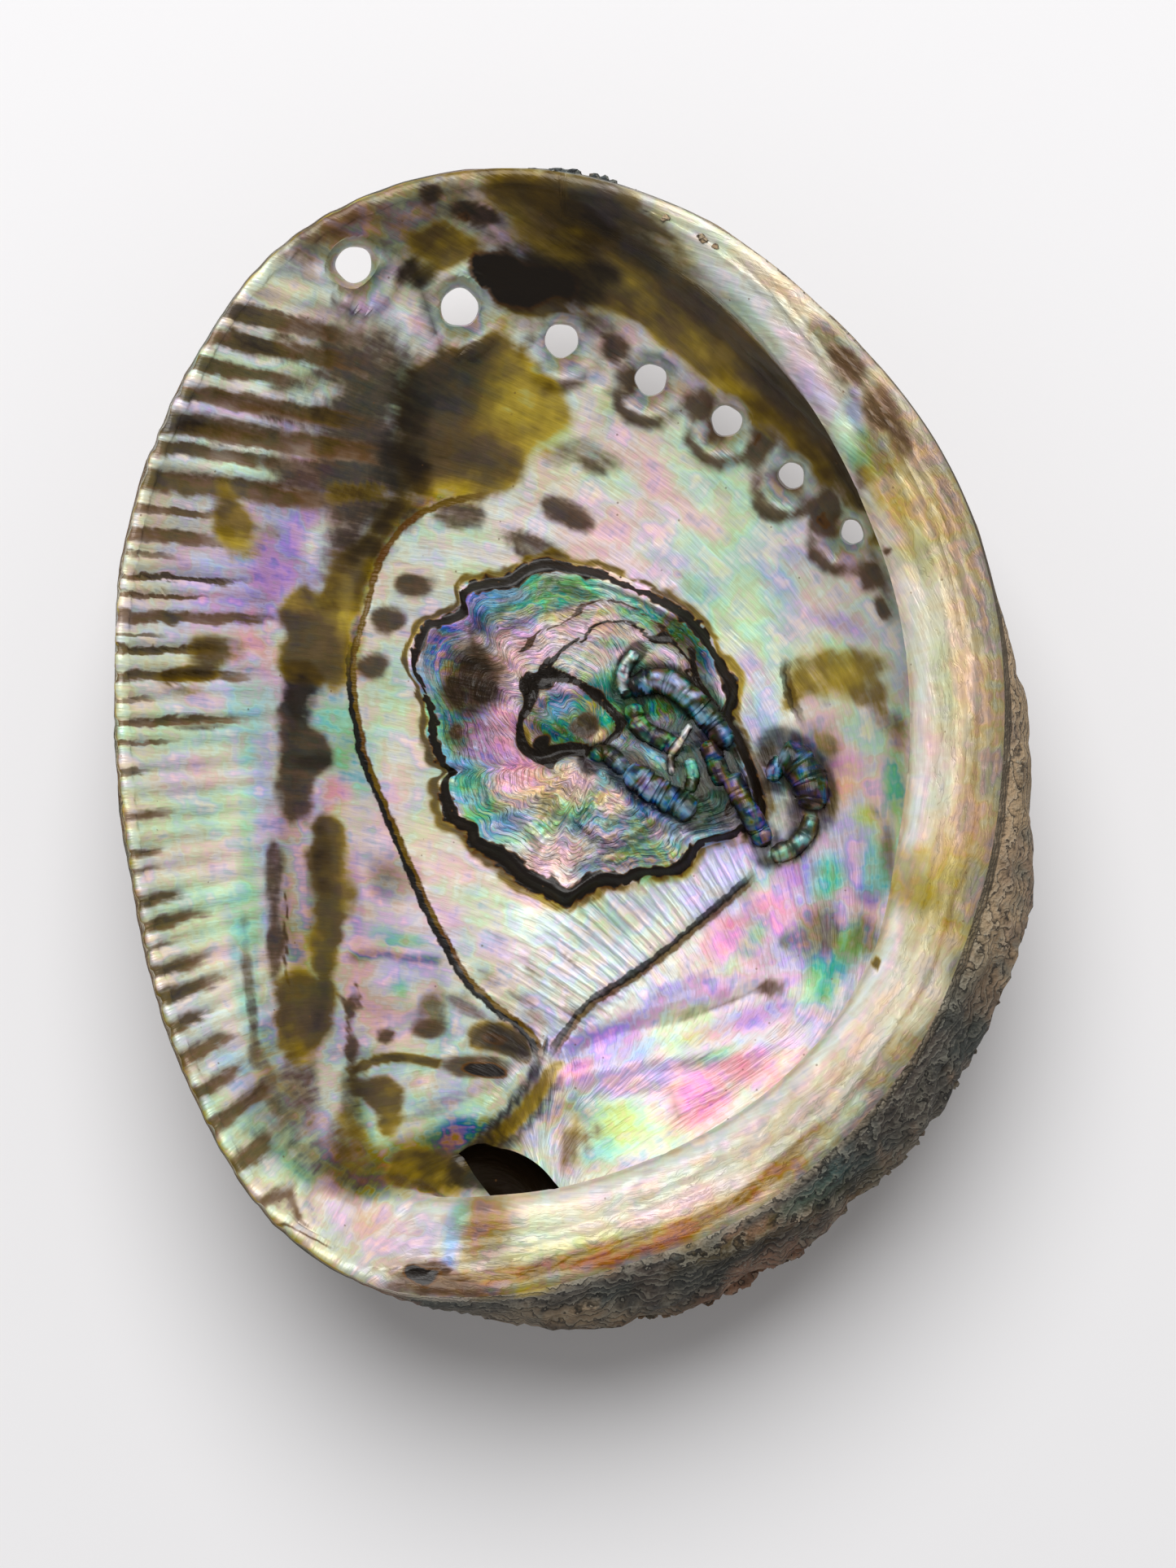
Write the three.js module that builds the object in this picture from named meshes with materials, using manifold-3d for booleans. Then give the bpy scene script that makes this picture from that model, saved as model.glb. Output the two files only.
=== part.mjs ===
// An abalone shell lying on its back, hollow side up, as one closed solid in millimetres.
// +Z is up, +X is towards the broad inner ledge and +Y towards the front margin, away from the spire.
// Plan positions below are from the bowl's pole. The finished shell stands centred on the origin.
import * as THREE from "three";
import { mergeVertices } from "three/addons/utils/BufferGeometryUtils.js";
import Module from "manifold-3d";

const wasm = await Module();
wasm.setup();

// Driving dimensions of the bowl. The outlines are distances from the pole, every 20 degrees
// anticlockwise from +X: the widest outline, the fold where the margin's shelf drops into the bowl
// (the ledge's free edge on the +X side), and the muscle scar's edge.
const OUTLINE = [65.5, 64.5, 68, 73, 81.5, 88, 88, 80.5, 74, 70, 71, 77.5, 86, 87.5, 85.5, 80, 75, 70];
const FOLD = [48, 50, 54.5, 62.5, 74.5, 84, 80, 67, 56, 50.5, 54, 65, 74.5, 69, 63, 58.5, 54, 49];
const SCAR = [26, 24.5, 26, 26.5, 28.5, 31.5, 33.5, 33.5, 26, 22.5, 22, 21, 20, 22, 20, 21, 23, 26.5];
const RIM_HEIGHT = 41;
const RIM_TILT = 2.5;
const RIM_SADDLE = 1.5;
const FLOOR_WALL = 6.6;
const SIDE_WALL = 4.0;
const LEDGE_WALL = 4.8;
const LIP_WALL = 1.9;
const WORN_SHARE = 0.075;
const BULGE = 8.5;
const LEDGE_SLOPE = 0.42;
const LEDGE_CROWN = 1.6;
const LEDGE_TIP = 1.3;
const LEDGE_ROOT = 11;

// The breathing holes: plan position and waist radius, from the front margin back towards the spire.
const HOLES = [
  [-35.0, 72.3, 2.75],
  [-19.4, 67.8, 2.9],
  [-3.8, 63.6, 2.6],
  [10.0, 57.8, 2.45],
  [21.6, 51.2, 2.4],
  [31.5, 42.6, 2.05],
  [40.5, 33.6, 1.9],
];
// The healed holes further back on the same spiral are knobs outside and dimples inside.
const HEALED = [[46.2, 23.8], [49.4, 11.7], [51.1, -1], [50.3, -15], [46.3, -27.5], [38.7, -40], [28.7, -50], [17.4, -58.6]];
const HOLE_FLARE = 1.4;
const HOLE_REACH = 9;
const KNOB_RADIUS = 6.2;
const KNOB_HEIGHT = 2.6;
const HEALED_HEIGHT = 1.7;
const KEEL_WIDTH = 5.5;
const KEEL_HEIGHT = 1.2;

// The spire is a low coiled boss outside. Inside, the bowl runs on into it as a tapering horn.
const SPIRE_AXIS = [-10.5, -71.5];
const SPIRE_START_DEG = 128;
const SPIRE_COIL = 7.0;
const SPIRE_SHRINK = 3.1;
const BOSS_RADIUS = 18;
const BOSS_HEIGHT = 7;
const APEX_RADIUS = 8;
const APEX_HEIGHT = 3.2;
const APEX_SUTURE = 0.9;
const CAVITY_RADIUS = 5.4;
const CAVITY_TURNS = 0.42;
const CAVITY_ENTRY = -5;

// Relief
const SCAR_HEIGHT = 1.8;
const SCAR_SLOPE = 1.6;
const SCALLOPS = 21;
const SCALLOP_DEPTH = 1.5;
const GROWTH_PITCH = 13;
const GROWTH_HEIGHT = 0.55;
const LUMP_HEIGHT = 0.6;
const MARGIN_RIDGE = 0.9;

// Grid
const AROUND = 104;
const OUTSIDE_STEPS = 15;
const SHELF_STEPS = 5;
const UNDERSIDE_STEPS = 4;
const WALL_STEPS = 7;
const PLATE_STEPS = 3;

const radians = THREE.MathUtils.degToRad;
const smoothstep = THREE.MathUtils.smoothstep;
const lerp = THREE.MathUtils.lerp;
const mixed = (p, q, share) => [lerp(p[0], q[0], share), lerp(p[1], q[1], share)];
const hump = (distance, halfWidth) => (distance < halfWidth ? Math.cos((distance / halfWidth) * (Math.PI / 2)) ** 2 : 0);

// A closed, smooth curve of radius against direction, through equally spaced stations.
function around(stations, angle) {
  const place = THREE.MathUtils.euclideanModulo((angle * stations.length) / (2 * Math.PI), stations.length);
  const i = Math.floor(place);
  const t = place - i;
  const [a, b, c, d] = [-1, 0, 1, 2].map((k) => stations[(i + k + stations.length) % stations.length]);
  return b + 0.5 * t * (c - a + t * (2 * a - 5 * b + 4 * c - d + t * (3 * (b - c) + d - a)));
}

// 1 inside an arc of directions in degrees, easing to 0 over the given degrees before and after it.
function arcShare(angle, start, end, easeBefore, easeAfter) {
  const place = THREE.MathUtils.euclideanModulo(THREE.MathUtils.radToDeg(angle) - start + easeBefore, 360);
  const close = easeBefore + end - start;
  return smoothstep(place, 0, easeBefore) * (1 - smoothstep(place, close, close + easeAfter));
}

// How much of a ledge there is in a direction: 1 on the +X side, 0 at the thin outer lip.
const ledgeShare = (angle) => arcShare(angle, -104, 62, 12, 30);

// How steep the wall is in a direction: 1 beside the ledge, 0 at the outer lip.
const steepness = (angle) => ((1 + Math.cos(angle + radians(15))) / 2) ** 1.1;

// How far the outside swells beyond the rim, greatest below the ledge towards the spire.
const swelling = (angle) => arcShare(angle, -80, -35, 35, 65);

const rimHeight = (angle) => RIM_HEIGHT + RIM_TILT * Math.cos(angle) - RIM_SADDLE * Math.cos(2 * angle - Math.PI);

// The outside's profile in a direction, from the pole (t = 0) to the rim (t = 1), as [radius, height].
function outsideProfile(angle, t) {
  const widest = around(OUTLINE, angle);
  const steep = steepness(angle);
  const swell = swelling(angle);
  const top = rimHeight(angle);
  const widestHeight = top * (1 - 0.38 * swell) - 1.2;
  const bend = 0.96 - 0.16 * swell;
  if (t > bend) {
    const turn = ((t - bend) / (1 - bend)) * (Math.PI / 2);
    return [widest - (BULGE * swell + 0.5) * (1 - Math.cos(turn)), lerp(widestHeight, top, Math.sin(turn))];
  }
  const last = radians(lerp(32, 88, steep));
  const turn = (t / bend) * last;
  const radius = widest * (Math.sin(turn) / Math.sin(last)) ** lerp(1, 0.62, steep);
  const rise = (1 - Math.cos(turn)) / (1 - Math.cos(last));
  return [radius, widestHeight * (rise * (1 + WORN_SHARE) - WORN_SHARE)];
}

// The inside of the wall beside a point of the outside's profile, a wall's thickness along its normal.
function insideOfWall(angle, t) {
  const step = 0.01;
  const [r, z] = outsideProfile(angle, t);
  const [r0, z0] = outsideProfile(angle, Math.max(0, t - step));
  const [r1, z1] = outsideProfile(angle, Math.min(1, t + step));
  const length = Math.hypot(r1 - r0, z1 - z0);
  const edge = lerp(LIP_WALL, LEDGE_WALL, ledgeShare(angle));
  const wall = t < 0.6 ? lerp(FLOOR_WALL, SIDE_WALL, t / 0.6) : lerp(SIDE_WALL, edge, smoothstep(t, 0.6, 1));
  return [Math.max(0, r - (wall * (z1 - z0)) / length), z + (wall * (r1 - r0)) / length];
}

// The share t of the outside's profile at which the wall's inside reaches a radius.
function shareAtRadius(angle, radius) {
  let [low, high] = [0, 0.995];
  for (let i = 0; i < 24; i++) {
    const middle = (low + high) / 2;
    if (insideOfWall(angle, middle)[0] < radius) low = middle;
    else high = middle;
  }
  return low;
}

// The share t at which the outside reaches a height.
function shareAtHeight(angle, height) {
  let t = 0;
  while (t < 0.9 && outsideProfile(angle, t)[1] < height) t += 0.004;
  return t;
}

// A point of a quadratic curve.
function bent([r0, z0], [r1, z1], [r2, z2], t) {
  const [a, b, c] = [(1 - t) ** 2, 2 * t * (1 - t), t * t];
  return [a * r0 + b * r1 + c * r2, a * z0 + b * z1 + c * z2];
}

// The scar's edge in a direction, scalloped along its outer side.
function scarEdge(angle) {
  const outer = arcShare(angle, 60, 320, 30, 30);
  return around(SCAR, angle) - outer * SCALLOP_DEPTH * (1 - Math.abs(Math.sin((angle * SCALLOPS) / 2)));
}

// The closed profile in a direction, from the outside's pole over the rim to the floor's pole.
function profile(angle) {
  const ledge = ledgeShare(angle);
  const fold = around(FOLD, angle);
  const rim = outsideProfile(angle, 1);
  const lip = [rim[0] - lerp(LIP_WALL, 2.4, ledge), rim[1] - lerp(0.5, 0.2, ledge)];
  const lipShare = shareAtRadius(angle, lip[0]);
  const foldShare = shareAtRadius(angle, fold);
  const tip = [fold, rim[1] - LEDGE_SLOPE * (rim[0] - fold) - 1];
  const crown = [lerp(lip[0], tip[0], 0.45), lerp(lip[1], tip[1], 0.45) + LEDGE_CROWN];
  const tipBelow = [tip[0] + 0.25, tip[1] - LEDGE_TIP];
  const rootShare = shareAtHeight(angle, Math.max(tip[1] - LEDGE_ROOT, 6));
  const root = insideOfWall(angle, rootShare);
  const hollow = [root[0] + 0.5, tipBelow[1] - 1.5];

  const points = [];
  const add = (at, side, share) => points.push({ at, side, share });
  for (let i = 0; i <= OUTSIDE_STEPS; i++) {
    add(outsideProfile(angle, i / OUTSIDE_STEPS), "outside", i / OUTSIDE_STEPS);
  }
  add([lerp(rim[0], lip[0], 0.5), rim[1] + 0.35], "rim");
  for (let i = 0; i <= SHELF_STEPS; i++) {
    const t = i / SHELF_STEPS;
    const onWall = insideOfWall(angle, lerp(lipShare, foldShare, t));
    add(mixed(mixed(lip, onWall, Math.min(1, t * 3)), bent(lip, crown, tip, t), ledge), "shelf");
  }
  for (let i = 1; i <= UNDERSIDE_STEPS; i++) {
    const onWall = insideOfWall(angle, foldShare * (1 - (0.04 * i) / UNDERSIDE_STEPS));
    const below = bent(tipBelow, hollow, root, (i - 1) / (UNDERSIDE_STEPS - 1));
    add(mixed(onWall, below, ledge), "underside");
  }
  const upper = lerp(foldShare * 0.96, rootShare, ledge);
  const foot = shareAtRadius(angle, scarEdge(angle) + SCAR_SLOPE);
  const brow = shareAtRadius(angle, scarEdge(angle));
  for (let i = 1; i <= WALL_STEPS; i++) {
    const share = lerp(upper, foot, i / WALL_STEPS);
    add(insideOfWall(angle, share), "inside", share);
  }
  for (let i = 0; i <= PLATE_STEPS; i++) {
    const share = brow * (1 - i / PLATE_STEPS);
    add(insideOfWall(angle, share), "scar", share);
  }
  return points;
}

// The spiral of holes as a plan curve, from the front margin to the spire.
const keel = new THREE.CatmullRomCurve3(
  [...HOLES, ...HEALED].map(([x, y]) => new THREE.Vector3(x, y, 0)),
).getSpacedPoints(80);
const keelDistance = (x, y) => Math.min(...keel.map((p) => Math.hypot(p.x - x, p.y - y)));

// Height of the knobs, the keel, the growth steps and the lumps above the outside's smooth form.
function outsideRelief(x, y, share) {
  const nearest = ([hx, hy]) => hump(Math.hypot(hx - x, hy - y), KNOB_RADIUS);
  const knob = Math.max(...HOLES.map(nearest)) * KNOB_HEIGHT + Math.max(...HEALED.map(nearest)) * HEALED_HEIGHT;
  const boss = BOSS_HEIGHT * hump(Math.hypot(SPIRE_AXIS[0] - x, SPIRE_AXIS[1] - y), BOSS_RADIUS);
  const raised = boss * (1 - smoothstep(share, 0.7, 0.95)) + knob + KEEL_HEIGHT * hump(keelDistance(x, y), KEEL_WIDTH);
  const growth = GROWTH_HEIGHT * Math.sin((share * 2 * Math.PI * 80) / GROWTH_PITCH + Math.sin(x * 0.06));
  const lumps = LUMP_HEIGHT * Math.sin(x * 0.22 + 1.7 * Math.sin(y * 0.13)) * Math.sin(y * 0.19 + 1.3 * Math.sin(x * 0.11));
  return raised + (growth + lumps) * smoothstep(share, 0.05, 0.3) * (1 - smoothstep(share, 0.85, 1));
}

// Height of the relief at one point of a profile, outwards from the wall.
function relief({ at: [r], side, share }, angle, x, y) {
  const outerSide = 1 - ledgeShare(angle);
  if (side === "outside") return outsideRelief(x, y, share);
  if (side === "scar") return SCAR_HEIGHT;
  const ridge = side === "rim" ? 0 : outerSide * MARGIN_RIDGE * hump(Math.abs(r - around(FOLD, angle)), 7);
  const groove = side === "inside" ? 0.9 * hump(keelDistance(x, y), KEEL_WIDTH) : 0;
  return ridge - groove;
}

// A closed surface from equal rings of points between two poles.
function closedSurface(startPole, rings, endPole) {
  const count = rings[0].length;
  const points = [startPole, ...rings.flat(), endPole];
  const at = (ring, i) => 1 + ring * count + (i % count);
  const faces = [];
  for (let i = 0; i < count; i++) {
    faces.push(0, at(0, i + 1), at(0, i));
    for (let ring = 0; ring + 1 < rings.length; ring++) {
      faces.push(at(ring, i), at(ring, i + 1), at(ring + 1, i + 1));
      faces.push(at(ring, i), at(ring + 1, i + 1), at(ring + 1, i));
    }
    faces.push(points.length - 1, at(rings.length - 1, i), at(rings.length - 1, i + 1));
  }
  return new THREE.BufferGeometry().setFromPoints(points).setIndex(faces);
}

const averaged = (points) => points.reduce((sum, p) => sum.add(p), new THREE.Vector3()).divideScalar(points.length);

// The bowl with its ledge, lip and scar, before the holes and the spire.
function bowlGeometry() {
  const rings = profile(0).map(() => []);
  for (let i = 0; i < AROUND; i++) {
    const angle = (2 * Math.PI * i) / AROUND;
    const points = profile(angle);
    points.forEach((point, j) => {
      const [r, z] = point.at;
      const before = points[Math.max(0, j - 1)].at;
      const after = points[Math.min(points.length - 1, j + 1)].at;
      const length = Math.hypot(after[0] - before[0], after[1] - before[1]) || 1;
      const lift = relief(point, angle, r * Math.cos(angle), r * Math.sin(angle)) / length;
      const radius = r + lift * (after[1] - before[1]);
      const height = Math.max(0, z - lift * (after[0] - before[0]));
      rings[j].push(new THREE.Vector3(radius * Math.cos(angle), radius * Math.sin(angle), height));
    });
  }
  const startPole = averaged(rings.shift());
  const endPole = averaged(rings.pop());
  return closedSurface(startPole, rings, endPole);
}

// The middle of the wall at a plan point, and the wall's outward normal there.
function wallAt(x, y) {
  const angle = Math.atan2(y, x);
  const share = shareAtRadius(angle, Math.hypot(x, y));
  const [r0, z0] = outsideProfile(angle, share - 0.01);
  const [r1, z1] = outsideProfile(angle, share + 0.01);
  const normal = new THREE.Vector3((z1 - z0) * Math.cos(angle), (z1 - z0) * Math.sin(angle), r0 - r1).normalize();
  const middle = new THREE.Vector3(x, y, insideOfWall(angle, share)[1]).addScaledVector(normal, SIDE_WALL / 2);
  return { middle, normal };
}

// The spire's own frame: across and along lie in the wall, and out points away from the bowl.
const { middle: spireMiddle, normal: spireOut } = wallAt(...SPIRE_AXIS);
const spireAcross = new THREE.Vector3(1, 0, 0).addScaledVector(spireOut, -spireOut.x).normalize();
const spireAlong = spireAcross.clone().cross(spireOut);
const inSpire = (across, along, out) =>
  spireMiddle.clone().addScaledVector(spireAcross, across).addScaledVector(spireAlong, along).addScaledVector(spireOut, out);

// The apex on the boss: a low dome whose spiral suture tightens towards the middle.
function spireApex() {
  const [sides, shares, base] = [24, [1, 0.82, 0.64, 0.46, 0.3, 0.16], BOSS_HEIGHT - 2];
  const ring = (share) =>
    Array.from({ length: sides }, (_, i) => {
      const angle = -(2 * Math.PI * i) / sides;
      const whorl = THREE.MathUtils.euclideanModulo(angle / (2 * Math.PI) + Math.log(share) / Math.log(SPIRE_SHRINK), 1);
      const height = (2 + APEX_HEIGHT) * (1 - share ** 2) - APEX_SUTURE * (share < 1 ? (2 * whorl - 1) ** 4 : 0);
      return inSpire(APEX_RADIUS * share * Math.cos(angle), APEX_RADIUS * share * Math.sin(angle), base + height);
    });
  return closedSurface(inSpire(0, 0, base - 1), shares.map(ring), inSpire(0, 0, base + 2 + APEX_HEIGHT));
}

// The cavity inside: a horn that dips out of the bowl's end and coils under the ledge.
function spireCavity() {
  const [first, sides, steps] = [-0.04, 12, 8];
  const centre = (turn) => {
    const reach = SPIRE_COIL * SPIRE_SHRINK ** -turn;
    const angle = radians(SPIRE_START_DEG) - turn * 2 * Math.PI;
    const out = lerp(CAVITY_ENTRY, 0.8, smoothstep(turn, first, 0.2)) + 2.4 * Math.max(0, turn - 0.2);
    return inSpire(reach * Math.cos(angle), reach * Math.sin(angle), out);
  };
  const rings = [];
  for (let k = 0; k <= steps; k++) {
    const turn = lerp(first, CAVITY_TURNS, k / steps);
    const course = centre(turn + 0.01).sub(centre(turn - 0.01)).normalize();
    const side = spireOut.clone().cross(course).normalize();
    const rise = course.clone().cross(side);
    const radius = CAVITY_RADIUS * SPIRE_SHRINK ** -Math.max(0, turn);
    rings.push(
      Array.from({ length: sides }, (_, i) => {
        const a = (2 * Math.PI * i) / sides;
        const wall = side.clone().multiplyScalar(radius * Math.cos(a)).addScaledVector(rise, radius * Math.sin(a));
        return wall.add(centre(turn));
      }),
    );
  }
  return closedSurface(centre(first), rings, centre(CAVITY_TURNS));
}

// A hole's cutter: a waisted round plug that flares to both faces of the wall.
function holeCutter(x, y, radius) {
  const stations = [-HOLE_REACH, -4, -2, 0, 2, 4, HOLE_REACH];
  const outline = stations.map((z) => new THREE.Vector2(radius + HOLE_FLARE * Math.min(1.6, (z / 3.4) ** 2), z));
  const plug = [new THREE.Vector2(0, -HOLE_REACH), ...outline, new THREE.Vector2(0, HOLE_REACH)];
  const { middle, normal } = wallAt(x, y);
  const axis = normal.lerp(new THREE.Vector3(0, 0, -1), 0.45).normalize();
  const turn = new THREE.Quaternion().setFromUnitVectors(new THREE.Vector3(0, 1, 0), axis);
  return new THREE.LatheGeometry(plug, 14).applyQuaternion(turn).translate(middle.x, middle.y, middle.z);
}

// A closed geometry as a solid that can be joined and cut.
function solidOf(geometry) {
  const bare = geometry.clone();
  bare.deleteAttribute("normal");
  bare.deleteAttribute("uv");
  const merged = mergeVertices(bare, 1e-4);
  const triVerts = new Uint32Array(merged.index.array);
  const solid = new wasm.Manifold(new wasm.Mesh({ numProp: 3, vertProperties: merged.attributes.position.array, triVerts }));
  if (solid.volume() < 0) throw new Error("a surface faces inwards");
  return solid;
}

function geometryOf(solid) {
  const { vertProperties, triVerts } = solid.getMesh();
  const geometry = new THREE.BufferGeometry();
  geometry.setAttribute("position", new THREE.BufferAttribute(vertProperties, 3));
  geometry.setIndex(new THREE.BufferAttribute(triVerts, 1));
  return geometry;
}

// Moves a geometry so that its box stands centred on the origin.
function standOnOrigin(geometry) {
  geometry.computeBoundingBox();
  const { min, max } = geometry.boundingBox;
  return geometry.translate(-(min.x + max.x) / 2, -(min.y + max.y) / 2, -min.z);
}

let solid = solidOf(bowlGeometry()).add(solidOf(spireApex())).subtract(solidOf(spireCavity()));
for (const [x, y, radius] of HOLES) solid = solid.subtract(solidOf(holeCutter(x, y, radius)));

const nacre = new THREE.MeshStandardMaterial({ color: 0xc9c4ae, roughness: 0.3, metalness: 0.1 });
const shell = new THREE.Mesh(standOnOrigin(geometryOf(solid)), nacre);
shell.name = "shell";

const part = new THREE.Group();
part.add(shell);
export default part;
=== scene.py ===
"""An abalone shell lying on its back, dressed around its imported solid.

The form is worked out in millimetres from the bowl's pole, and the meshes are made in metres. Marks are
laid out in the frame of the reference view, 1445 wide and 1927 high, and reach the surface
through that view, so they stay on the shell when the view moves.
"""

import logging
import math
from dataclasses import dataclass, field
from enum import Enum, IntEnum

import bmesh
import bpy
import numpy as np
from mathutils import Matrix, Vector
from mathutils.bvhtree import BVHTree


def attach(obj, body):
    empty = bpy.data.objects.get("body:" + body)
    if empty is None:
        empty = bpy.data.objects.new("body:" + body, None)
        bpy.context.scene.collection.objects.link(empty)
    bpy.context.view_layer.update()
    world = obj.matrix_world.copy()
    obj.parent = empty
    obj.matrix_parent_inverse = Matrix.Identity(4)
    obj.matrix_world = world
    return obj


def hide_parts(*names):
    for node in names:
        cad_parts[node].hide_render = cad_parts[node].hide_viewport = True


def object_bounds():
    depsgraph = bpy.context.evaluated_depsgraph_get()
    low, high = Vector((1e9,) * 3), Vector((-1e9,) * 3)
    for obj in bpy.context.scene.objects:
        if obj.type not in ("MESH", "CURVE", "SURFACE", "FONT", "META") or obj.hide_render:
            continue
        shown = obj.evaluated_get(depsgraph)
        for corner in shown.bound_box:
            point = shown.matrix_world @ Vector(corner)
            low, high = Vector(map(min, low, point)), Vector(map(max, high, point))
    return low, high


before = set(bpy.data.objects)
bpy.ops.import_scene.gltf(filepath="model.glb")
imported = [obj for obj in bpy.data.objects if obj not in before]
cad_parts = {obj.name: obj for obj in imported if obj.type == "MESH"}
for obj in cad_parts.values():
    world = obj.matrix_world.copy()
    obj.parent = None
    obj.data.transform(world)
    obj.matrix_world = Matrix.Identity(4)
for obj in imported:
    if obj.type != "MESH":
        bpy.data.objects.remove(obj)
CAD_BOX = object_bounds()

BODY = "root"
NODE = "shell"
MM = 0.001
FLOOR_PX_MM = 0.125  # a photo pixel's width on the bowl's floor
POLE_SHIFT_MM = np.array([1.6078, 0.7851, 0.0])

Array = np.ndarray
log = logging.getLogger("abalone")


class Part(IntEnum):
    """The stretches of the shell's surface. A later one wins a shared vertex, except the horn."""

    OUTSIDE = 0
    RIM = 1
    UNDERSIDE = 2
    SHELF = 3
    INSIDE = 4
    SCAR = 5
    HORN = 6
    HOLE = 7
    WORM = 8


class Tone(Enum):
    """The nacre's colours by name, as 0 to 255 red, green and blue."""

    PEARL = (208, 208, 198)
    CREAM = (224, 218, 196)
    SILVER = (228, 230, 226)
    MINT = (200, 230, 196)
    AQUA = (146, 206, 194)
    SEA = (112, 190, 138)
    TEAL = (34, 92, 90)
    SKY = (146, 178, 218)
    BLUE = (66, 92, 176)
    LILAC = (202, 182, 222)
    VIOLET = (172, 138, 206)
    PINK = (236, 203, 210)
    ROSE = (242, 164, 196)
    PEACH = (236, 198, 164)
    LIME = (196, 206, 128)
    GOLD = (190, 162, 30)
    MOSS = (138, 112, 0)
    OLIVE = (88, 66, 0)
    AMBER = (132, 82, 8)
    BARK = (38, 25, 8)
    TAN = (176, 150, 116)
    UMBER = (106, 74, 42)
    RUST = (150, 112, 88)
    MAUVE = (138, 116, 96)
    SMOKE = (132, 122, 104)
    SLATE = (70, 80, 84)
    INK = (12, 10, 8)


class Stain(IntEnum):
    """Markings with an edge of their own, which the finish sharpens."""

    AMBER = 0
    # Umber also lays painted shadow under the ledge and beside the holes.
    UMBER = 1
    # Black also lays painted shade inside the horn.
    BLACK = 2


class Depth(IntEnum):
    """Changes to how deep a stain's colour is, and a soft darkening: painted shade and dark markings."""

    PALER = -1
    DEEPER = 1
    # SHADE is painted shade in hollows, under the ledge and round the horn, holes, ridges and worm tubes; it
    # also darkens dark markings.
    SHADE = 2


def lerp(start: float | Array, end: float | Array, share: float | Array) -> float | Array:
    """The value a share of the way from start to end."""
    return start + (end - start) * share


def smoothstep(value: float | Array, low: float, high: float) -> Array:
    """0 below low, 1 above high and a smooth rise between them."""
    share = np.clip((np.asarray(value, float) - low) / (high - low), 0.0, 1.0)
    return share * share * (3.0 - 2.0 * share)


def hump(distance: Array, half_width: float) -> Array:
    """A squared cosine: 1 at no distance and 0 from the half width on."""
    share = np.clip(np.abs(distance) / half_width, 0.0, 1.0)
    return np.cos(share * math.pi / 2) ** 2


def around(stations: tuple[float, ...], angle: Array) -> Array:
    """A closed Catmull-Rom curve of radius against direction.

    Args:
        stations: radii at equal steps of direction, anticlockwise from +X.
        angle: directions in radians.

    Returns:
        The radius in each direction.
    """
    values = np.asarray(stations, float)
    count = len(values)
    place = np.mod(np.asarray(angle, float) * count / (2 * math.pi), count)
    first = np.floor(place).astype(int)
    t = place - first
    a, b, c, d = (values[(first + k) % count] for k in (-1, 0, 1, 2))
    return b + 0.5 * t * (c - a + t * (2 * a - 5 * b + 4 * c - d + t * (3 * (b - c) + d - a)))


def arc_share(angle: Array, start: float, end: float, ease_before: float, ease_after: float) -> Array:
    """1 inside an arc of directions, easing to 0 before and after it.

    Args:
        angle: directions in radians.
        start: where the arc starts, in degrees.
        end: where it ends, in degrees.
        ease_before: degrees of easing before the start.
        ease_after: degrees of easing after the end.

    Returns:
        The share of each direction.
    """
    place = np.mod(np.degrees(angle) - start + ease_before, 360.0)
    close = ease_before + end - start
    return smoothstep(place, 0, ease_before) * (1 - smoothstep(place, close, close + ease_after))


def smooth_path(points: list[tuple[float, float]], per_leg: int = 5, closed: bool = False) -> Array:
    """A Catmull-Rom curve through the points, as a finer broken line.

    Args:
        points: the points that the curve passes through.
        per_leg: how many steps each leg gets.
        closed: whether the curve returns to its first point.

    Returns:
        The finer points, one row each.
    """
    p = np.asarray(points, float)
    if closed:
        p = np.vstack([p[-1], p, p[0], p[1]])
    else:
        p = np.vstack([2 * p[0] - p[1], p, 2 * p[-1] - p[-2]])
    a, b, c, d = p[:-3], p[1:-2], p[2:-1], p[3:]
    t = (np.arange(per_leg) / per_leg)[None, :, None]
    a, b, c, d = (q[:, None, :] for q in (a, b, c, d))
    curve = b + 0.5 * t * (c - a + t * (2 * a - 5 * b + 4 * c - d + t * (3 * (b - c) + d - a)))
    return np.vstack([curve.reshape(-1, p.shape[1]), p[-2]])


def nearest_on_path(points: Array, path: Array) -> tuple[Array, Array, Array]:
    """How points lie to a broken line, leg by leg over whole arrays.

    Args:
        points: plane points, one row each.
        path: the broken line's points, one row each.

    Returns:
        The distance to the line, the length run along it, and the side, +1 left of it and -1 right.
    """
    nearest = np.full(len(points), np.inf)
    along = np.zeros(len(points))
    side = np.ones(len(points))
    run = 0.0
    for start, leg in zip(path[:-1], np.diff(path, axis=0)):
        length = math.hypot(*leg)
        if length < 1e-9:
            continue
        offset = points - start
        share = np.clip(offset @ leg / length**2, 0.0, 1.0)
        gap = np.hypot(*(offset - share[:, None] * leg).T)
        closer = gap < nearest
        nearest = np.where(closer, gap, nearest)
        along = np.where(closer, run + share * length, along)
        side = np.where(closer, np.sign(leg[0] * offset[:, 1] - leg[1] * offset[:, 0]), side)
        run += length
    return nearest, along, side


def linear(tone: Tone) -> Array:
    """A tone as linear light from 0 to 1."""
    share = np.asarray(tone.value, float) / 255.0
    return np.where(share <= 0.04045, share / 12.92, ((share + 0.055) / 1.055) ** 2.4)


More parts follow.
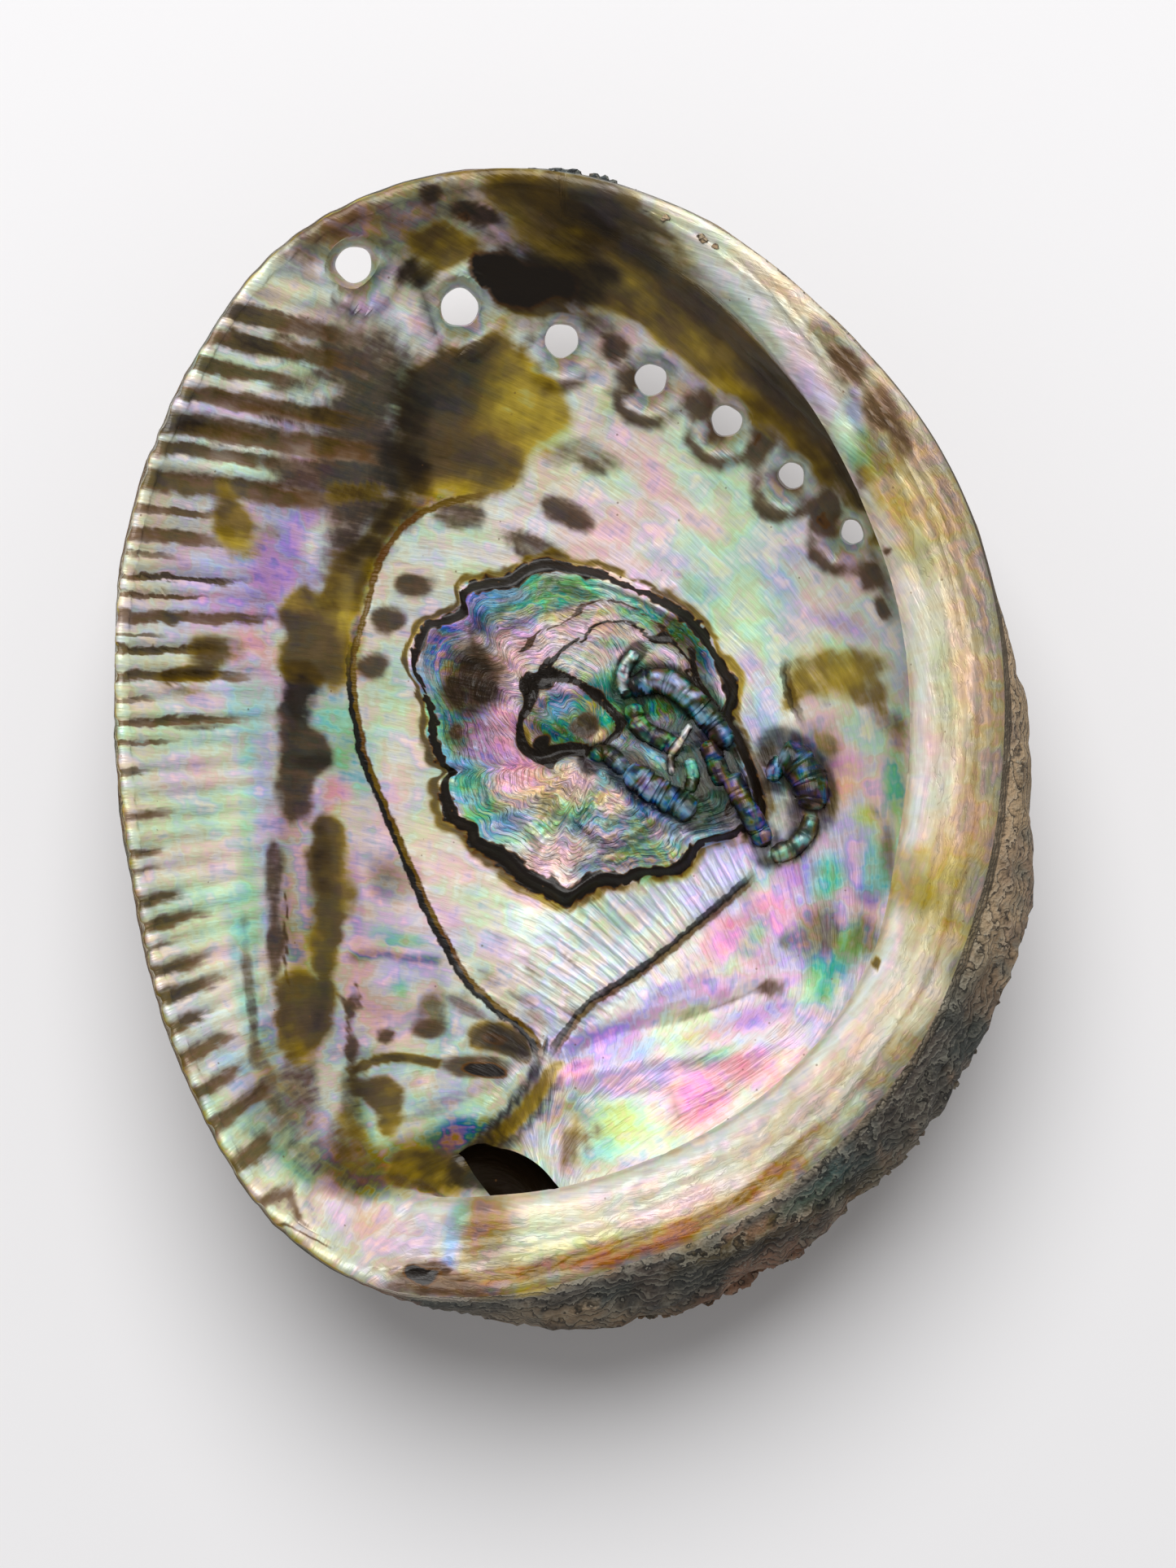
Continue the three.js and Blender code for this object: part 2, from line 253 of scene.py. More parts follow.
@dataclass(frozen=True)
class Grain:
    """Smooth seeded noise from about -1 to 1: a lattice of random values, eased between its nodes."""

    seed: int
    nodes: int = 24

    def at(self, points: Array, pitch: float, octaves: int = 1) -> Array:
        """The noise at points.

        Args:
            points: rows of two or three coordinates.
            pitch: the lattice's spacing, in the points' units.
            octaves: how many halvings of the pitch are added, each half as strong.

        Returns:
            The noise at each point.
        """
        lattice = np.random.default_rng(self.seed).uniform(-1, 1, (self.nodes,) * 3)
        if points.shape[1] == 2:
            points = np.column_stack([points, np.zeros(len(points))])
        total = np.zeros(len(points))
        for octave in range(octaves):
            place = points * (2**octave / pitch) + 7.3 * octave
            low = np.floor(place).astype(int)
            t = place - low
            t = t * t * (3 - 2 * t)
            part = np.zeros(len(points))
            for corner in np.ndindex(2, 2, 2):
                weight = np.prod(np.where(np.array(corner), t, 1 - t), axis=1)
                at = (low + np.array(corner)) % self.nodes
                part += weight * lattice[at[:, 0], at[:, 1], at[:, 2]]
            total += part / 2**octave
        return total * 1.6


@dataclass(frozen=True)
class Viewpoint:
    """Where the shell is seen from. It also lays the marks out on the shell."""

    wide_px: float = 1445.0
    high_px: float = 1927.0
    elevation_deg: float = 84.0
    target_mm: tuple[float, float, float] = (1.908, -6.835, 41.0)
    distance_mm: float = 450.0
    focal_px: float = 3750.0
    sensor_mm: float = 36.0

    def axes(self) -> tuple[Array, Array, Array]:
        """The view's right, up and backward directions."""
        tilt = math.radians(self.elevation_deg)
        back = np.array([0.0, -math.cos(tilt), math.sin(tilt)])
        right = np.array([1.0, 0.0, 0.0])
        return right, np.cross(back, right), back

    def eye(self) -> Array:
        """Where the eye is, in millimetres."""
        return np.array(self.target_mm) + self.distance_mm * self.axes()[2]

    def to_view(self, points_mm: Array) -> Array:
        """Projects points of the shell into the view's frame.

        Args:
            points_mm: points in the shared frame, one row each.

        Returns:
            Their places in the view, right and down from its upper left corner.
        """
        right, up, back = self.axes()
        gap = points_mm - self.eye()
        depth = -(gap @ back)
        across = self.wide_px / 2 + self.focal_px * (gap @ right) / depth
        down = self.high_px / 2 - self.focal_px * (gap @ up) / depth
        return np.column_stack([across, down])

    def on_level(self, places_px: Array, level_mm: float) -> Array:
        """Carries places of the view to a level plane.

        Args:
            places_px: places in the view, one row each.
            level_mm: the plane's height.

        Returns:
            Plan positions on it, one row each, in millimetres of the shared frame.
        """
        right, up, back = self.axes()
        across = (places_px[:, :1] - self.wide_px / 2) / self.focal_px
        down = (places_px[:, 1:] - self.high_px / 2) / self.focal_px
        ray = across * right - down * up - back
        eye = self.eye()
        return (eye + (level_mm - eye[2]) / ray[:, 2:] * ray)[:, :2]

    def add_camera(self) -> bpy.types.Object:
        """Adds the camera.

        Returns:
            The camera's object, which is the scene's camera.
        """
        data = bpy.data.cameras.new("view")
        data.sensor_fit = "VERTICAL"
        data.sensor_height = self.sensor_mm
        data.lens = self.focal_px * self.sensor_mm / self.high_px
        data.clip_start = 0.01
        camera = bpy.data.objects.new("view", data)
        right, up, back = self.axes()
        turn = np.eye(4)
        turn[:3, 0], turn[:3, 1], turn[:3, 2], turn[:3, 3] = right, up, back, self.eye() * MM
        camera.matrix_world = Matrix(turn.tolist())
        bpy.context.scene.collection.objects.link(camera)
        bpy.context.scene.camera = camera
        return camera


VIEW = Viewpoint()


@dataclass(frozen=True)
class Patch:
    """A soft oval mark with a wavering edge, laid out in the view's frame."""

    tone: Tone | Stain | Depth
    centre_px: tuple[float, float]
    radii_px: tuple[float, float]
    turn_deg: float = 0.0
    strength: float = 1.0
    softness: float = 0.45
    waver: float = 0.22

    def cover(self, places: Array, grain: Array) -> Array:
        """How strongly the mark covers each place: full inside the oval, easing off past its edge."""
        turn = math.radians(self.turn_deg)
        gap = places - np.array(self.centre_px)
        along = (gap[:, 0] * math.cos(turn) - gap[:, 1] * math.sin(turn)) / self.radii_px[0]
        across = (gap[:, 0] * math.sin(turn) + gap[:, 1] * math.cos(turn)) / self.radii_px[1]
        reach = np.hypot(along, across) * (1 + self.waver * grain)
        return self.strength * (1 - smoothstep(reach, 1 - self.softness, 1 + self.softness))


@dataclass(frozen=True)
class Blot:
    """A mark with a drawn outline and a soft, wavering edge, laid out in the view's frame."""

    tone: Tone | Stain | Depth
    outline_px: tuple[tuple[float, float], ...]
    strength: float = 1.0
    soft_px: float = 12.0
    waver_px: float = 7.0

    def cover(self, places: Array, grain: Array) -> Array:
        """How strongly the mark covers each place: full inside the outline, easing off across it."""
        path = smooth_path(list(self.outline_px), 4, closed=True)
        cover = np.zeros(len(places))
        reach = 1.4 * self.soft_px + 2 * self.waver_px
        near = np.all((places > path.min(0) - reach) & (places < path.max(0) + reach), axis=1)
        here = places[near]
        gap = nearest_on_path(here, path)[0]
        crossings = np.zeros(len(here), int)
        for (x0, y0), (x1, y1) in zip(path[:-1], path[1:]):
            spans = (y0 > here[:, 1]) != (y1 > here[:, 1])
            slope = (x1 - x0) / (y1 - y0 if abs(y1 - y0) > 1e-9 else 1e-9)
            crossings += spans & (here[:, 0] < x0 + (here[:, 1] - y0) * slope)
        signed = np.where(crossings % 2 == 1, gap, -gap) + self.waver_px * grain[near]
        soft = 1.4 * self.soft_px
        cover[near] = self.strength * smoothstep(signed, -soft, soft)
        return cover


@dataclass(frozen=True)
class Stroke:
    """A mark along a curve, laid out in the view's frame, thinner towards its ends where it tapers."""

    tone: Tone | Stain | Depth
    path_px: tuple[tuple[float, float], ...]
    width_px: float
    strength: float = 1.0
    softness: float = 0.5
    waver: float = 0.25
    taper: float = 0.0

    def cover(self, places: Array, grain: Array) -> Array:
        """How strongly the mark covers each place: full along the curve, easing off past half its width."""
        path = smooth_path(list(self.path_px))
        cover = np.zeros(len(places))
        reach = self.width_px * (1 + self.softness)
        near = np.all((places > path.min(0) - reach) & (places < path.max(0) + reach), axis=1)
        gap, along, _ = nearest_on_path(places[near], path)
        half = np.full(gap.shape, self.width_px / 2)
        if self.taper:
            length = np.hypot(*np.diff(path, axis=0).T).sum()
            half = half * (1 - self.taper * np.abs(2 * along / length - 1) ** 2)
        share = gap / np.maximum(half, 0.5) * (1 + self.waver * grain[near])
        cover[near] = self.strength * (1 - smoothstep(share, 1 - self.softness, 1 + self.softness))
        return cover


@dataclass(frozen=True)
class Ridge:
    """A raised or sunk line in the view's frame. A leaning one is a step that fades to one side."""

    path_px: tuple[tuple[float, float], ...]
    width_px: float
    height_mm: float
    lean: int = 0
    ribs_px: float = 0.0
    closed: bool = False

    def lift(self, places: Array) -> Array:
        """The height at each place: a rounded bead, or a step down on the side away from the lean."""
        path = smooth_path(list(self.path_px), closed=self.closed)
        lift = np.zeros(len(places))
        reach = self.width_px * (3 if self.lean else 1)
        near = np.all((places > path.min(0) - reach) & (places < path.max(0) + reach), axis=1)
        gap, along, side = nearest_on_path(places[near], path)
        bead = hump(gap, self.width_px)
        if self.lean:
            fade = hump(gap, self.width_px * 3)
            bead = np.where(side * self.lean > 0, fade, hump(gap, self.width_px * 0.3))
        if self.ribs_px:
            bead = bead * (0.8 + 0.2 * np.cos(along * 2 * math.pi / self.ribs_px))
        if not self.closed:
            length = np.hypot(*np.diff(path, axis=0).T).sum()
            ends = smoothstep(along, 0, self.width_px) * smoothstep(length - along, 0, self.width_px)
            bead = bead * ends
        lift[near] = self.height_mm * bead
        return lift


@dataclass(frozen=True)
class Bowl:
    """The bowl's form in millimetres from its pole. Profiles run from outside over the rim inwards."""

    outline: tuple[float, ...] = (
        65.5, 64.5, 68, 73, 81.5, 88, 88, 80.5, 74, 70, 71, 77.5, 86, 87.5, 85.5, 80, 75, 70,
    )
    fold: tuple[float, ...] = (
        48, 50, 54.5, 62.5, 74.5, 84, 80, 67, 56, 50.5, 54, 65, 74.5, 69, 63, 58.5, 54, 49,
    )
    rim_height: float = 41.0
    rim_tilt: float = 2.5
    rim_saddle: float = 1.5
    floor_wall: float = 6.6
    side_wall: float = 4.0
    ledge_wall: float = 4.8
    lip_wall: float = 1.9
    worn_share: float = 0.075
    bulge: float = 8.5
    ledge_slope: float = 0.42
    ledge_crown: float = 1.6
    ledge_tip: float = 1.3
    ledge_root: float = 11.0
    scar_slope: float = 1.1
    scar_level: float = 7.5
    scar_px: tuple[tuple[float, float], ...] = (
        (902, 851), (899, 836), (887, 818), (867, 780), (852, 763), (828, 745), (782, 723), (746, 707),
        (699, 697), (673, 693), (647, 700), (626, 714), (603, 717), (579, 723), (569, 736), (570, 752),
        (553, 763), (529, 769), (518, 784), (510, 807), (512, 832), (522, 851), (531, 876), (533, 903),
        (543, 938), (557, 947), (548, 957), (547, 972), (556, 1006), (578, 1018), (585, 1036), (608, 1047),
        (623, 1056), (645, 1077), (676, 1094), (696, 1104), (720, 1089), (743, 1079), (764, 1081),
        (788, 1071), (826, 1068), (846, 1056), (857, 1037), (881, 1029), (910, 1020), (933, 1000),
        (931, 970), (915, 924), (903, 900), (894, 880),
    )

    def ledge_share(self, angle: Array) -> Array:
        """How much of a ledge there is: 1 on the +X side and 0 at the thin outer lip."""
        return arc_share(angle, -104, 62, 12, 30)

    def steepness(self, angle: Array) -> Array:
        """How steep the wall is: 1 beside the ledge and 0 at the outer lip."""
        return ((1 + np.cos(angle + math.radians(15))) / 2) ** 1.1

    def swelling(self, angle: Array) -> Array:
        """How far the outside swells beyond the rim, most below the ledge towards the spire."""
        return arc_share(angle, -80, -35, 35, 65)

    def rim_top(self, angle: Array) -> Array:
        """The rim's height, tilted and saddled around the bowl."""
        tilted = self.rim_height + self.rim_tilt * np.cos(angle)
        return tilted - self.rim_saddle * np.cos(2 * angle - math.pi)

    def outside(self, angle: Array, t: Array) -> tuple[Array, Array]:
        """The outside's profile: an arc up to the widest place, then a quarter turn over to the rim.

        Args:
            angle: directions in radians.
            t: the share of the way from the pole to the rim.

        Returns:
            Radii and heights.
        """
        widest = around(self.outline, angle)
        steep = self.steepness(angle)
        swell = self.swelling(angle)
        top = self.rim_top(angle)
        widest_height = top * (1 - 0.38 * swell) - 1.2
        bend = 0.96 - 0.16 * swell
        over = np.clip((t - bend) / (1 - bend), 0, 1) * (math.pi / 2)
        over_radius = widest - (self.bulge * swell + 0.5) * (1 - np.cos(over))
        over_height = lerp(widest_height, top, np.sin(over))
        last = np.radians(lerp(32, 88, steep))
        turn = np.clip(t / bend, 0, 1) * last
        radius = widest * (np.sin(turn) / np.sin(last)) ** lerp(1, 0.62, steep)
        rise = (1 - np.cos(turn)) / (1 - np.cos(last))
        height = widest_height * (rise * (1 + self.worn_share) - self.worn_share)
        past = t > bend
        return np.where(past, over_radius, radius), np.where(past, over_height, height)

    def inside(self, angle: Array, t: Array) -> tuple[Array, Array]:
        """The wall's inside beside a place of the outside's profile, a wall's thickness along its normal."""
        step = 0.01
        r, z = self.outside(angle, t)
        r0, z0 = self.outside(angle, np.maximum(0, t - step))
        r1, z1 = self.outside(angle, np.minimum(1, t + step))
        length = np.hypot(r1 - r0, z1 - z0)
        edge = lerp(self.lip_wall, self.ledge_wall, self.ledge_share(angle))
        lower = lerp(self.floor_wall, self.side_wall, t / 0.6)
        wall = np.where(t < 0.6, lower, lerp(self.side_wall, edge, smoothstep(t, 0.6, 1)))
        return np.maximum(0, r - wall * (z1 - z0) / length), z + wall * (r1 - r0) / length

    def share_at_radius(self, angle: Array, radius: Array) -> Array:
        """The share of the profile at which the wall's inside reaches a radius, by halving."""
        low = np.zeros(np.broadcast(angle, radius).shape)
        high = np.full(low.shape, 0.995)
        for _ in range(24):
            middle = (low + high) / 2
            short = self.inside(angle, middle)[0] < radius
            low = np.where(short, middle, low)
            high = np.where(short, high, middle)
        return low

    def share_at_height(self, angle: Array, height: Array) -> Array:
        """The share of the profile at which the outside first reaches a height, in fine steps."""
        steps = np.arange(0, 0.904, 0.004)
        reached = self.outside(angle[None, :], steps[:, None])[1] >= height[None, :]
        return np.where(reached.any(0), steps[reached.argmax(0)], steps[-1])

    def scar_edge(self, angle: Array) -> Array:
        """The muscle scar's edge, from its outline in the view carried down to the floor."""
        outline = smooth_path(list(self.scar_px), 4, closed=True)
        plan = VIEW.on_level(outline, self.scar_level) - POLE_SHIFT_MM[:2]
        turn = np.arctan2(plan[:, 1], plan[:, 0])
        return np.interp(angle, turn, np.hypot(*plan.T), period=2 * math.pi)

    def wall_at(self, x: float, y: float) -> tuple[Array, Array]:
        """The middle of the wall at a plan position.

        Args:
            x: position along X.
            y: position along Y.

        Returns:
            The point, and the wall's outward normal there.
        """
        angle = np.array([math.atan2(y, x)])
        share = self.share_at_radius(angle, np.array([math.hypot(x, y)]))
        (r0,), (z0,) = self.outside(angle, share - 0.01)
        (r1,), (z1,) = self.outside(angle, share + 0.01)
        c, s = math.cos(angle[0]), math.sin(angle[0])
        normal = np.array([(z1 - z0) * c, (z1 - z0) * s, r0 - r1])
        normal /= np.linalg.norm(normal)
        level = self.inside(angle, share)[1][0]
        return np.array([x, y, level]) + normal * self.side_wall / 2, normal


@dataclass(frozen=True)
class Holes:
    """The breathing holes: plan positions and waist radii in millimetres, from the front margin back."""

    open_mm: tuple[tuple[float, float, float], ...] = (
        (-35.0, 72.3, 2.75), (-19.4, 67.8, 2.9), (-3.8, 63.6, 2.6), (10.0, 57.8, 2.45),
        (21.6, 51.2, 2.4), (31.5, 42.6, 2.05), (40.5, 33.6, 1.9),
    )
    healed_mm: tuple[tuple[float, float], ...] = (
        (46.2, 23.8), (49.4, 11.7), (51.1, -1), (50.3, -15), (46.3, -27.5), (38.7, -40), (28.7, -50),
        (17.4, -58.6),
    )
    flare: float = 1.4
    crust_from: float = 1.0
    reach: float = 9.0
    knob_radius: float = 6.2
    knob_height: float = 2.6
    healed_height: float = 1.7
    keel_width: float = 5.5
    keel_height: float = 1.2

    def keel_gap(self, x: Array, y: Array) -> Array:
        """The plan distance to the curve through all holes."""
        path = smooth_path([place[:2] for place in self.open_mm] + list(self.healed_mm))
        return nearest_on_path(np.column_stack([x, y]), path)[0]

    def knobs(self, x: Array, y: Array) -> Array:
        """The height of the raised rims outside, a hump over each hole."""
        heights = [
            (place, height)
            for places, height in ((self.open_mm, self.knob_height), (self.healed_mm, self.healed_height))
            for place in places
        ]
        humps = [height * hump(np.hypot(p[0] - x, p[1] - y), self.knob_radius) for p, height in heights]
        return np.max(humps, axis=0)

    def cutter(self, bowl: Bowl, place: tuple[float, float, float]) -> "Closed":
        """A waisted round plug that flares to both faces of the wall.

        Args:
            bowl: the wall that it passes through.
            place: the hole's plan position and waist radius.

        Returns:
            The plug's closed surface.
        """
        x, y, waist = place
        middle, normal = bowl.wall_at(x, y)
        axis = lerp(normal, np.array([0, 0, -1.0]), 0.45)
        axis /= np.linalg.norm(axis)
        side = np.cross(axis, [0, 0, 1.0])
        side /= np.linalg.norm(side)
        up = np.cross(axis, side)
        height = np.array([-self.reach, -5, -4, -3, -2, -1, 0, 1, 2, 3, 4, self.reach])
        radius = waist + self.flare * np.minimum(1.6, (height / 3.4) ** 2)
        turn = np.arange(40) / 40 * 2 * math.pi
        waver = 1 + 0.03 * np.sin(3 * turn + x) + 0.02 * np.sin(5 * turn - y)
        spread = np.outer(radius, waver)
        rings = (
            middle
            + (spread * np.cos(turn))[..., None] * side
            + (spread * np.sin(turn))[..., None] * up
            + height[:, None, None] * axis
        )
        plug = Closed.from_rings(rings, middle - self.reach * axis, middle + self.reach * axis)
        plug.parts[len(turn) * (2 * int((height <= self.crust_from).sum()) - 1) :] = int(Part.OUTSIDE)
        return plug


@dataclass
class Closed:
    """A closed surface as arrays: points in millimetres, triangles, and each triangle's part."""

    points: Array
    triangles: Array
    parts: Array

    @classmethod
    def from_rings(cls, rings: Array, first: Array, last: Array, part: Part = Part.HOLE) -> "Closed":
        """Joins equal rings of points between two poles.

        Args:
            rings: points as ring, place around it and coordinate.
            first: the pole before the first ring.
            last: the pole after the last ring.
            part: the part that its triangles are.

        Returns:
            The closed surface, turned to face outwards.
        """
        count, around_count, _ = rings.shape
        points = np.vstack([first, rings.reshape(-1, 3), last])
        i = np.arange(around_count)
        n = (i + 1) % around_count
        faces = [np.column_stack([np.zeros_like(i), 1 + n, 1 + i])]
        for ring in range(count - 1):
            a, b = 1 + ring * around_count, 1 + (ring + 1) * around_count
            faces.append(np.column_stack([a + i, a + n, b + n]))
            faces.append(np.column_stack([a + i, b + n, b + i]))
        top = 1 + (count - 1) * around_count
        faces.append(np.column_stack([np.full_like(i, len(points) - 1), top + i, top + n]))
        triangles = np.vstack(faces)
        a, b, c = (points[triangles[:, k]] for k in range(3))
        if np.einsum("ij,ij->i", a, np.cross(b, c)).sum() < 0:
            triangles = triangles[:, ::-1]
        return cls(points, triangles, np.full(len(triangles), int(part)))

    @classmethod
    def merged(cls, pieces: list["Closed"]) -> "Closed":
        """Puts several closed surfaces into one set of arrays."""
        starts = np.concatenate([[0], np.cumsum([len(piece.points) for piece in pieces])])
        return cls(
            np.vstack([piece.points for piece in pieces]),
            np.vstack([piece.triangles + start for piece, start in zip(pieces, starts)]),
            np.concatenate([piece.parts for piece in pieces]),
        )

    def to_object(self, name: str) -> bpy.types.Object:
        """Puts the arrays into a mesh object at the origin.

        Args:
            name: the object's name.

        Returns:
            The object, with one empty material slot for each part.
        """
        mesh = bpy.data.meshes.new(name)
        count = len(self.triangles)
        mesh.vertices.add(len(self.points))
        mesh.vertices.foreach_set("co", (self.points * MM).astype(np.float32).ravel())
        mesh.loops.add(3 * count)
        mesh.loops.foreach_set("vertex_index", self.triangles.astype(np.int32).ravel())
        mesh.polygons.add(count)
        mesh.polygons.foreach_set("loop_start", np.arange(0, 3 * count, 3, dtype=np.int32))
        for part in Part:
            stand_in = bpy.data.materials.get(part.name) or bpy.data.materials.new(part.name)
            mesh.materials.append(stand_in)
        mesh.polygons.foreach_set("material_index", self.parts.astype(np.int32))
        mesh.update(calc_edges=True)
        made = bpy.data.objects.new(name, mesh)
        bpy.context.scene.collection.objects.link(made)
        return made


def combine(target: bpy.types.Object, other: bpy.types.Object, operation: str) -> None:
    """Joins or cuts one closed mesh by another and removes the other.

    Args:
        target: the mesh object that is changed.
        other: the mesh object that joins or cuts it.
        operation: UNION or DIFFERENCE.
    """
    modifier = target.modifiers.new("combine", "BOOLEAN")
    modifier.solver = "MANIFOLD"
    modifier.operation = operation
    modifier.object = other
    shown = target.evaluated_get(bpy.context.evaluated_depsgraph_get())
    mesh = bpy.data.meshes.new_from_object(shown)
    target.modifiers.remove(modifier)
    old = target.data
    target.data = mesh
    bpy.data.meshes.remove(old)
    spare = other.data
    bpy.data.objects.remove(other)
    bpy.data.meshes.remove(spare)


def keep_largest(target: bpy.types.Object) -> None:
    """Deletes what doesn't touch the mesh's largest piece.

    Each vertex takes the lowest number that it reaches along the edges, until nothing changes.

    Args:
        target: the mesh object that is changed.
    """
    mesh = target.data
    ends = np.empty(2 * len(mesh.edges), np.int32)
    mesh.edges.foreach_get("vertices", ends)
    a, b = ends.reshape(-1, 2).T
    label, before = np.arange(len(mesh.vertices)), None
    while before is None or not np.array_equal(label, before):
        before = label.copy()
        lowest = np.minimum(label[a], label[b])
        np.minimum.at(label, a, lowest)
        np.minimum.at(label, b, lowest)
        label = label[label]
    loose = np.flatnonzero(label != np.bincount(label).argmax())
    work = bmesh.new()
    work.from_mesh(mesh)
    work.verts.ensure_lookup_table()
    bmesh.ops.delete(work, geom=[work.verts[int(i)] for i in loose], context="VERTS")
    work.to_mesh(mesh)
    work.free()


@dataclass(frozen=True)
class Spire:
    """The spire: a low coiled dome outside, and a horn inside that coils under the ledge. Millimetres."""

    axis: tuple[float, float] = (-10.5, -71.5)
    start_deg: float = 128.0
    coil: float = 7.0
    shrink: float = 3.1
    boss_radius: float = 18.0
    boss_height: float = 7.0
    apex_radius: float = 8.0
    apex_height: float = 3.2
    suture: float = 0.9
    horn_radius: float = 5.4
    horn_turns: float = 0.42
    horn_entry: float = -5.0

    def frame_in(self, bowl: Bowl) -> tuple[Array, Array, Array, Array]:
        """The spire's middle and its across, along and outward directions, which lie in the bowl's wall."""
        middle, out = bowl.wall_at(*self.axis)
        across = np.array([1.0, 0, 0]) - out[0] * out
        across /= np.linalg.norm(across)
        return middle, across, np.cross(across, out), out

    def apex(self, bowl: Bowl) -> Closed:
        """The dome on the boss: a paraboloid with a spiral suture that tightens towards its middle."""
        middle, across, along, out = self.frame_in(bowl)
        share = np.linspace(1, 0.04, 34)[:, None]
        angle = -np.arange(96)[None, :] / 96 * 2 * math.pi
        whorl = np.mod(angle / (2 * math.pi) + np.log(share) / math.log(self.shrink), 1)
        height = (2 + self.apex_height) * (1 - share**2)
        height = height - self.suture * smoothstep(share, 0, 0.1) * (2 * whorl - 1) ** 6
        height = height + 0.12 * np.sin(26 * angle + 9 * share) * share
        base = self.boss_height - 2
        rings = (
            middle
            + (self.apex_radius * share * np.cos(angle))[..., None] * across
            + (self.apex_radius * share * np.sin(angle))[..., None] * along
            + (base + height)[..., None] * out
        )
        top = middle + (base + 2 + self.apex_height) * out
        return Closed.from_rings(rings, middle + (base - 1) * out, top, Part.OUTSIDE)

    def horn(self, bowl: Bowl) -> Closed:
        """The hollow inside: a tapering tube on a log spiral that dips out of the bowl's end."""
        middle, across, along, out = self.frame_in(bowl)

        def centre(turn: Array) -> Array:
            """The horn's centreline at turns of its coil."""
            reach = self.coil * self.shrink**-turn
            angle = math.radians(self.start_deg) - turn * 2 * math.pi
            lift = lerp(self.horn_entry, 0.8, smoothstep(turn, -0.04, 0.2)) + 2.4 * np.maximum(0, turn - 0.2)
            return (
                middle
                + np.outer(reach * np.cos(angle), across)
                + np.outer(reach * np.sin(angle), along)
                + np.outer(lift, out)
            )

        turn = np.linspace(-0.04, self.horn_turns, 30)
        course = centre(turn + 0.01) - centre(turn - 0.01)
        course /= np.linalg.norm(course, axis=1)[:, None]
        side = np.cross(out, course)
        side /= np.linalg.norm(side, axis=1)[:, None]
        rise = np.cross(course, side)
        radius = self.horn_radius * self.shrink ** -np.maximum(0, turn)
        angle = np.arange(48) / 48 * 2 * math.pi
        rings = centre(turn)[:, None] + (
            np.outer(radius, np.cos(angle))[..., None] * side[:, None]
            + np.outer(radius, np.sin(angle))[..., None] * rise[:, None]
        )
        return Closed.from_rings(rings, centre(turn[:1])[0], centre(turn[-1:])[0], Part.HORN)


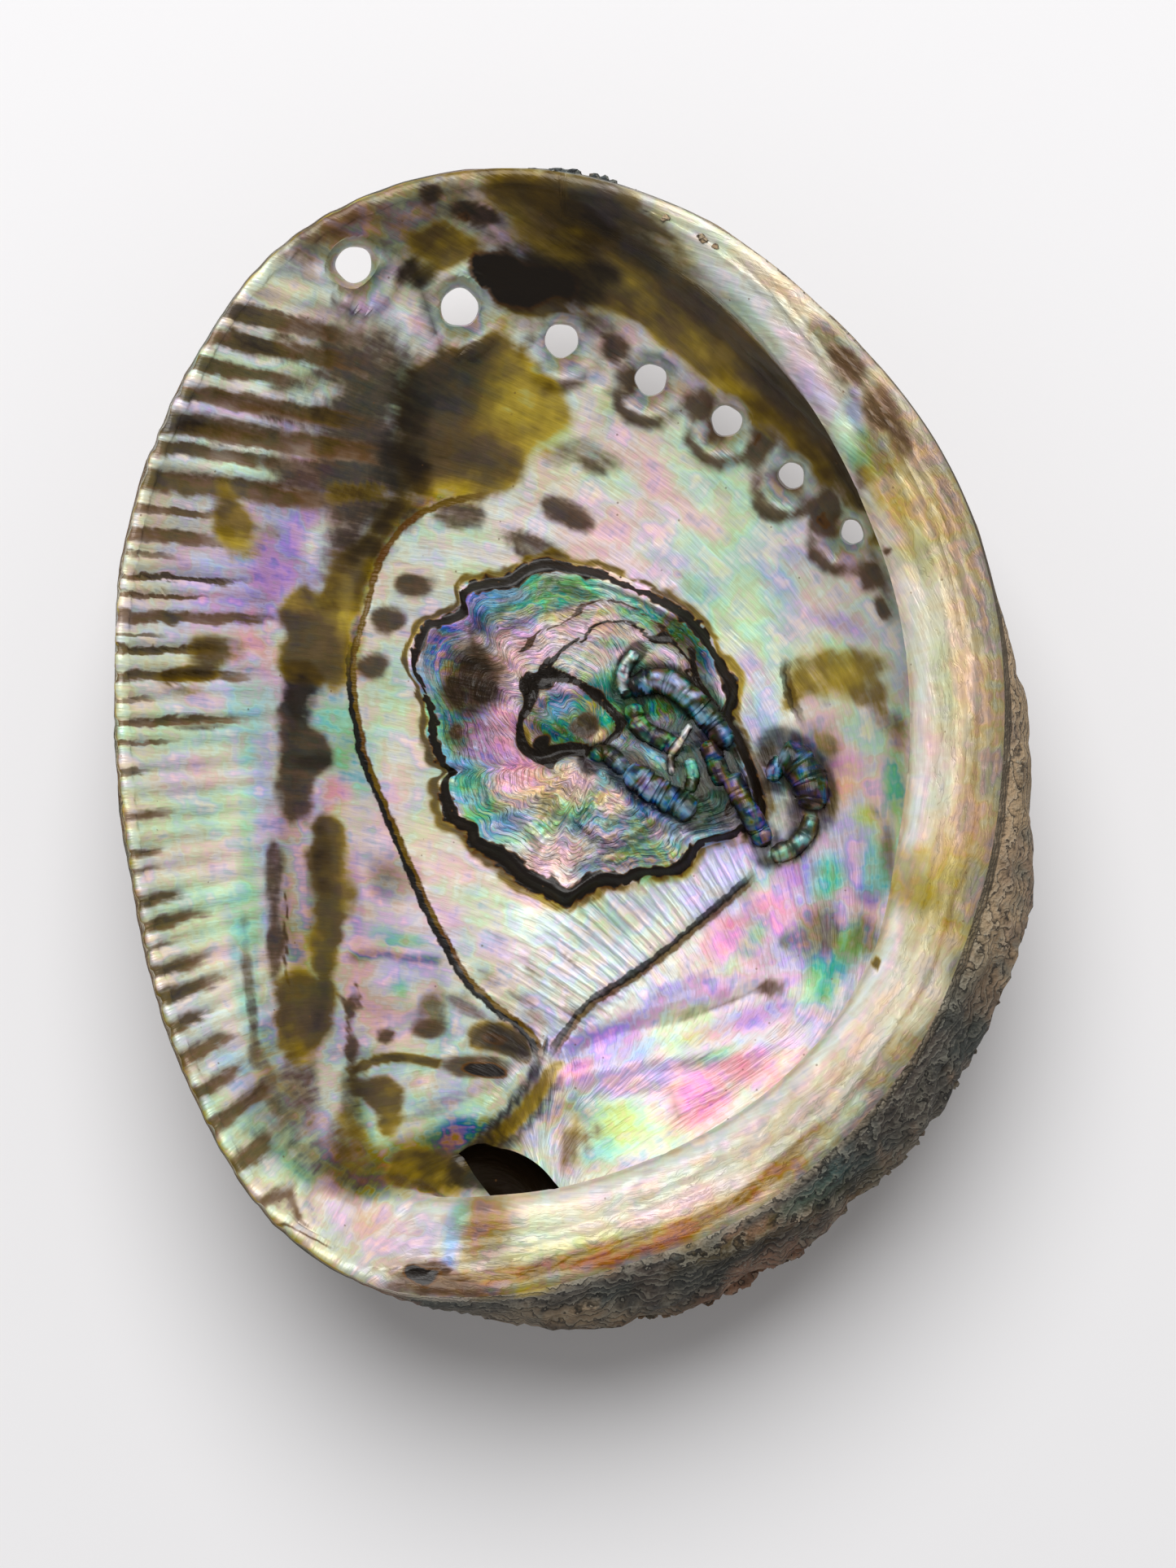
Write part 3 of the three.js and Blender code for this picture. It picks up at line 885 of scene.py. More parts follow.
@dataclass(frozen=True)
class Worm:
    """A ribbed worm tube that lies on the nacre, along a path in the view's frame, in three tones."""

    path_px: tuple[tuple[float, float], ...]
    radius_mm: float
    tones: tuple[Tone, Tone, Tone]
    rib_mm: float = 1.1
    rib_depth: float = 0.16
    raised: float = 0.3
    start: float = 0.7
    end: float = 0.7
    sides: int = 16

    def course(self, ground: BVHTree) -> tuple[Array, Array]:
        """Carries its path down to the ground.

        Args:
            ground: the shell's surface from its pole, in metres.

        Returns:
            Evenly spaced points, and the ground's direction at each, eased along the path.
        """
        path = smooth_path(list(self.path_px), 12)
        right, up, back = VIEW.axes()
        across = (path[:, :1] - VIEW.wide_px / 2) / VIEW.focal_px
        down = (path[:, 1:] - VIEW.high_px / 2) / VIEW.focal_px
        eye = Vector((VIEW.eye() - POLE_SHIFT_MM) * MM)
        hits = [ground.ray_cast(eye, Vector(ray)) for ray in across * right - down * up - back]
        both = np.array([[*hit[0] / MM, *hit[1]] for hit in hits])
        for _ in range(3):
            wide = np.vstack([both[:1], both[:1], both, both[-1:], both[-1:]])
            both = sum(wide[k:k + len(both)] for k in range(5)) / 5
        run = np.concatenate([[0], np.cumsum(np.linalg.norm(np.diff(both[:, :3], axis=0), axis=1))])
        even = np.linspace(0, run[-1], max(12, int(run[-1] / 0.25)))
        both = np.column_stack([np.interp(even, run, column) for column in both.T])
        return both[:, :3], both[:, 3:] / np.linalg.norm(both[:, 3:], axis=1)[:, None]

    def build(self, ground: BVHTree) -> "Closed":
        """Sweeps a ringed, rounded section along the course.

        Args:
            ground: the shell's surface from its pole, in metres.

        Returns:
            The tube's closed surface.
        """
        points, normals = self.course(ground)
        run = np.concatenate([[0], np.cumsum(np.linalg.norm(np.diff(points, axis=0), axis=1))])
        tangent = np.gradient(points, axis=0)
        tangent /= np.linalg.norm(tangent, axis=1)[:, None]
        side = np.cross(tangent, normals)
        side /= np.linalg.norm(side, axis=1)[:, None]
        rise = np.cross(side, tangent)
        caps = np.ones(len(run))
        for gap, share in ((run, self.start), (run[-1] - run, self.end)):
            reach = np.clip(gap / (self.radius_mm * 0.9), 0, 1)
            rounding = np.sqrt(np.clip(1 - (1 - np.clip(reach * 3, 0.04, 1)) ** 2, 0.02, 1))
            caps *= lerp(share, 1, reach) * rounding
        ring = np.mod((run + 0.35 * self.rib_mm * np.sin(run * 1.9)) / self.rib_mm, 1)
        radius = self.radius_mm * caps * (1 - self.rib_depth * (1 - ring) ** 2)
        turn = np.arange(self.sides) / self.sides * 2 * math.pi
        wave = 1 + 0.05 * np.sin(3 * turn[None, :] + run[:, None] * 1.7)
        rings = (
            (points + normals * self.radius_mm * self.raised)[:, None]
            + (radius[:, None] * wave * np.cos(turn))[..., None] * side[:, None]
            + (0.85 * radius[:, None] * wave * np.sin(turn))[..., None] * rise[:, None]
        )
        return Closed.from_rings(rings, rings[0].mean(0), rings[-1].mean(0), Part.WORM)

    def paint(self, s: "Surface") -> None:
        """Gives the tube its tones, with painted shade in its grooves and down its sides and painted shadow
        round it.
        """
        path = smooth_path(list(self.path_px), 6)
        radius_px = self.radius_mm / FLOOR_PX_MM
        margin = 3 * radius_px
        near = np.all((s.places > path.min(0) - margin) & (s.places < path.max(0) + margin), axis=1)
        gap, along, _ = nearest_on_path(s.places, path)
        share = gap / radius_px
        at = s.on(Part.WORM) * near * (share < 1.35)
        run = along * FLOOR_PX_MM
        ring = np.mod((run + 0.35 * self.rib_mm * np.sin(run * 1.9)) / self.rib_mm, 1)
        grain = Grain(31).at(s.places, 12.0, 2)
        s.tint(self.tones[0], at)
        s.tint(self.tones[1], at * smoothstep(np.sin(run * 2.3 + 2 * grain), -0.1, 0.6))
        s.tint(self.tones[2], at * hump(share - 0.25 + 0.25 * grain, 0.4))
        # Painted shade: darker in each rib's groove and down the tube's sides.
        dark = np.maximum(0.6 * hump(ring - 0.02, 0.25), smoothstep(share + 0.2 * grain, 0.5, 0.95))
        dark = np.maximum(dark, 0.25 + 0.5 * smoothstep(grain, -0.2, 0.7))
        s.shade = np.where(at > 0, np.clip(dark, 0, 0.95), s.shade)
        s.stains *= (1 - at)[:, None]
        # Painted contact shadow on the nacre round the tube.
        contact_shadow = (1 - at) * near * s.on(Part.SCAR, Part.INSIDE)
        s.shade = np.maximum(s.shade, 0.85 * contact_shadow * (1 - smoothstep(share, 1.0, 1.75)))


@dataclass(frozen=True)
class Crumbs:
    """A run of small lumps of crust on the outside, strewn along a path in the view's frame."""

    path_px: tuple[tuple[float, float], ...]
    level_mm: float
    count: int
    radius_mm: tuple[float, float]
    tone: Tone
    spread_px: float = 6.0
    seed: int = 1

    def places(self) -> tuple[Array, Array]:
        """Where the lumps lie in the view, and their radii in millimetres."""
        draw = np.random.default_rng(self.seed)
        path = smooth_path(list(self.path_px), 8)
        at = path[draw.integers(0, len(path), self.count)] + draw.normal(0, self.spread_px, (self.count, 2))
        return at, draw.uniform(*self.radius_mm, self.count)

    def build(self, ground: BVHTree) -> list["Closed"]:
        """Makes the lumps.

        Args:
            ground: the shell's surface from its pole, in metres.

        Returns:
            A closed surface for each, a rough ball half sunk into the nearest ground.
        """
        pieces = []
        lift = np.linspace(0, math.pi, 8)[1:-1, None]
        turn = np.arange(9)[None, :] / 9 * 2 * math.pi
        out = np.sin(lift)
        ball = np.stack([out * np.cos(turn), out * np.sin(turn), np.cos(lift) + 0 * turn], axis=-1)
        for place, radius in zip(*self.places()):
            plan = VIEW.on_level(place[None, :], self.level_mm)[0]
            found = ground.find_nearest(Vector((np.append(plan, self.level_mm) - POLE_SHIFT_MM) * MM))
            centre = np.array(found[0]) / MM
            rough = 1 + 0.3 * Grain(33).at(ball.reshape(-1, 3) + centre, 0.8, 2).reshape(ball.shape[:2])
            rings = centre + radius * ball * rough[..., None] * np.array([1.1, 0.9, 0.9])
            pieces.append(Closed.from_rings(rings, rings[0].mean(0), rings[-1].mean(0), Part.OUTSIDE))
        return pieces

    def paint(self, s: "Surface") -> None:
        """Gives the lumps their tone, each a little lighter or darker."""
        outside = s.on(Part.OUTSIDE) * (s.points_mm[:, 2] > 8)
        for k, (place, radius) in enumerate(zip(*self.places())):
            gap = np.hypot(*(s.places - place).T) * FLOOR_PX_MM / radius
            cover = 0.85 * outside * (1 - smoothstep(gap, 0.9, 1.6))
            s.tint(self.tone, cover)
            s.deepen(cover, 0.62 + 0.13 * (k % 4))


@dataclass(frozen=True)
class Band:
    """A dark band along a cord of the outer lip: its start on the lip, half its width and its length."""

    level_px: float
    half_px: float
    length_px: float
    strength: float = 1.0


@dataclass(frozen=True)
class Cords:
    """The spiral cords that cross the outer lip, laid out by the place where each meets the lip."""

    levels_px: tuple[float, ...] = (310, 430, 560, 660, 800, 950, 1080, 1200, 1320, 1430, 1500, 1560)
    lip_px: tuple[float, ...] = (335, 243, 190, 160, 141, 145, 160, 185, 225, 290, 350, 430)
    slopes: tuple[float, ...] = (0.24, 0.2, 0.14, 0.08, 0.0, -0.06, -0.16, -0.3, -0.55, -0.9, -1.1, -1.2)
    pitch_px: float = 31.0
    bands: tuple[Band, ...] = (
        Band(382, 9, 150), Band(412, 10, 190), Band(446, 9, 120), Band(480, 10, 240), Band(520, 15, 330),
        Band(548, 10, 180, 0.8), Band(588, 13, 270), Band(624, 4.8, 120, 0.8), Band(655, 8, 130),
        Band(680, 3.2, 60, 0.6), Band(708, 4, 160), Band(730, 3.2, 110, 0.8), Band(756, 7.2, 200),
        Band(780, 3.2, 60, 0.6), Band(799, 4.8, 130), Band(832, 6.4, 170), Band(860, 3.2, 60, 0.6),
        Band(888, 4.8, 160, 0.9), Band(912, 3.2, 80, 0.7), Band(950, 3.2, 50, 0.6), Band(1004, 4, 70, 0.8),
        Band(1050, 3.2, 50, 0.7), Band(1072, 3.2, 40, 0.6), Band(1110, 5.6, 62, 0.9),
        Band(1140, 5.6, 78, 0.95), Band(1168, 3.2, 40, 0.6), Band(1196, 6, 72, 0.9),
        Band(1229, 6.4, 84, 1.0), Band(1266, 5.6, 66, 0.9), Band(1304, 6.4, 68, 0.95),
        Band(1345, 5.6, 62, 0.9), Band(1385, 6.4, 80, 1.0), Band(1430, 6, 62, 0.9), Band(1475, 5, 56, 0.8),
        Band(1510, 4.4, 46, 0.7),
    )

    def level(self, places: Array) -> tuple[Array, Array]:
        """Follows the cord through each place out to the lip.

        Args:
            places: places in the view, one row each.

        Returns:
            The level at which the cord meets the lip, and how far in from the lip the place is.
        """
        level = places[:, 1].copy()
        for _ in range(4):
            slope = np.interp(level, self.levels_px, self.slopes)
            level = places[:, 1] - slope * (places[:, 0] - np.interp(level, self.levels_px, self.lip_px))
        return level, places[:, 0] - np.interp(level, self.levels_px, self.lip_px)

    def banding(self, places: Array, grain: Array) -> Array:
        """How dark the bands make each place: full along their middles, fading at sides and inner ends."""
        level, inset = self.level(places)
        level = level + 3.0 * grain
        dark = np.zeros(len(places))
        for band in self.bands:
            side = 1 - smoothstep(np.abs(level - band.level_px) / band.half_px, 0.45, 1.45)
            end = 1 - smoothstep(inset * (1 + 0.2 * grain) / band.length_px, 0.6, 1.3)
            dark = np.maximum(dark, band.strength * side * end)
        return dark

    def tables(self, per_table: int = 7) -> list[list[tuple[float, float, float]]]:
        """The bands as stops against the level: the level, how dark it is there, and the band's length.

        Args:
            per_table: how many bands one table holds.

        Returns:
            Tables of stops, each dark only between its first and its last stop.
        """
        stops = []
        for band in self.bands:
            wide, top = (2.6, 0.3) if band.level_px > 990 else (1.5, 0.55)
            made = [(band.level_px + side * band.half_px, dark * band.strength, band.length_px)
                    for side, dark in ((-wide, 0), (-top, 1), (top, 1), (wide, 0))]
            if stops and stops[-1][0] > made[0][0]:
                middle = (stops[-1][0] + made[0][0]) / 2
                stops[-1] = (middle, *stops[-1][1:])
                made[0] = (middle + 0.01, *made[0][1:])
            stops += made
        step = 4 * per_table
        return [stops[k:k + step] for k in range(0, len(stops), step)]

    def folds(self, places: Array) -> Array:
        """The corrugation: a wave across the cords, with a trough in every dark band, in millimetres."""
        level, inset = self.level(places)
        fade = 1 - smoothstep(inset, 60, 260)
        wave = 0.26 * np.sin(level * 2 * math.pi / self.pitch_px) * fade
        return wave - 0.5 * self.banding(places, np.zeros(len(places)))


@dataclass(frozen=True)
class Seam:
    """A mantle line: the dark organic edge where one layer of nacre ends on another."""

    path_px: tuple[tuple[float, float], ...]
    width_px: float
    layer_side: int
    core_from: float = 0.0

    def gap(self, places: Array) -> tuple[Array, Array, Array]:
        """The line's signed distance, positive on the layer's side, and its and its dark core's strength."""
        path = smooth_path(list(self.path_px))
        gap, along, side = nearest_on_path(places, path)
        length = np.hypot(*np.diff(path, axis=0).T).sum()
        ends = smoothstep(along, 2, 45) * smoothstep(length - along, 2, 30)
        core = ends * smoothstep(along / length, self.core_from - 0.06, self.core_from + 0.06)
        return gap * side * self.layer_side, ends, core


SCAR_TERRACE = ((661, 833), (667, 818), (682, 807), (694, 796), (708, 786), (717, 788), (723, 777),
                (732, 768), (749, 764), (770, 764), (787, 773), (796, 783), (808, 788), (826, 789),
                (837, 801), (849, 815), (843, 827), (858, 842), (875, 865))
SCAR_STEP = ((640, 800), (652, 790), (664, 775), (680, 771), (705, 757), (717, 745), (735, 738), (755, 739),
             (776, 745), (793, 757), (817, 771))
SCAR_BLOB = ((655, 836), (676, 831), (705, 836), (723, 848), (740, 862), (758, 883), (759, 900), (749, 909),
             (735, 924), (717, 921), (688, 924), (667, 931), (650, 924), (641, 909), (639, 889), (647, 871),
             (652, 853), (655, 836))


@dataclass(frozen=True)
class Relief:
    """Heights of the fine forms over the bowl's smooth walls, outwards from the shell, in millimetres."""

    bowl: Bowl
    holes: Holes
    spire: Spire
    cords: Cords
    scar_height: float = 1.55
    growth_pitch: float = 13.0
    growth_height: float = 0.55
    lump_height: float = 0.6
    margin_ridge: float = 0.9
    scar_ridges: tuple[Ridge, ...] = (
        Ridge(SCAR_TERRACE, 14, 0.42, lean=1),
        Ridge(SCAR_STEP, 9, 0.26, lean=1),
        Ridge(((560, 790), (585, 768), (600, 760), (612, 742), (640, 735), (676, 722), (705, 720),
              (740, 728)), 8, 0.2, lean=1),
        Ridge(SCAR_BLOB, 11, -0.5),
        Ridge(((664, 972), (676, 985), (690, 998), (705, 1003), (722, 992), (732, 976)), 7, 0.35, lean=-1),
        Ridge(((700, 1003), (722, 1022), (748, 1035), (775, 1030), (800, 1012), (826, 1015), (838, 1040)),
              8, 0.4, lean=-1),
        Ridge(((660, 940), (690, 958), (706, 985), (736, 1000), (768, 1004)), 8, 0.3, lean=-1),
    )
    floor_ridges: tuple[Ridge, ...] = (
        Ridge(((662, 1318), (640, 1345), (612, 1378), (585, 1412), (566, 1440)), 22, 1.5),
        Ridge(((700, 1262), (740, 1225), (790, 1190), (840, 1150), (890, 1108), (930, 1072)), 16, 0.75,
              lean=-1),
        Ridge(((690, 1300), (760, 1270), (830, 1258), (890, 1238), (950, 1212)), 20, -0.5),
        Ridge(((680, 1330), (740, 1316), (800, 1300), (870, 1296), (940, 1290)), 22, 0.5),
        Ridge(((690, 1362), (740, 1352), (800, 1346), (840, 1350)), 20, -0.4),
        Ridge(((560, 1320), (590, 1300), (625, 1296), (655, 1306)), 12, -0.4),
        Ridge(((430, 1310), (470, 1300), (510, 1298), (545, 1306)), 10, 0.3, lean=1),
    )

    def outside(self, x: Array, y: Array, z: Array, share: Array) -> Array:
        """Knobs, keel, boss, growth ridges, spiral cords, thin plates and lumps of the outside."""
        spire = self.spire
        boss = spire.boss_height * hump(np.hypot(spire.axis[0] - x, spire.axis[1] - y), spire.boss_radius)
        keel = self.holes.keel_height * hump(self.holes.keel_gap(x, y), self.holes.keel_width)
        raised = boss * (1 - smoothstep(share, 0.7, 0.95)) + self.holes.knobs(x, y) + keel
        growth = self.growth_height * np.sin(share * 2 * math.pi * 80 / self.growth_pitch + np.sin(x * 0.06))
        lumps = np.sin(x * 0.22 + 1.7 * np.sin(y * 0.13)) * np.sin(y * 0.19 + 1.3 * np.sin(x * 0.11))
        grown, turn = self.grown(x, y, z)
        points = np.column_stack([x, y, z])
        rough = Grain(5).at(points, 5.0, 3)
        cords = 0.16 * np.sin(turn * 46 + 0.6 * Grain(6).at(points, 14.0))
        plate = np.mod(grown / 3.1 + 0.35 * Grain(7).at(points, 11.0, 2), 1.0)
        plates = 0.42 * plate**3 * (0.4 + 0.6 * smoothstep(Grain(8).at(points, 18.0), -0.4, 0.5))
        fine = growth + self.lump_height * lumps + cords + plates + 0.3 * rough
        fine = fine * smoothstep(share, 0.05, 0.3)
        seen = smoothstep(share, 0.7, 0.85) * (1 - smoothstep(share, 0.96, 1))
        seen = seen * self.bowl.swelling(np.arctan2(y, x))
        laminated = 0.4 * np.sin(z * 1.8 + 2.2 * Grain(9).at(points, 8.0, 2))
        laminated = laminated + 0.5 * Grain(10).at(points, 2.2, 2)
        return raised + fine * (1 - smoothstep(share, 0.9, 1)) + laminated * seen

    def grown(self, x: Array, y: Array, z: Array) -> tuple[Array, Array]:
        """How far back from the lip a place outside grew, and the cord that it lies on.

        Args:
            x: positions along X from the pole.
            y: positions along Y.
            z: heights.

        Returns:
            Millimetres back from the lip, towards the spire and down the wall, and the cord's turn.
        """
        dx, dy = x - self.spire.axis[0], y - self.spire.axis[1]
        turn = np.arctan2(dy, dx)
        reach = np.hypot(dx, dy)
        fine = np.linspace(-math.pi, math.pi, 721)
        rim = self.bowl.outside(fine, np.ones_like(fine))[0]
        rx, ry = rim * np.cos(fine) - self.spire.axis[0], rim * np.sin(fine) - self.spire.axis[1]
        order = np.argsort(np.arctan2(ry, rx))
        far = np.interp(turn, np.arctan2(ry, rx)[order], np.hypot(rx, ry)[order], period=2 * math.pi)
        back = np.maximum(far - reach, 0) + (self.bowl.rim_height - z)
        return back, turn + 0.9 * np.log(np.maximum(reach, 2.0) / far)

    def margin(self, places: Array, r: Array, angle: Array) -> Array:
        """What the outer lip's whole inside shares: the soft fold and the folds of the cords."""
        outer = 1 - self.bowl.ledge_share(angle)
        ridge = self.margin_ridge * hump(np.abs(r - around(self.bowl.fold, angle)), 7)
        lumps = 0.2 * Grain(14).at(places, 120.0, 2) * (1 - 0.7 * self.bowl.ledge_share(angle))
        return outer * (ridge + self.cords.folds(places)) + lumps

    def shelf(self, places: Array, r: Array, angle: Array) -> Array:
        """Cord folds on the outer lip, long growth ridges and a rolled inner edge on the ledge."""
        ledge = self.bowl.ledge_share(angle)
        fold = around(self.bowl.fold, angle)
        from_fold = r - fold
        width = np.maximum(around(self.bowl.outline, angle) - fold, 1.0)
        wander = Grain(11).at(places, 90.0, 2)
        lines = 0.13 * np.sin(from_fold * 3.4 + 1.6 * wander) + 0.07 * np.sin(from_fold * 8.1 + 2.4 * wander)
        calm = smoothstep(from_fold, 2.5, 6) * (1 - smoothstep(from_fold / width, 0.65, 0.9))
        roll = 0.35 * hump(from_fold - 1.8, 1.8) - 0.22 * hump(from_fold - 4.2, 1.4)
        pits = -0.12 * smoothstep(Grain(12).at(places, 12.0, 2), 0.55, 1.0)
        return self.margin(places, r, angle) + ledge * (lines * calm + roll + pits)

    def inside(self, places: Array, x: Array, y: Array) -> Array:
        """The trough under the keel, raised hole rims, seams, ribs, folds and wrinkles inside."""
        r, angle = np.hypot(x, y), np.arctan2(y, x)
        groove = 0.9 * hump(self.holes.keel_gap(x, y), self.holes.keel_width)
        rims = np.zeros(len(x))
        for hx, hy, waist in self.holes.open_mm:
            gap = np.hypot(x - hx, y - hy)
            rims = np.maximum(rims, 0.75 * hump(gap - waist - 2.5, 1.7))
        seams = np.zeros(len(x))
        for seam in SEAMS:
            gap, strength, _ = seam.gap(places)
            step = 0.32 * smoothstep(gap, -6, 6) * (1 - smoothstep(gap, 10, 160))
            seams += strength * (step - 0.3 * hump(gap, 9))
        wrinkles = 0.05 * Grain(13).at(np.column_stack([places[:, 0] / 4, places[:, 1]]), 9.0, 2)
        lift = self.margin(places, r, angle) - groove + rims + seams + wrinkles
        return lift + sum(line.lift(places) for line in self.floor_ridges)

    def scar(self, places: Array, edge_gap: Array) -> Array:
        """The scar's plate: terraces along its upper left edge, worm tracks, wrinkles and a rounded brow.

        Args:
            places: places in the view, one row each.
            edge_gap: distance in from the scar's edge, in millimetres.

        Returns:
            The height at each place.
        """
        brow = smoothstep(edge_gap, -self.bowl.scar_slope, 0.5)
        across = 0.62 * (places[:, 0] - 700) + 0.78 * (places[:, 1] - 900)
        wander = Grain(21).at(places, 42.0, 2)
        stair = (across + 16 * wander) / 17
        step = stair - np.floor(stair)
        terraces = 0.2 * smoothstep(step, 0.72, 1.0) * (1 - smoothstep(across, -70, -25))
        terraces = terraces * smoothstep(edge_gap, 0.3, 1.5)
        crumpled = smoothstep(Patch(Tone.INK, (745, 1010), (105, 48), 8).cover(places, wander), 0.2, 0.8)
        crumple = crumpled * (0.16 * Grain(22).at(places, 6.0, 2) + 0.2 * Grain(23).at(places, 26.0))
        lumps = 0.16 * Grain(24).at(places, 34.0, 2) * smoothstep(edge_gap, 0, 2)
        ridges = sum(line.lift(places) for line in self.scar_ridges) * smoothstep(edge_gap, 0, 0.6)
        edge_bead = 0.25 * hump(edge_gap - 0.9, 0.9)
        return self.scar_height * brow + terraces + crumple + lumps + edge_bead + ridges


SEAMS = (
    Seam(((612, 606), (570, 610), (530, 622), (500, 640), (476, 670), (460, 700), (446, 755), (433, 800),
         (432, 850), (440, 897), (446, 930), (470, 990), (500, 1060), (528, 1125), (548, 1160), (570, 1200),
         (610, 1240), (640, 1262), (658, 1285), (662, 1315)), 11, -1, 0.34),
    Seam(((671, 1319), (684, 1287), (702, 1259), (727, 1231), (759, 1212), (796, 1187), (827, 1162),
         (852, 1141), (890, 1109), (934, 1069)), 10, 1),
    Seam(((992, 906), (984, 886), (972, 858), (964, 825), (968, 800)), 8, 1),
)

DARK_WORM = (Tone.SLATE, Tone.TEAL, Tone.SLATE)
WORMS = (
    Worm(((770, 848), (790, 840), (808, 836), (828, 842), (844, 854), (862, 872), (882, 894), (898, 920)),
         2.2, (Tone.SLATE, Tone.TEAL, Tone.SKY), 1.5),
    Worm(((783, 800), (770, 816), (765, 836), (774, 860)),
         1.2, (Tone.SMOKE, Tone.AQUA, Tone.SILVER), 2.3, 0.08),
    Worm(((778, 862), (781, 884), (796, 901), (817, 911), (838, 926)),
         1.6, (Tone.TEAL, Tone.SEA, Tone.SLATE), 1.7),
    Worm(((726, 936), (741, 927), (756, 935), (769, 952)), 1.6, DARK_WORM, 1.0),
    Worm(((768, 944), (788, 960), (808, 973), (830, 985), (856, 1001)),
         2.4, (Tone.SLATE, Tone.BLUE, Tone.SKY), 1.1, 0.2, end=0.8),
    Worm(((850, 888), (838, 908), (824, 930), (826, 956)),
         0.6, (Tone.SMOKE, Tone.SILVER, Tone.CREAM), 2.0, 0.05),
    Worm(((866, 908), (880, 938), (888, 968)), 1.7, DARK_WORM, 1.3),
    Worm(((846, 930), (852, 954), (846, 976)), 1.1, (Tone.SLATE, Tone.SEA, Tone.AQUA), 1.4),
    Worm(((896, 950), (907, 974), (920, 998), (932, 1020), (943, 1042)),
         1.8, (Tone.SLATE, Tone.BLUE, Tone.SMOKE), 1.2, start=0.9, end=0.6),
    Worm(((958, 924), (974, 932), (990, 950), (998, 972), (995, 998)),
         3.0, (Tone.SLATE, Tone.BLUE, Tone.SLATE), 1.5, 0.12, start=0.8, end=0.7),
    Worm(((962, 930), (952, 946), (950, 962)), 1.5, (Tone.SLATE, Tone.TEAL, Tone.SKY), 1.2),
    Worm(((1000, 998), (991, 1024), (972, 1043), (944, 1053)),
         1.6, (Tone.SMOKE, Tone.TAN, Tone.AQUA), 1.4, 0.12),
)
CRUMBS = (
    Crumbs(((1256, 840), (1264, 900), (1268, 960), (1264, 1010)), 27, 22, (0.6, 1.4), Tone.TAN, 5, 1),
    Crumbs(((1262, 1010), (1256, 1080), (1246, 1160), (1232, 1230)), 27, 14, (0.4, 0.9), Tone.SMOKE, 6, 2),
    Crumbs(((1232, 1230), (1196, 1310), (1140, 1390), (1060, 1460)), 26, 24, (0.4, 0.9), Tone.MAUVE, 9, 3),
    Crumbs(((1040, 1480), (985, 1530), (940, 1562)), 26, 10, (0.5, 1.0), Tone.SMOKE, 6, 4),
    Crumbs(((975, 1545), (925, 1570), (870, 1592)), 27, 14, (0.8, 1.5), Tone.RUST, 5, 5),
    Crumbs(((870, 1592), (780, 1612), (660, 1622)), 27, 12, (0.3, 0.7), Tone.SMOKE, 5, 6),
    Crumbs(((440, 1580), (480, 1604), (520, 1618)), 30, 10, (0.4, 0.9), Tone.RUST, 5, 7),
    Crumbs(((654, 204), (700, 209), (740, 222), (800, 246)), 38.5, 16, (0.4, 1.1), Tone.SLATE, 4, 8),
    Crumbs(((800, 246), (850, 282), (900, 310)), 38.5, 8, (0.3, 0.7), Tone.TAN, 3, 9),
)


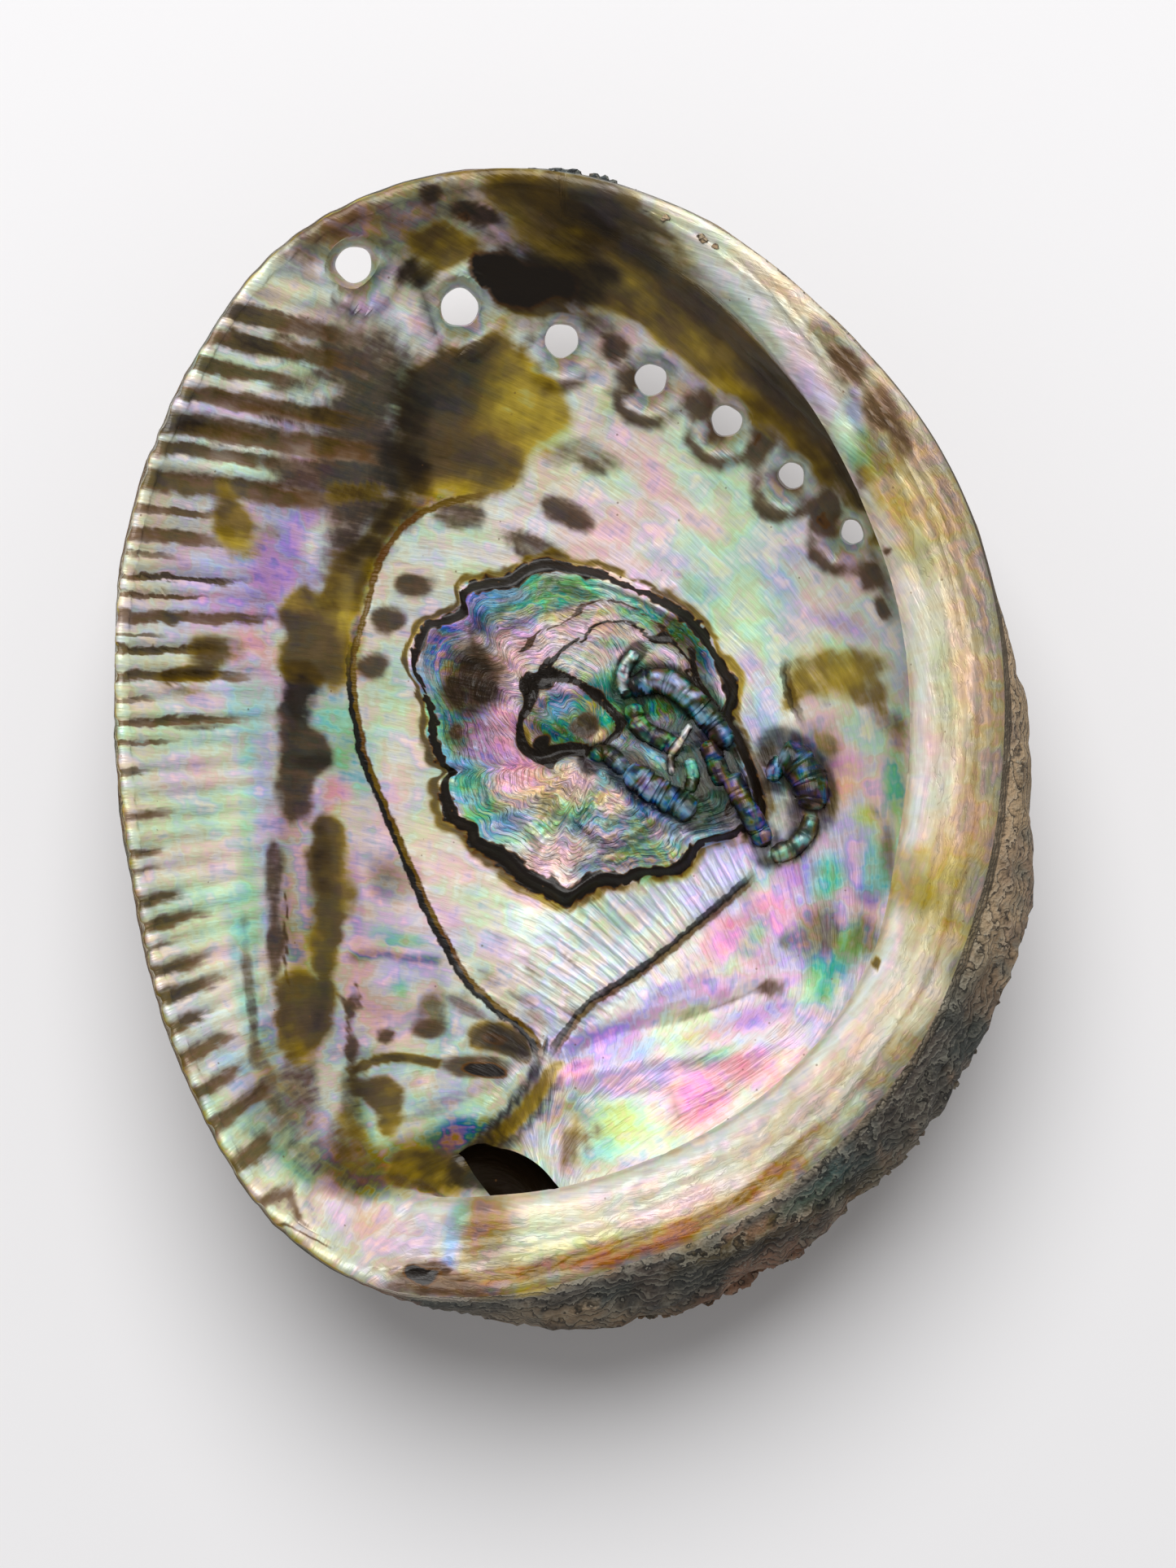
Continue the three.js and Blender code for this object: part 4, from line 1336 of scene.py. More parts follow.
@dataclass(frozen=True)
class Shell:
    """The whole shell: the closed bowl, joined to the apex, cut by horn and holes, with its growths."""

    bowl: Bowl
    holes: Holes
    spire: Spire
    relief: Relief
    around_count: int = 528
    outside_coarse: int = 14
    outside_fine: int = 29
    shelf_rows: int = 26
    underside_rows: int = 5
    wall_rows: int = 74
    brow_rows: int = 4
    plate_rows: int = 60

    def directions(self) -> Array:
        """Directions in radians, closer together along the outer lip, where the cords need them."""
        fine = np.linspace(0, 2 * math.pi, 2881)
        density = 1 + 0.8 * arc_share(fine, 130, 250, 25, 25)
        run = np.concatenate([[0], np.cumsum((density[1:] + density[:-1]) / 2)])
        return np.interp(np.arange(self.around_count) * run[-1] / self.around_count, run, fine)

    def profile(self, angle: Array) -> tuple[Array, Array, Array, Array]:
        """The closed profile in every direction, from the outside's pole over the rim to the floor's pole.

        Args:
            angle: directions in radians.

        Returns:
            Radii and heights by row and direction, the share of the outside's profile for the same, and each
            row's part.
        """
        bowl = self.bowl
        ledge = bowl.ledge_share(angle)
        fold = around(bowl.fold, angle)
        one = np.ones_like(angle)
        rim_r, rim_z = bowl.outside(angle, one)
        lip = np.array([rim_r - lerp(bowl.lip_wall, 2.4, ledge), rim_z - lerp(0.5, 0.2, ledge)])
        lip_share = bowl.share_at_radius(angle, lip[0])
        fold_share = bowl.share_at_radius(angle, fold)
        tip = np.array([fold, rim_z - bowl.ledge_slope * (rim_r - fold) - 1])
        crown = lerp(lip, tip, 0.45) + np.array([[0], [bowl.ledge_crown]])
        below = tip + np.array([[0.25], [-bowl.ledge_tip]])
        root_share = bowl.share_at_height(angle, np.maximum(tip[1] - bowl.ledge_root, 6))
        root = np.array(bowl.inside(angle, root_share))
        hollow = np.array([root[0] + 0.5, below[1] - 1.5])
        points, shares, parts = [], [], []

        def add(at: Array, share: Array, part: Part) -> None:
            """Adds one row."""
            points.append(np.asarray(at))
            shares.append(share)
            parts.append(part)

        def bent(start: Array, middle: Array, end: Array, t: float) -> Array:
            """A point of a quadratic curve."""
            return (1 - t) ** 2 * start + 2 * t * (1 - t) * middle + t * t * end

        for t in [*np.linspace(0, 0.5, self.outside_coarse), *np.linspace(0.5, 1, self.outside_fine)[1:]]:
            add(bowl.outside(angle, t * one), t * one, Part.OUTSIDE)
        rim = np.array([rim_r, rim_z])
        for t in (0.2, 0.5, 0.8):
            add(lerp(rim, lip, t) + np.array([[0], [0.35 * math.sin(math.pi * t)]]), one, Part.RIM)
        for t in np.linspace(0, 1, self.shelf_rows):
            on_wall = np.array(bowl.inside(angle, lerp(lip_share, fold_share, t)))
            free = lerp(lerp(lip, on_wall, min(1, t * 3)), bent(lip, crown, tip, t), ledge)
            add(free, lerp(lip_share, fold_share, t), Part.SHELF)
        for i in range(1, self.underside_rows + 1):
            share = fold_share * (1 - 0.04 * i / self.underside_rows)
            free = bent(below, hollow, root, (i - 1) / (self.underside_rows - 1))
            add(lerp(np.array(bowl.inside(angle, share)), free, ledge), share, Part.UNDERSIDE)
        edge = bowl.scar_edge(angle)
        upper = lerp(fold_share * 0.96, root_share, ledge)
        foot = bowl.share_at_radius(angle, edge + bowl.scar_slope)
        brow = bowl.share_at_radius(angle, edge)
        for i in range(1, self.wall_rows + 1):
            share = lerp(upper, foot, i / self.wall_rows)
            add(bowl.inside(angle, share), share, Part.INSIDE)
        for i in range(1, self.brow_rows + 1):
            share = lerp(foot, brow, i / self.brow_rows)
            add(bowl.inside(angle, share), share, Part.SCAR)
        for i in range(1, self.plate_rows + 1):
            share = brow * (1 - i / self.plate_rows)
            add(bowl.inside(angle, share), share, Part.SCAR)
        both = np.array(points)
        return both[:, 0], both[:, 1], np.array(shares), np.array([int(part) for part in parts])

    def bowl_mesh(self) -> Closed:
        """The bowl with all its relief, before the apex, the horn and the holes."""
        angle = self.directions()
        r, z, share, parts = self.profile(angle)
        x, y = r * np.cos(angle), r * np.sin(angle)
        placed = np.stack([x, y, z], axis=-1).reshape(-1, 3) + POLE_SHIFT_MM
        places = VIEW.to_view(placed).reshape(*r.shape, 2)
        lift = np.zeros_like(r)
        for part in (Part.OUTSIDE, Part.SHELF, Part.INSIDE, Part.SCAR, Part.UNDERSIDE):
            at = parts == part
            flat = [field_[at].ravel() for field_ in (x, y, z, share, r)]
            turn = np.broadcast_to(angle, r.shape)[at].ravel()
            px = places[at].reshape(-1, 2)
            fx, fy, fz, fshare, fr = flat
            if part is Part.OUTSIDE:
                made = self.relief.outside(fx, fy, fz, fshare)
            elif part is Part.SHELF:
                made = self.relief.shelf(px, fr, turn)
            elif part is Part.UNDERSIDE:
                made = self.relief.margin(px, fr, turn)
            else:
                made = self.relief.inside(px, fx, fy)
            if part is Part.SCAR:
                made = made + self.relief.scar(px, self.bowl.scar_edge(turn) - fr)
            lift[at] = made.reshape(-1, r.shape[1])
        rim = np.flatnonzero(parts == Part.RIM)
        first, last = lift[rim[0] - 1], lift[rim[-1] + 1]
        for k, row in enumerate(rim, 1):
            lift[row] = lerp(first, last, k / (len(rim) + 1))
        before = np.maximum(np.arange(len(r)) - 1, 0)
        after = np.minimum(np.arange(len(r)) + 1, len(r) - 1)
        dr, dz = r[after] - r[before], z[after] - z[before]
        length = np.maximum(np.hypot(dr, dz), 1e-9)
        scalloped = self.relief.cords.folds(places[rim[1]]) * (1 - self.bowl.ledge_share(angle))
        near = smoothstep(np.abs(np.arange(len(r)) - rim[1]).astype(float), 5, 0)
        radius = r + lift * dz / length + 0.9 * np.minimum(scalloped, 0.2) * near[:, None]
        height = np.maximum(0, z - lift * dr / length)
        points = np.stack([radius * np.cos(angle), radius * np.sin(angle), height], axis=-1)
        coarse = np.zeros(len(r), bool)
        coarse[: self.outside_coarse] = True
        coarse[-self.plate_rows:] = True
        coarse[parts == Part.INSIDE] = True
        return self.joined(points, parts, coarse)

    def joined(self, points: Array, parts: Array, coarse: Array) -> Closed:
        """Joins the rows to a closed surface; coarse rows use every second place.

        Args:
            points: positions by row and direction. The first and the last row close to the two poles.
            parts: each row's part.
            coarse: which rows use every second place.

        Returns:
            The closed surface.
        """
        rows = [points[k, ::2] if coarse[k] else points[k] for k in range(1, len(points) - 1)]
        sizes = np.array([len(row) for row in rows])
        starts = 1 + np.concatenate([[0], np.cumsum(sizes)[:-1]])
        stacked = np.vstack([points[0].mean(0), *rows, points[-1].mean(0)])
        faces, kinds = [], []
        for k in range(len(rows) - 1):
            a, b = starts[k], starts[k + 1]
            if sizes[k] == sizes[k + 1]:
                i = np.arange(sizes[k])
                n = (i + 1) % sizes[k]
                made = [(a + i, a + n, b + n), (a + i, b + n, b + i)]
            elif sizes[k] < sizes[k + 1]:
                i = np.arange(sizes[k])
                n = (i + 1) % sizes[k]
                made = [
                    (a + i, b + 2 * i + 1, b + 2 * i),
                    (a + i, a + n, b + 2 * i + 1),
                    (a + n, b + 2 * n, b + 2 * i + 1),
                ]
            else:
                i = np.arange(sizes[k + 1])
                n = (i + 1) % sizes[k + 1]
                made = [
                    (a + 2 * i, a + 2 * i + 1, b + i),
                    (a + 2 * i + 1, b + n, b + i),
                    (a + 2 * i + 1, a + 2 * n, b + n),
                ]
            rows_made = np.vstack([np.column_stack(face) for face in made])
            faces.append(rows_made)
            kinds.append(np.full(len(rows_made), max(parts[k + 1], parts[k + 2])))
        i = np.arange(sizes[0])
        faces.append(np.column_stack([np.zeros_like(i), 1 + (i + 1) % sizes[0], 1 + i]))
        kinds.append(np.full(len(i), parts[0]))
        i = np.arange(sizes[-1])
        last = starts[-1]
        tip = np.full_like(i, len(stacked) - 1)
        faces.append(np.column_stack([tip, last + i, last + (i + 1) % sizes[-1]]))
        kinds.append(np.full(len(i), parts[-1]))
        triangles = np.vstack(faces)
        a, b, c = (stacked[triangles[:, k]] for k in range(3))
        if np.einsum("ij,ij->i", a, np.cross(b, c)).sum() < 0:
            triangles = triangles[:, ::-1]
        return Closed(stacked, triangles, np.concatenate(kinds))

    def build(self) -> bpy.types.Object:
        """Makes the shell's mesh in place.

        Returns:
            Its object, with one material slot for each part.
        """
        shell = self.bowl_mesh().to_object(NODE + "_nacre")
        combine(shell, self.spire.apex(self.bowl).to_object("apex"), "UNION")
        combine(shell, self.spire.horn(self.bowl).to_object("horn"), "DIFFERENCE")
        for place in self.holes.open_mm:
            combine(shell, self.holes.cutter(self.bowl, place).to_object("plug"), "DIFFERENCE")
        ground = BVHTree.FromObject(shell, bpy.context.evaluated_depsgraph_get())
        grown_on = [worm.build(ground) for worm in WORMS]
        grown_on += [lump for crumbs in CRUMBS for lump in crumbs.build(ground)]
        combine(shell, Closed.merged(grown_on).to_object("growths"), "UNION")
        keep_largest(shell)
        mesh = shell.data
        at = np.empty(3 * len(mesh.vertices), np.float32)
        mesh.vertices.foreach_get("co", at)
        at = at.reshape(-1, 3) + POLE_SHIFT_MM * MM
        low, high = np.array(CAD_BOX[0]), np.array(CAD_BOX[1])
        at = np.clip(at, low, high)
        mesh.vertices.foreach_set("co", at.astype(np.float32).ravel())
        mesh.polygons.foreach_set("use_smooth", np.ones(len(mesh.polygons), bool))
        mesh.set_sharp_from_angle(angle=math.radians(50))
        mesh.update()
        log.info("shell: %d points, %d faces", len(mesh.vertices), len(mesh.polygons))
        return shell


@dataclass
class Surface:
    """The shell's finished vertices, with all that its finish needs to know about each."""

    points_mm: Array
    part: Array
    bowl: Bowl
    holes: Holes
    relief: Relief
    places: Array = field(init=False)
    r: Array = field(init=False)
    angle: Array = field(init=False)
    ledge: Array = field(init=False)
    paint: Array = field(init=False)
    stains: Array = field(init=False)
    traits: Array = field(init=False)
    layered: Array = field(init=False)
    shade: Array = field(init=False)
    cords: Array = field(init=False)

    def __post_init__(self) -> None:
        """Works out each vertex's place in the view and around the bowl, and an empty coat of paint."""
        plan = self.points_mm - POLE_SHIFT_MM
        self.places = VIEW.to_view(self.points_mm)
        self.r, self.angle = np.hypot(plan[:, 0], plan[:, 1]), np.arctan2(plan[:, 1], plan[:, 0])
        self.ledge = self.bowl.ledge_share(self.angle)
        count = len(plan)
        self.paint = np.tile(linear(Tone.PEARL), (count, 1))
        self.stains = np.zeros((count, 3))
        self.traits = np.tile([0.4, 0.0, 0.8], (count, 1))
        self.layered = np.zeros(count)
        self.shade = np.zeros(count)
        self.cords = np.zeros((count, 3))

    @classmethod
    def of(cls, shell: bpy.types.Object, bowl: Bowl, holes: Holes, relief: Relief) -> "Surface":
        """Reads the mesh's vertices; one that parts share goes to the later part, but not to the horn."""
        mesh = shell.data
        points = np.empty(3 * len(mesh.vertices), np.float32)
        mesh.vertices.foreach_get("co", points)
        kinds = np.empty(len(mesh.polygons), np.int32)
        mesh.polygons.foreach_get("material_index", kinds)
        sides = np.empty(len(mesh.polygons), np.int32)
        mesh.polygons.foreach_get("loop_total", sides)
        corners = np.empty(len(mesh.loops), np.int32)
        mesh.loops.foreach_get("vertex_index", corners)
        kinds = np.repeat(kinds, sides)
        part, least = np.zeros(len(mesh.vertices), int), np.full(len(mesh.vertices), len(Part))
        np.maximum.at(part, corners, kinds)
        np.minimum.at(least, corners, kinds)
        part = np.where(part == Part.HORN, least, part)
        return cls(points.reshape(-1, 3) / MM, part, bowl, holes, relief)

    def on(self, *parts: Part) -> Array:
        """1 on the named parts and 0 elsewhere."""
        return np.isin(self.part, [int(part) for part in parts]).astype(float)

    def lay(self, marks: list[Patch | Stroke | Blot], where: Array, seed: int = 40) -> None:
        """Lays marks over what is there: tones into the paint, stains into their own coats.

        Args:
            marks: the marks, the lowest first.
            where: how far each vertex takes them, from 0 to 1.
            seed: the seed of their wavering edges.
        """
        grain = Grain(seed).at(self.places, 34.0, 3)
        for mark in marks:
            cover = mark.cover(self.places, grain) * where
            if mark.tone is Depth.SHADE:
                self.shade = np.maximum(self.shade, cover)
            elif isinstance(mark.tone, Depth):
                self.traits[:, 1] += mark.tone * cover
            elif isinstance(mark.tone, Stain):
                self.stain(mark.tone, cover)
            else:
                self.tint(mark.tone, cover)

    def stain(self, stain: Stain, cover: Array) -> None:
        """Lays a stain where it is stronger than what is there."""
        self.stains[:, stain] = np.maximum(self.stains[:, stain], cover)

    def deepen(self, cover: Array, light: float, colour: float = 1.0) -> None:
        """Darkens the paint by a factor and draws its colour away from grey by another."""
        grey = self.paint.mean(1, keepdims=True)
        deep = np.maximum(grey + (self.paint - grey) * colour, 0) * light
        self.paint += (deep - self.paint) * np.clip(cover, 0, 1)[:, None]

    def tint(self, tone: Tone, cover: Array) -> None:
        """Covers the paint with a tone."""
        self.paint += (linear(tone) - self.paint) * np.clip(cover, 0, 1)[:, None]

    def clear(self, cover: Array) -> None:
        """Takes stains away where something covers them."""
        self.stains *= 1 - np.clip(cover, 0, 1)[:, None]
        self.shade *= 1 - np.clip(cover, 0, 1)

    def flow(self) -> Array:
        """The direction of the nacre's streaks: from markers inside, and along the lip on the ledge.

        Returns:
            Angles in radians, anticlockwise from +X. A turn by half a circle means the same streak.
        """
        markers = np.array(FLOW_MARKERS, float)
        total = np.zeros(len(self.r))
        weights = np.zeros(len(self.r))
        for x, y, degrees in markers:
            gap = (self.places[:, 0] - x) ** 2 + (self.places[:, 1] - y) ** 2
            weight = 1 / (gap + 45.0**2) ** 1.6
            total += weight * math.radians(degrees)
            weights += weight
        inner = total / weights
        on_ledge = self.ledge * np.maximum(self.on(Part.SHELF, Part.RIM), self.on(Part.OUTSIDE))
        front = (self.angle > 0) & (self.angle < math.radians(95))
        inner = np.where(front & (on_ledge > 0), inner + math.pi, inner)
        return lerp(inner, self.angle + math.pi / 2, on_ledge)

    def write(self, mesh: bpy.types.Mesh) -> None:
        """Stores all coats as attributes of the mesh."""
        count = len(self.r)
        gaps, strengths, cores = np.full(count, 60.0), np.zeros(count), np.zeros(count)
        inner = self.on(Part.INSIDE, Part.UNDERSIDE, Part.SHELF, Part.HORN)
        inner = inner * (1 - self.ledge * self.on(Part.SHELF))
        for seam in SEAMS:
            gap, strength, core = seam.gap(self.places)
            closer = np.abs(gap) < np.abs(gaps)
            gaps = np.where(closer, gap, gaps)
            near = seam.width_px / 10 * (1 - smoothstep(np.abs(gap), 9, 16))
            strengths = np.where(closer, strength * near, strengths)
            cores = np.where(closer, core * near, cores)
        plan = self.points_mm - POLE_SHIFT_MM
        outer = self.on(Part.OUTSIDE)
        back = self.relief.grown(plan[:, 0], plan[:, 1], plan[:, 2])[0]
        from_fold = self.r - around(self.bowl.fold, self.angle)
        scar_gap = self.bowl.scar_edge(self.angle) - self.r
        rim_from_fold = self.bowl.outside(self.angle, np.ones(count))[0] - around(self.bowl.fold, self.angle)
        grown = np.where(self.on(Part.SCAR) > 0, scar_gap, from_fold)
        grown = np.where(outer > 0, back + rim_from_fold, grown)
        ribs, fanned = RIBS.phase(self.places), RIBS.strength(self.places) * self.on(Part.INSIDE)
        groups = {
            "stains": self.stains,
            "traits": self.traits,
            "lines": np.column_stack([gaps, strengths * inner, self.flow()]),
            "growth": np.column_stack([grown, ribs, fanned]),
            "layers": np.column_stack([self.layered, self.ledge, self.shade]),
            "seams": np.column_stack([cores * inner, cores, cores]),
            "cords": self.cords,
        }
        colour = mesh.attributes.new("paint", "FLOAT_COLOR", "POINT")
        rgba = np.column_stack([np.clip(self.paint, 0, 1), np.ones(count)])
        colour.data.foreach_set("color", rgba.astype(np.float32).ravel())
        for name, values in groups.items():
            made = mesh.attributes.new(name, "FLOAT_VECTOR", "POINT")
            made.data.foreach_set("vector", values.astype(np.float32).ravel())


@dataclass(frozen=True)
class RibFan:
    """The fine ribs below the scar, which run together towards a point at the lower right."""

    centre_px: tuple[float, float] = (1118.0, 1491.0)
    middle_px: tuple[float, float] = (775.0, 1160.0)
    reach_px: tuple[float, float] = (200.0, 90.0)
    lean_deg: float = 33.0
    side_px: tuple[tuple[float, float], tuple[float, float]] = ((671.0, 1319.0), (934.0, 1069.0))
    count: float = 232.0

    def phase(self, places: Array) -> Array:
        """The ribs' phase at each place, in radians."""
        gap = places - np.array(self.centre_px)
        return np.arctan2(-gap[:, 1], -gap[:, 0]) * self.count

    def strength(self, places: Array) -> Array:
        """How strong they are: full in a leaning oval."""
        oval = Patch(Tone.INK, self.middle_px, self.reach_px, self.lean_deg, softness=0.4, waver=0)
        (x0, y0), (x1, y1) = self.side_px
        above = (places[:, 0] - x0) * (y1 - y0) - (places[:, 1] - y0) * (x1 - x0)
        above = smoothstep(above / math.hypot(x1 - x0, y1 - y0), -4, 10)
        return oval.cover(places, np.zeros(len(places))) * above


RIBS = RibFan()
CORDS = Cords()
BAND_UNIT_PX = 400.0

FLOW_MARKERS = (
    (250, 420, -13), (200, 560, -8), (170, 700, -2), (170, 850, 0), (170, 1000, 6), (200, 1150, 18),
    (240, 1280, 32), (320, 1420, 48), (420, 1500, 65), (520, 1540, 80), (350, 600, -8), (350, 800, -3),
    (350, 1000, 0), (400, 1150, -4), (480, 1130, -8), (480, 1350, 10), (490, 700, -3), (480, 820, -6),
    (500, 950, -10), (560, 1080, -18), (640, 1150, -25), (700, 1220, -32), (800, 1150, -45),
    (890, 1090, -62), (560, 650, -5), (700, 640, -30), (820, 680, -42), (900, 760, -45), (980, 820, -50),
    (940, 640, -45), (1020, 740, -60), (800, 560, -35), (700, 520, -20), (440, 400, -20), (560, 330, -25),
    (700, 330, -30), (820, 400, -40), (950, 500, -50), (1050, 640, -65), (1000, 900, -80), (1060, 950, -90),
    (1020, 1050, -85), (1060, 1150, -100), (980, 1150, -70), (1050, 1200, -110), (960, 1300, -150),
    (850, 1330, -160), (760, 1380, -155),
)


@dataclass(frozen=True)
class Painter:
    """Lays the shell's markings, region by region, from the ground tints up to the dark stains."""

    cords: Cords

    def ground(self, s: Surface) -> None:
        """Clouds of pearl, cream, mint, pink and lilac under everything."""
        for seed, tone, pitch, most in (
            (51, Tone.CREAM, 110, 0.8), (52, Tone.MINT, 80, 0.75), (53, Tone.PINK, 70, 0.8),
            (54, Tone.SILVER, 60, 0.7), (55, Tone.LILAC, 75, 0.55),
        ):
            s.tint(tone, most * smoothstep(Grain(seed).at(s.places, pitch, 3), -0.1, 0.9))

    def left_margin(self, s: Surface) -> None:
        """The outer lip: pearl with mint, lilac and pink, crossed by the cords' dark bands."""
        where = s.on(Part.SHELF, Part.UNDERSIDE, Part.INSIDE, Part.RIM) * (1 - s.ledge)
        level, inset = self.cords.level(s.places)
        s.tint(Tone.CREAM, 0.75 * where * (1 - smoothstep(inset, 30, 110)))
        s.lay([
            Patch(Tone.SILVER, (300, 470), (120, 90), -15, 0.6),
            Patch(Tone.MINT, (300, 455), (90, 14), -14, 0.7),
            Patch(Tone.LILAC, (330, 515), (90, 12), -12, 0.8),
            Patch(Tone.MINT, (350, 440), (60, 20), -20, 0.6),
            Patch(Tone.CREAM, (300, 400), (70, 12), -12, 0.9),
            Patch(Tone.SILVER, (240, 560), (90, 24), -8, 0.8),
            Patch(Tone.MINT, (330, 575), (80, 14), -12, 0.6),
            Patch(Tone.ROSE, (385, 570), (28, 26), 0, 0.6),
            Patch(Tone.PEACH, (390, 560), (20, 10), -20, 0.7),
            Patch(Tone.VIOLET, (370, 620), (34, 26), -10, 0.8),
            Patch(Tone.AQUA, (340, 620), (24, 10), -15, 0.6),
            Patch(Tone.VIOLET, (335, 650), (50, 34), 0, 0.6),
            Patch(Tone.LILAC, (290, 700), (90, 34), 0, 0.8),
            Patch(Tone.VIOLET, (340, 690), (44, 34), 60, 0.8), Patch(Tone.SKY, (285, 690), (34, 9), 0, 0.6),
            Patch(Tone.ROSE, (250, 735), (60, 7), 0, 0.6), Patch(Tone.LILAC, (260, 760), (110, 22), 0, 0.8),
            Patch(Tone.VIOLET, (300, 745), (50, 24), 0, 0.65),
            Patch(Tone.ROSE, (310, 800), (34, 36), 0, 0.7), Patch(Tone.LILAC, (310, 860), (60, 40), 0, 0.7),
            Patch(Tone.AQUA, (300, 880), (26, 50), 0, 0.6), Patch(Tone.MINT, (220, 900), (80, 26), 0, 0.7),
            Patch(Tone.ROSE, (305, 930), (22, 34), 0, 0.5),
            Patch(Tone.SILVER, (180, 760), (46, 20), 0, 0.7),
            Patch(Tone.CREAM, (190, 820), (50, 14), 0, 0.8),
            Patch(Tone.AQUA, (312, 1010), (15, 110), 4, 0.8),
            Patch(Tone.MINT, (240, 1000), (70, 60), 8, 0.6), Patch(Tone.PINK, (235, 960), (60, 16), 4, 0.7),
            Patch(Tone.LILAC, (330, 1050), (14, 120), 4, 0.7),
            Patch(Tone.PINK, (230, 1060), (60, 26), 12, 0.6),
            Patch(Tone.MINT, (250, 1120), (60, 50), 20, 0.7),
            Patch(Tone.SEA, (305, 1120), (10, 90), 4, 0.35),
            Patch(Tone.AQUA, (300, 1200), (16, 90), 10, 0.7),
            Patch(Tone.CREAM, (230, 1190), (50, 60), 20, 0.6),
            Patch(Tone.SILVER, (260, 1260), (44, 60), 30, 0.6),
            Patch(Tone.SKY, (300, 1330), (18, 60), 20, 0.5),
            Patch(Tone.MINT, (330, 1420), (70, 40), -45, 0.8),
            Patch(Tone.CREAM, (330, 1460), (60, 26), -45, 0.7),
            Patch(Tone.SEA, (370, 1440), (40, 8), -42, 0.4),
            Patch(Tone.PINK, (440, 1500), (70, 26), -35, 0.85),
            Patch(Tone.SKY, (548, 1505), (16, 40), -10, 0.8),
            Patch(Tone.MINT, (530, 1530), (22, 34), -10, 0.7),
            Patch(Tone.PEACH, (480, 1520), (40, 16), -30, 0.6),
            Patch(Tone.LILAC, (500, 1500), (26, 18), 0, 0.6),
            Patch(Tone.CREAM, (420, 1540), (60, 14), -30, 0.6),
        ], where, 41)
        grain = Grain(42).at(s.places * np.array([0.25, 1.0]), 12.0, 3)
        left = where * smoothstep(500 - s.places[:, 0], 0, 60)
        s.cords = np.column_stack([level, inset + 8 * grain, left])
        s.lay([
            Patch(Stain.AMBER, (290, 642), (28, 33), 20, 0.8),
            Patch(Stain.UMBER, (275, 655), (15, 9), 0, 0.7),
            Patch(Stain.AMBER, (262, 805), (26, 34), -30, 0.72),
            Patch(Stain.AMBER, (236, 829), (42, 11), 0, 1.0),
            Patch(Stain.UMBER, (258, 800), (16, 12), 0, 0.55),
            Patch(Stain.AMBER, (232, 848), (20, 8), 0, 0.5),
            Patch(Stain.UMBER, (330, 430), (60, 10), -14, 0.5),
            Patch(Stain.UMBER, (250, 892), (46, 6), 0, 0.6),
            Patch(Stain.UMBER, (340, 510), (70, 12), -16, 0.75),
            Patch(Stain.UMBER, (270, 530), (60, 10), -6, 0.7),
        ], where, 43)
        from_edge = around(s.bowl.outline, s.angle) - s.r
        edge = s.on(Part.RIM, Part.OUTSIDE) * (1 - s.ledge) * (1 - smoothstep(from_edge, 0.3, 0.9))
        s.stain(Stain.AMBER, 0.7 * edge)
        at_edge = 1 - smoothstep(from_edge + 0.25 * grain, 0.5, 1.3)
        thin = s.on(Part.RIM, Part.SHELF) * (1 - s.ledge) * at_edge
        s.tint(Tone.MOSS, 0.75 * thin * smoothstep(s.places[:, 1], 700, 1000))
        s.tint(Tone.TAN, 0.5 * thin * smoothstep(grain, -0.1, 0.5))
        s.traits[:, 1] += 0.4 * where

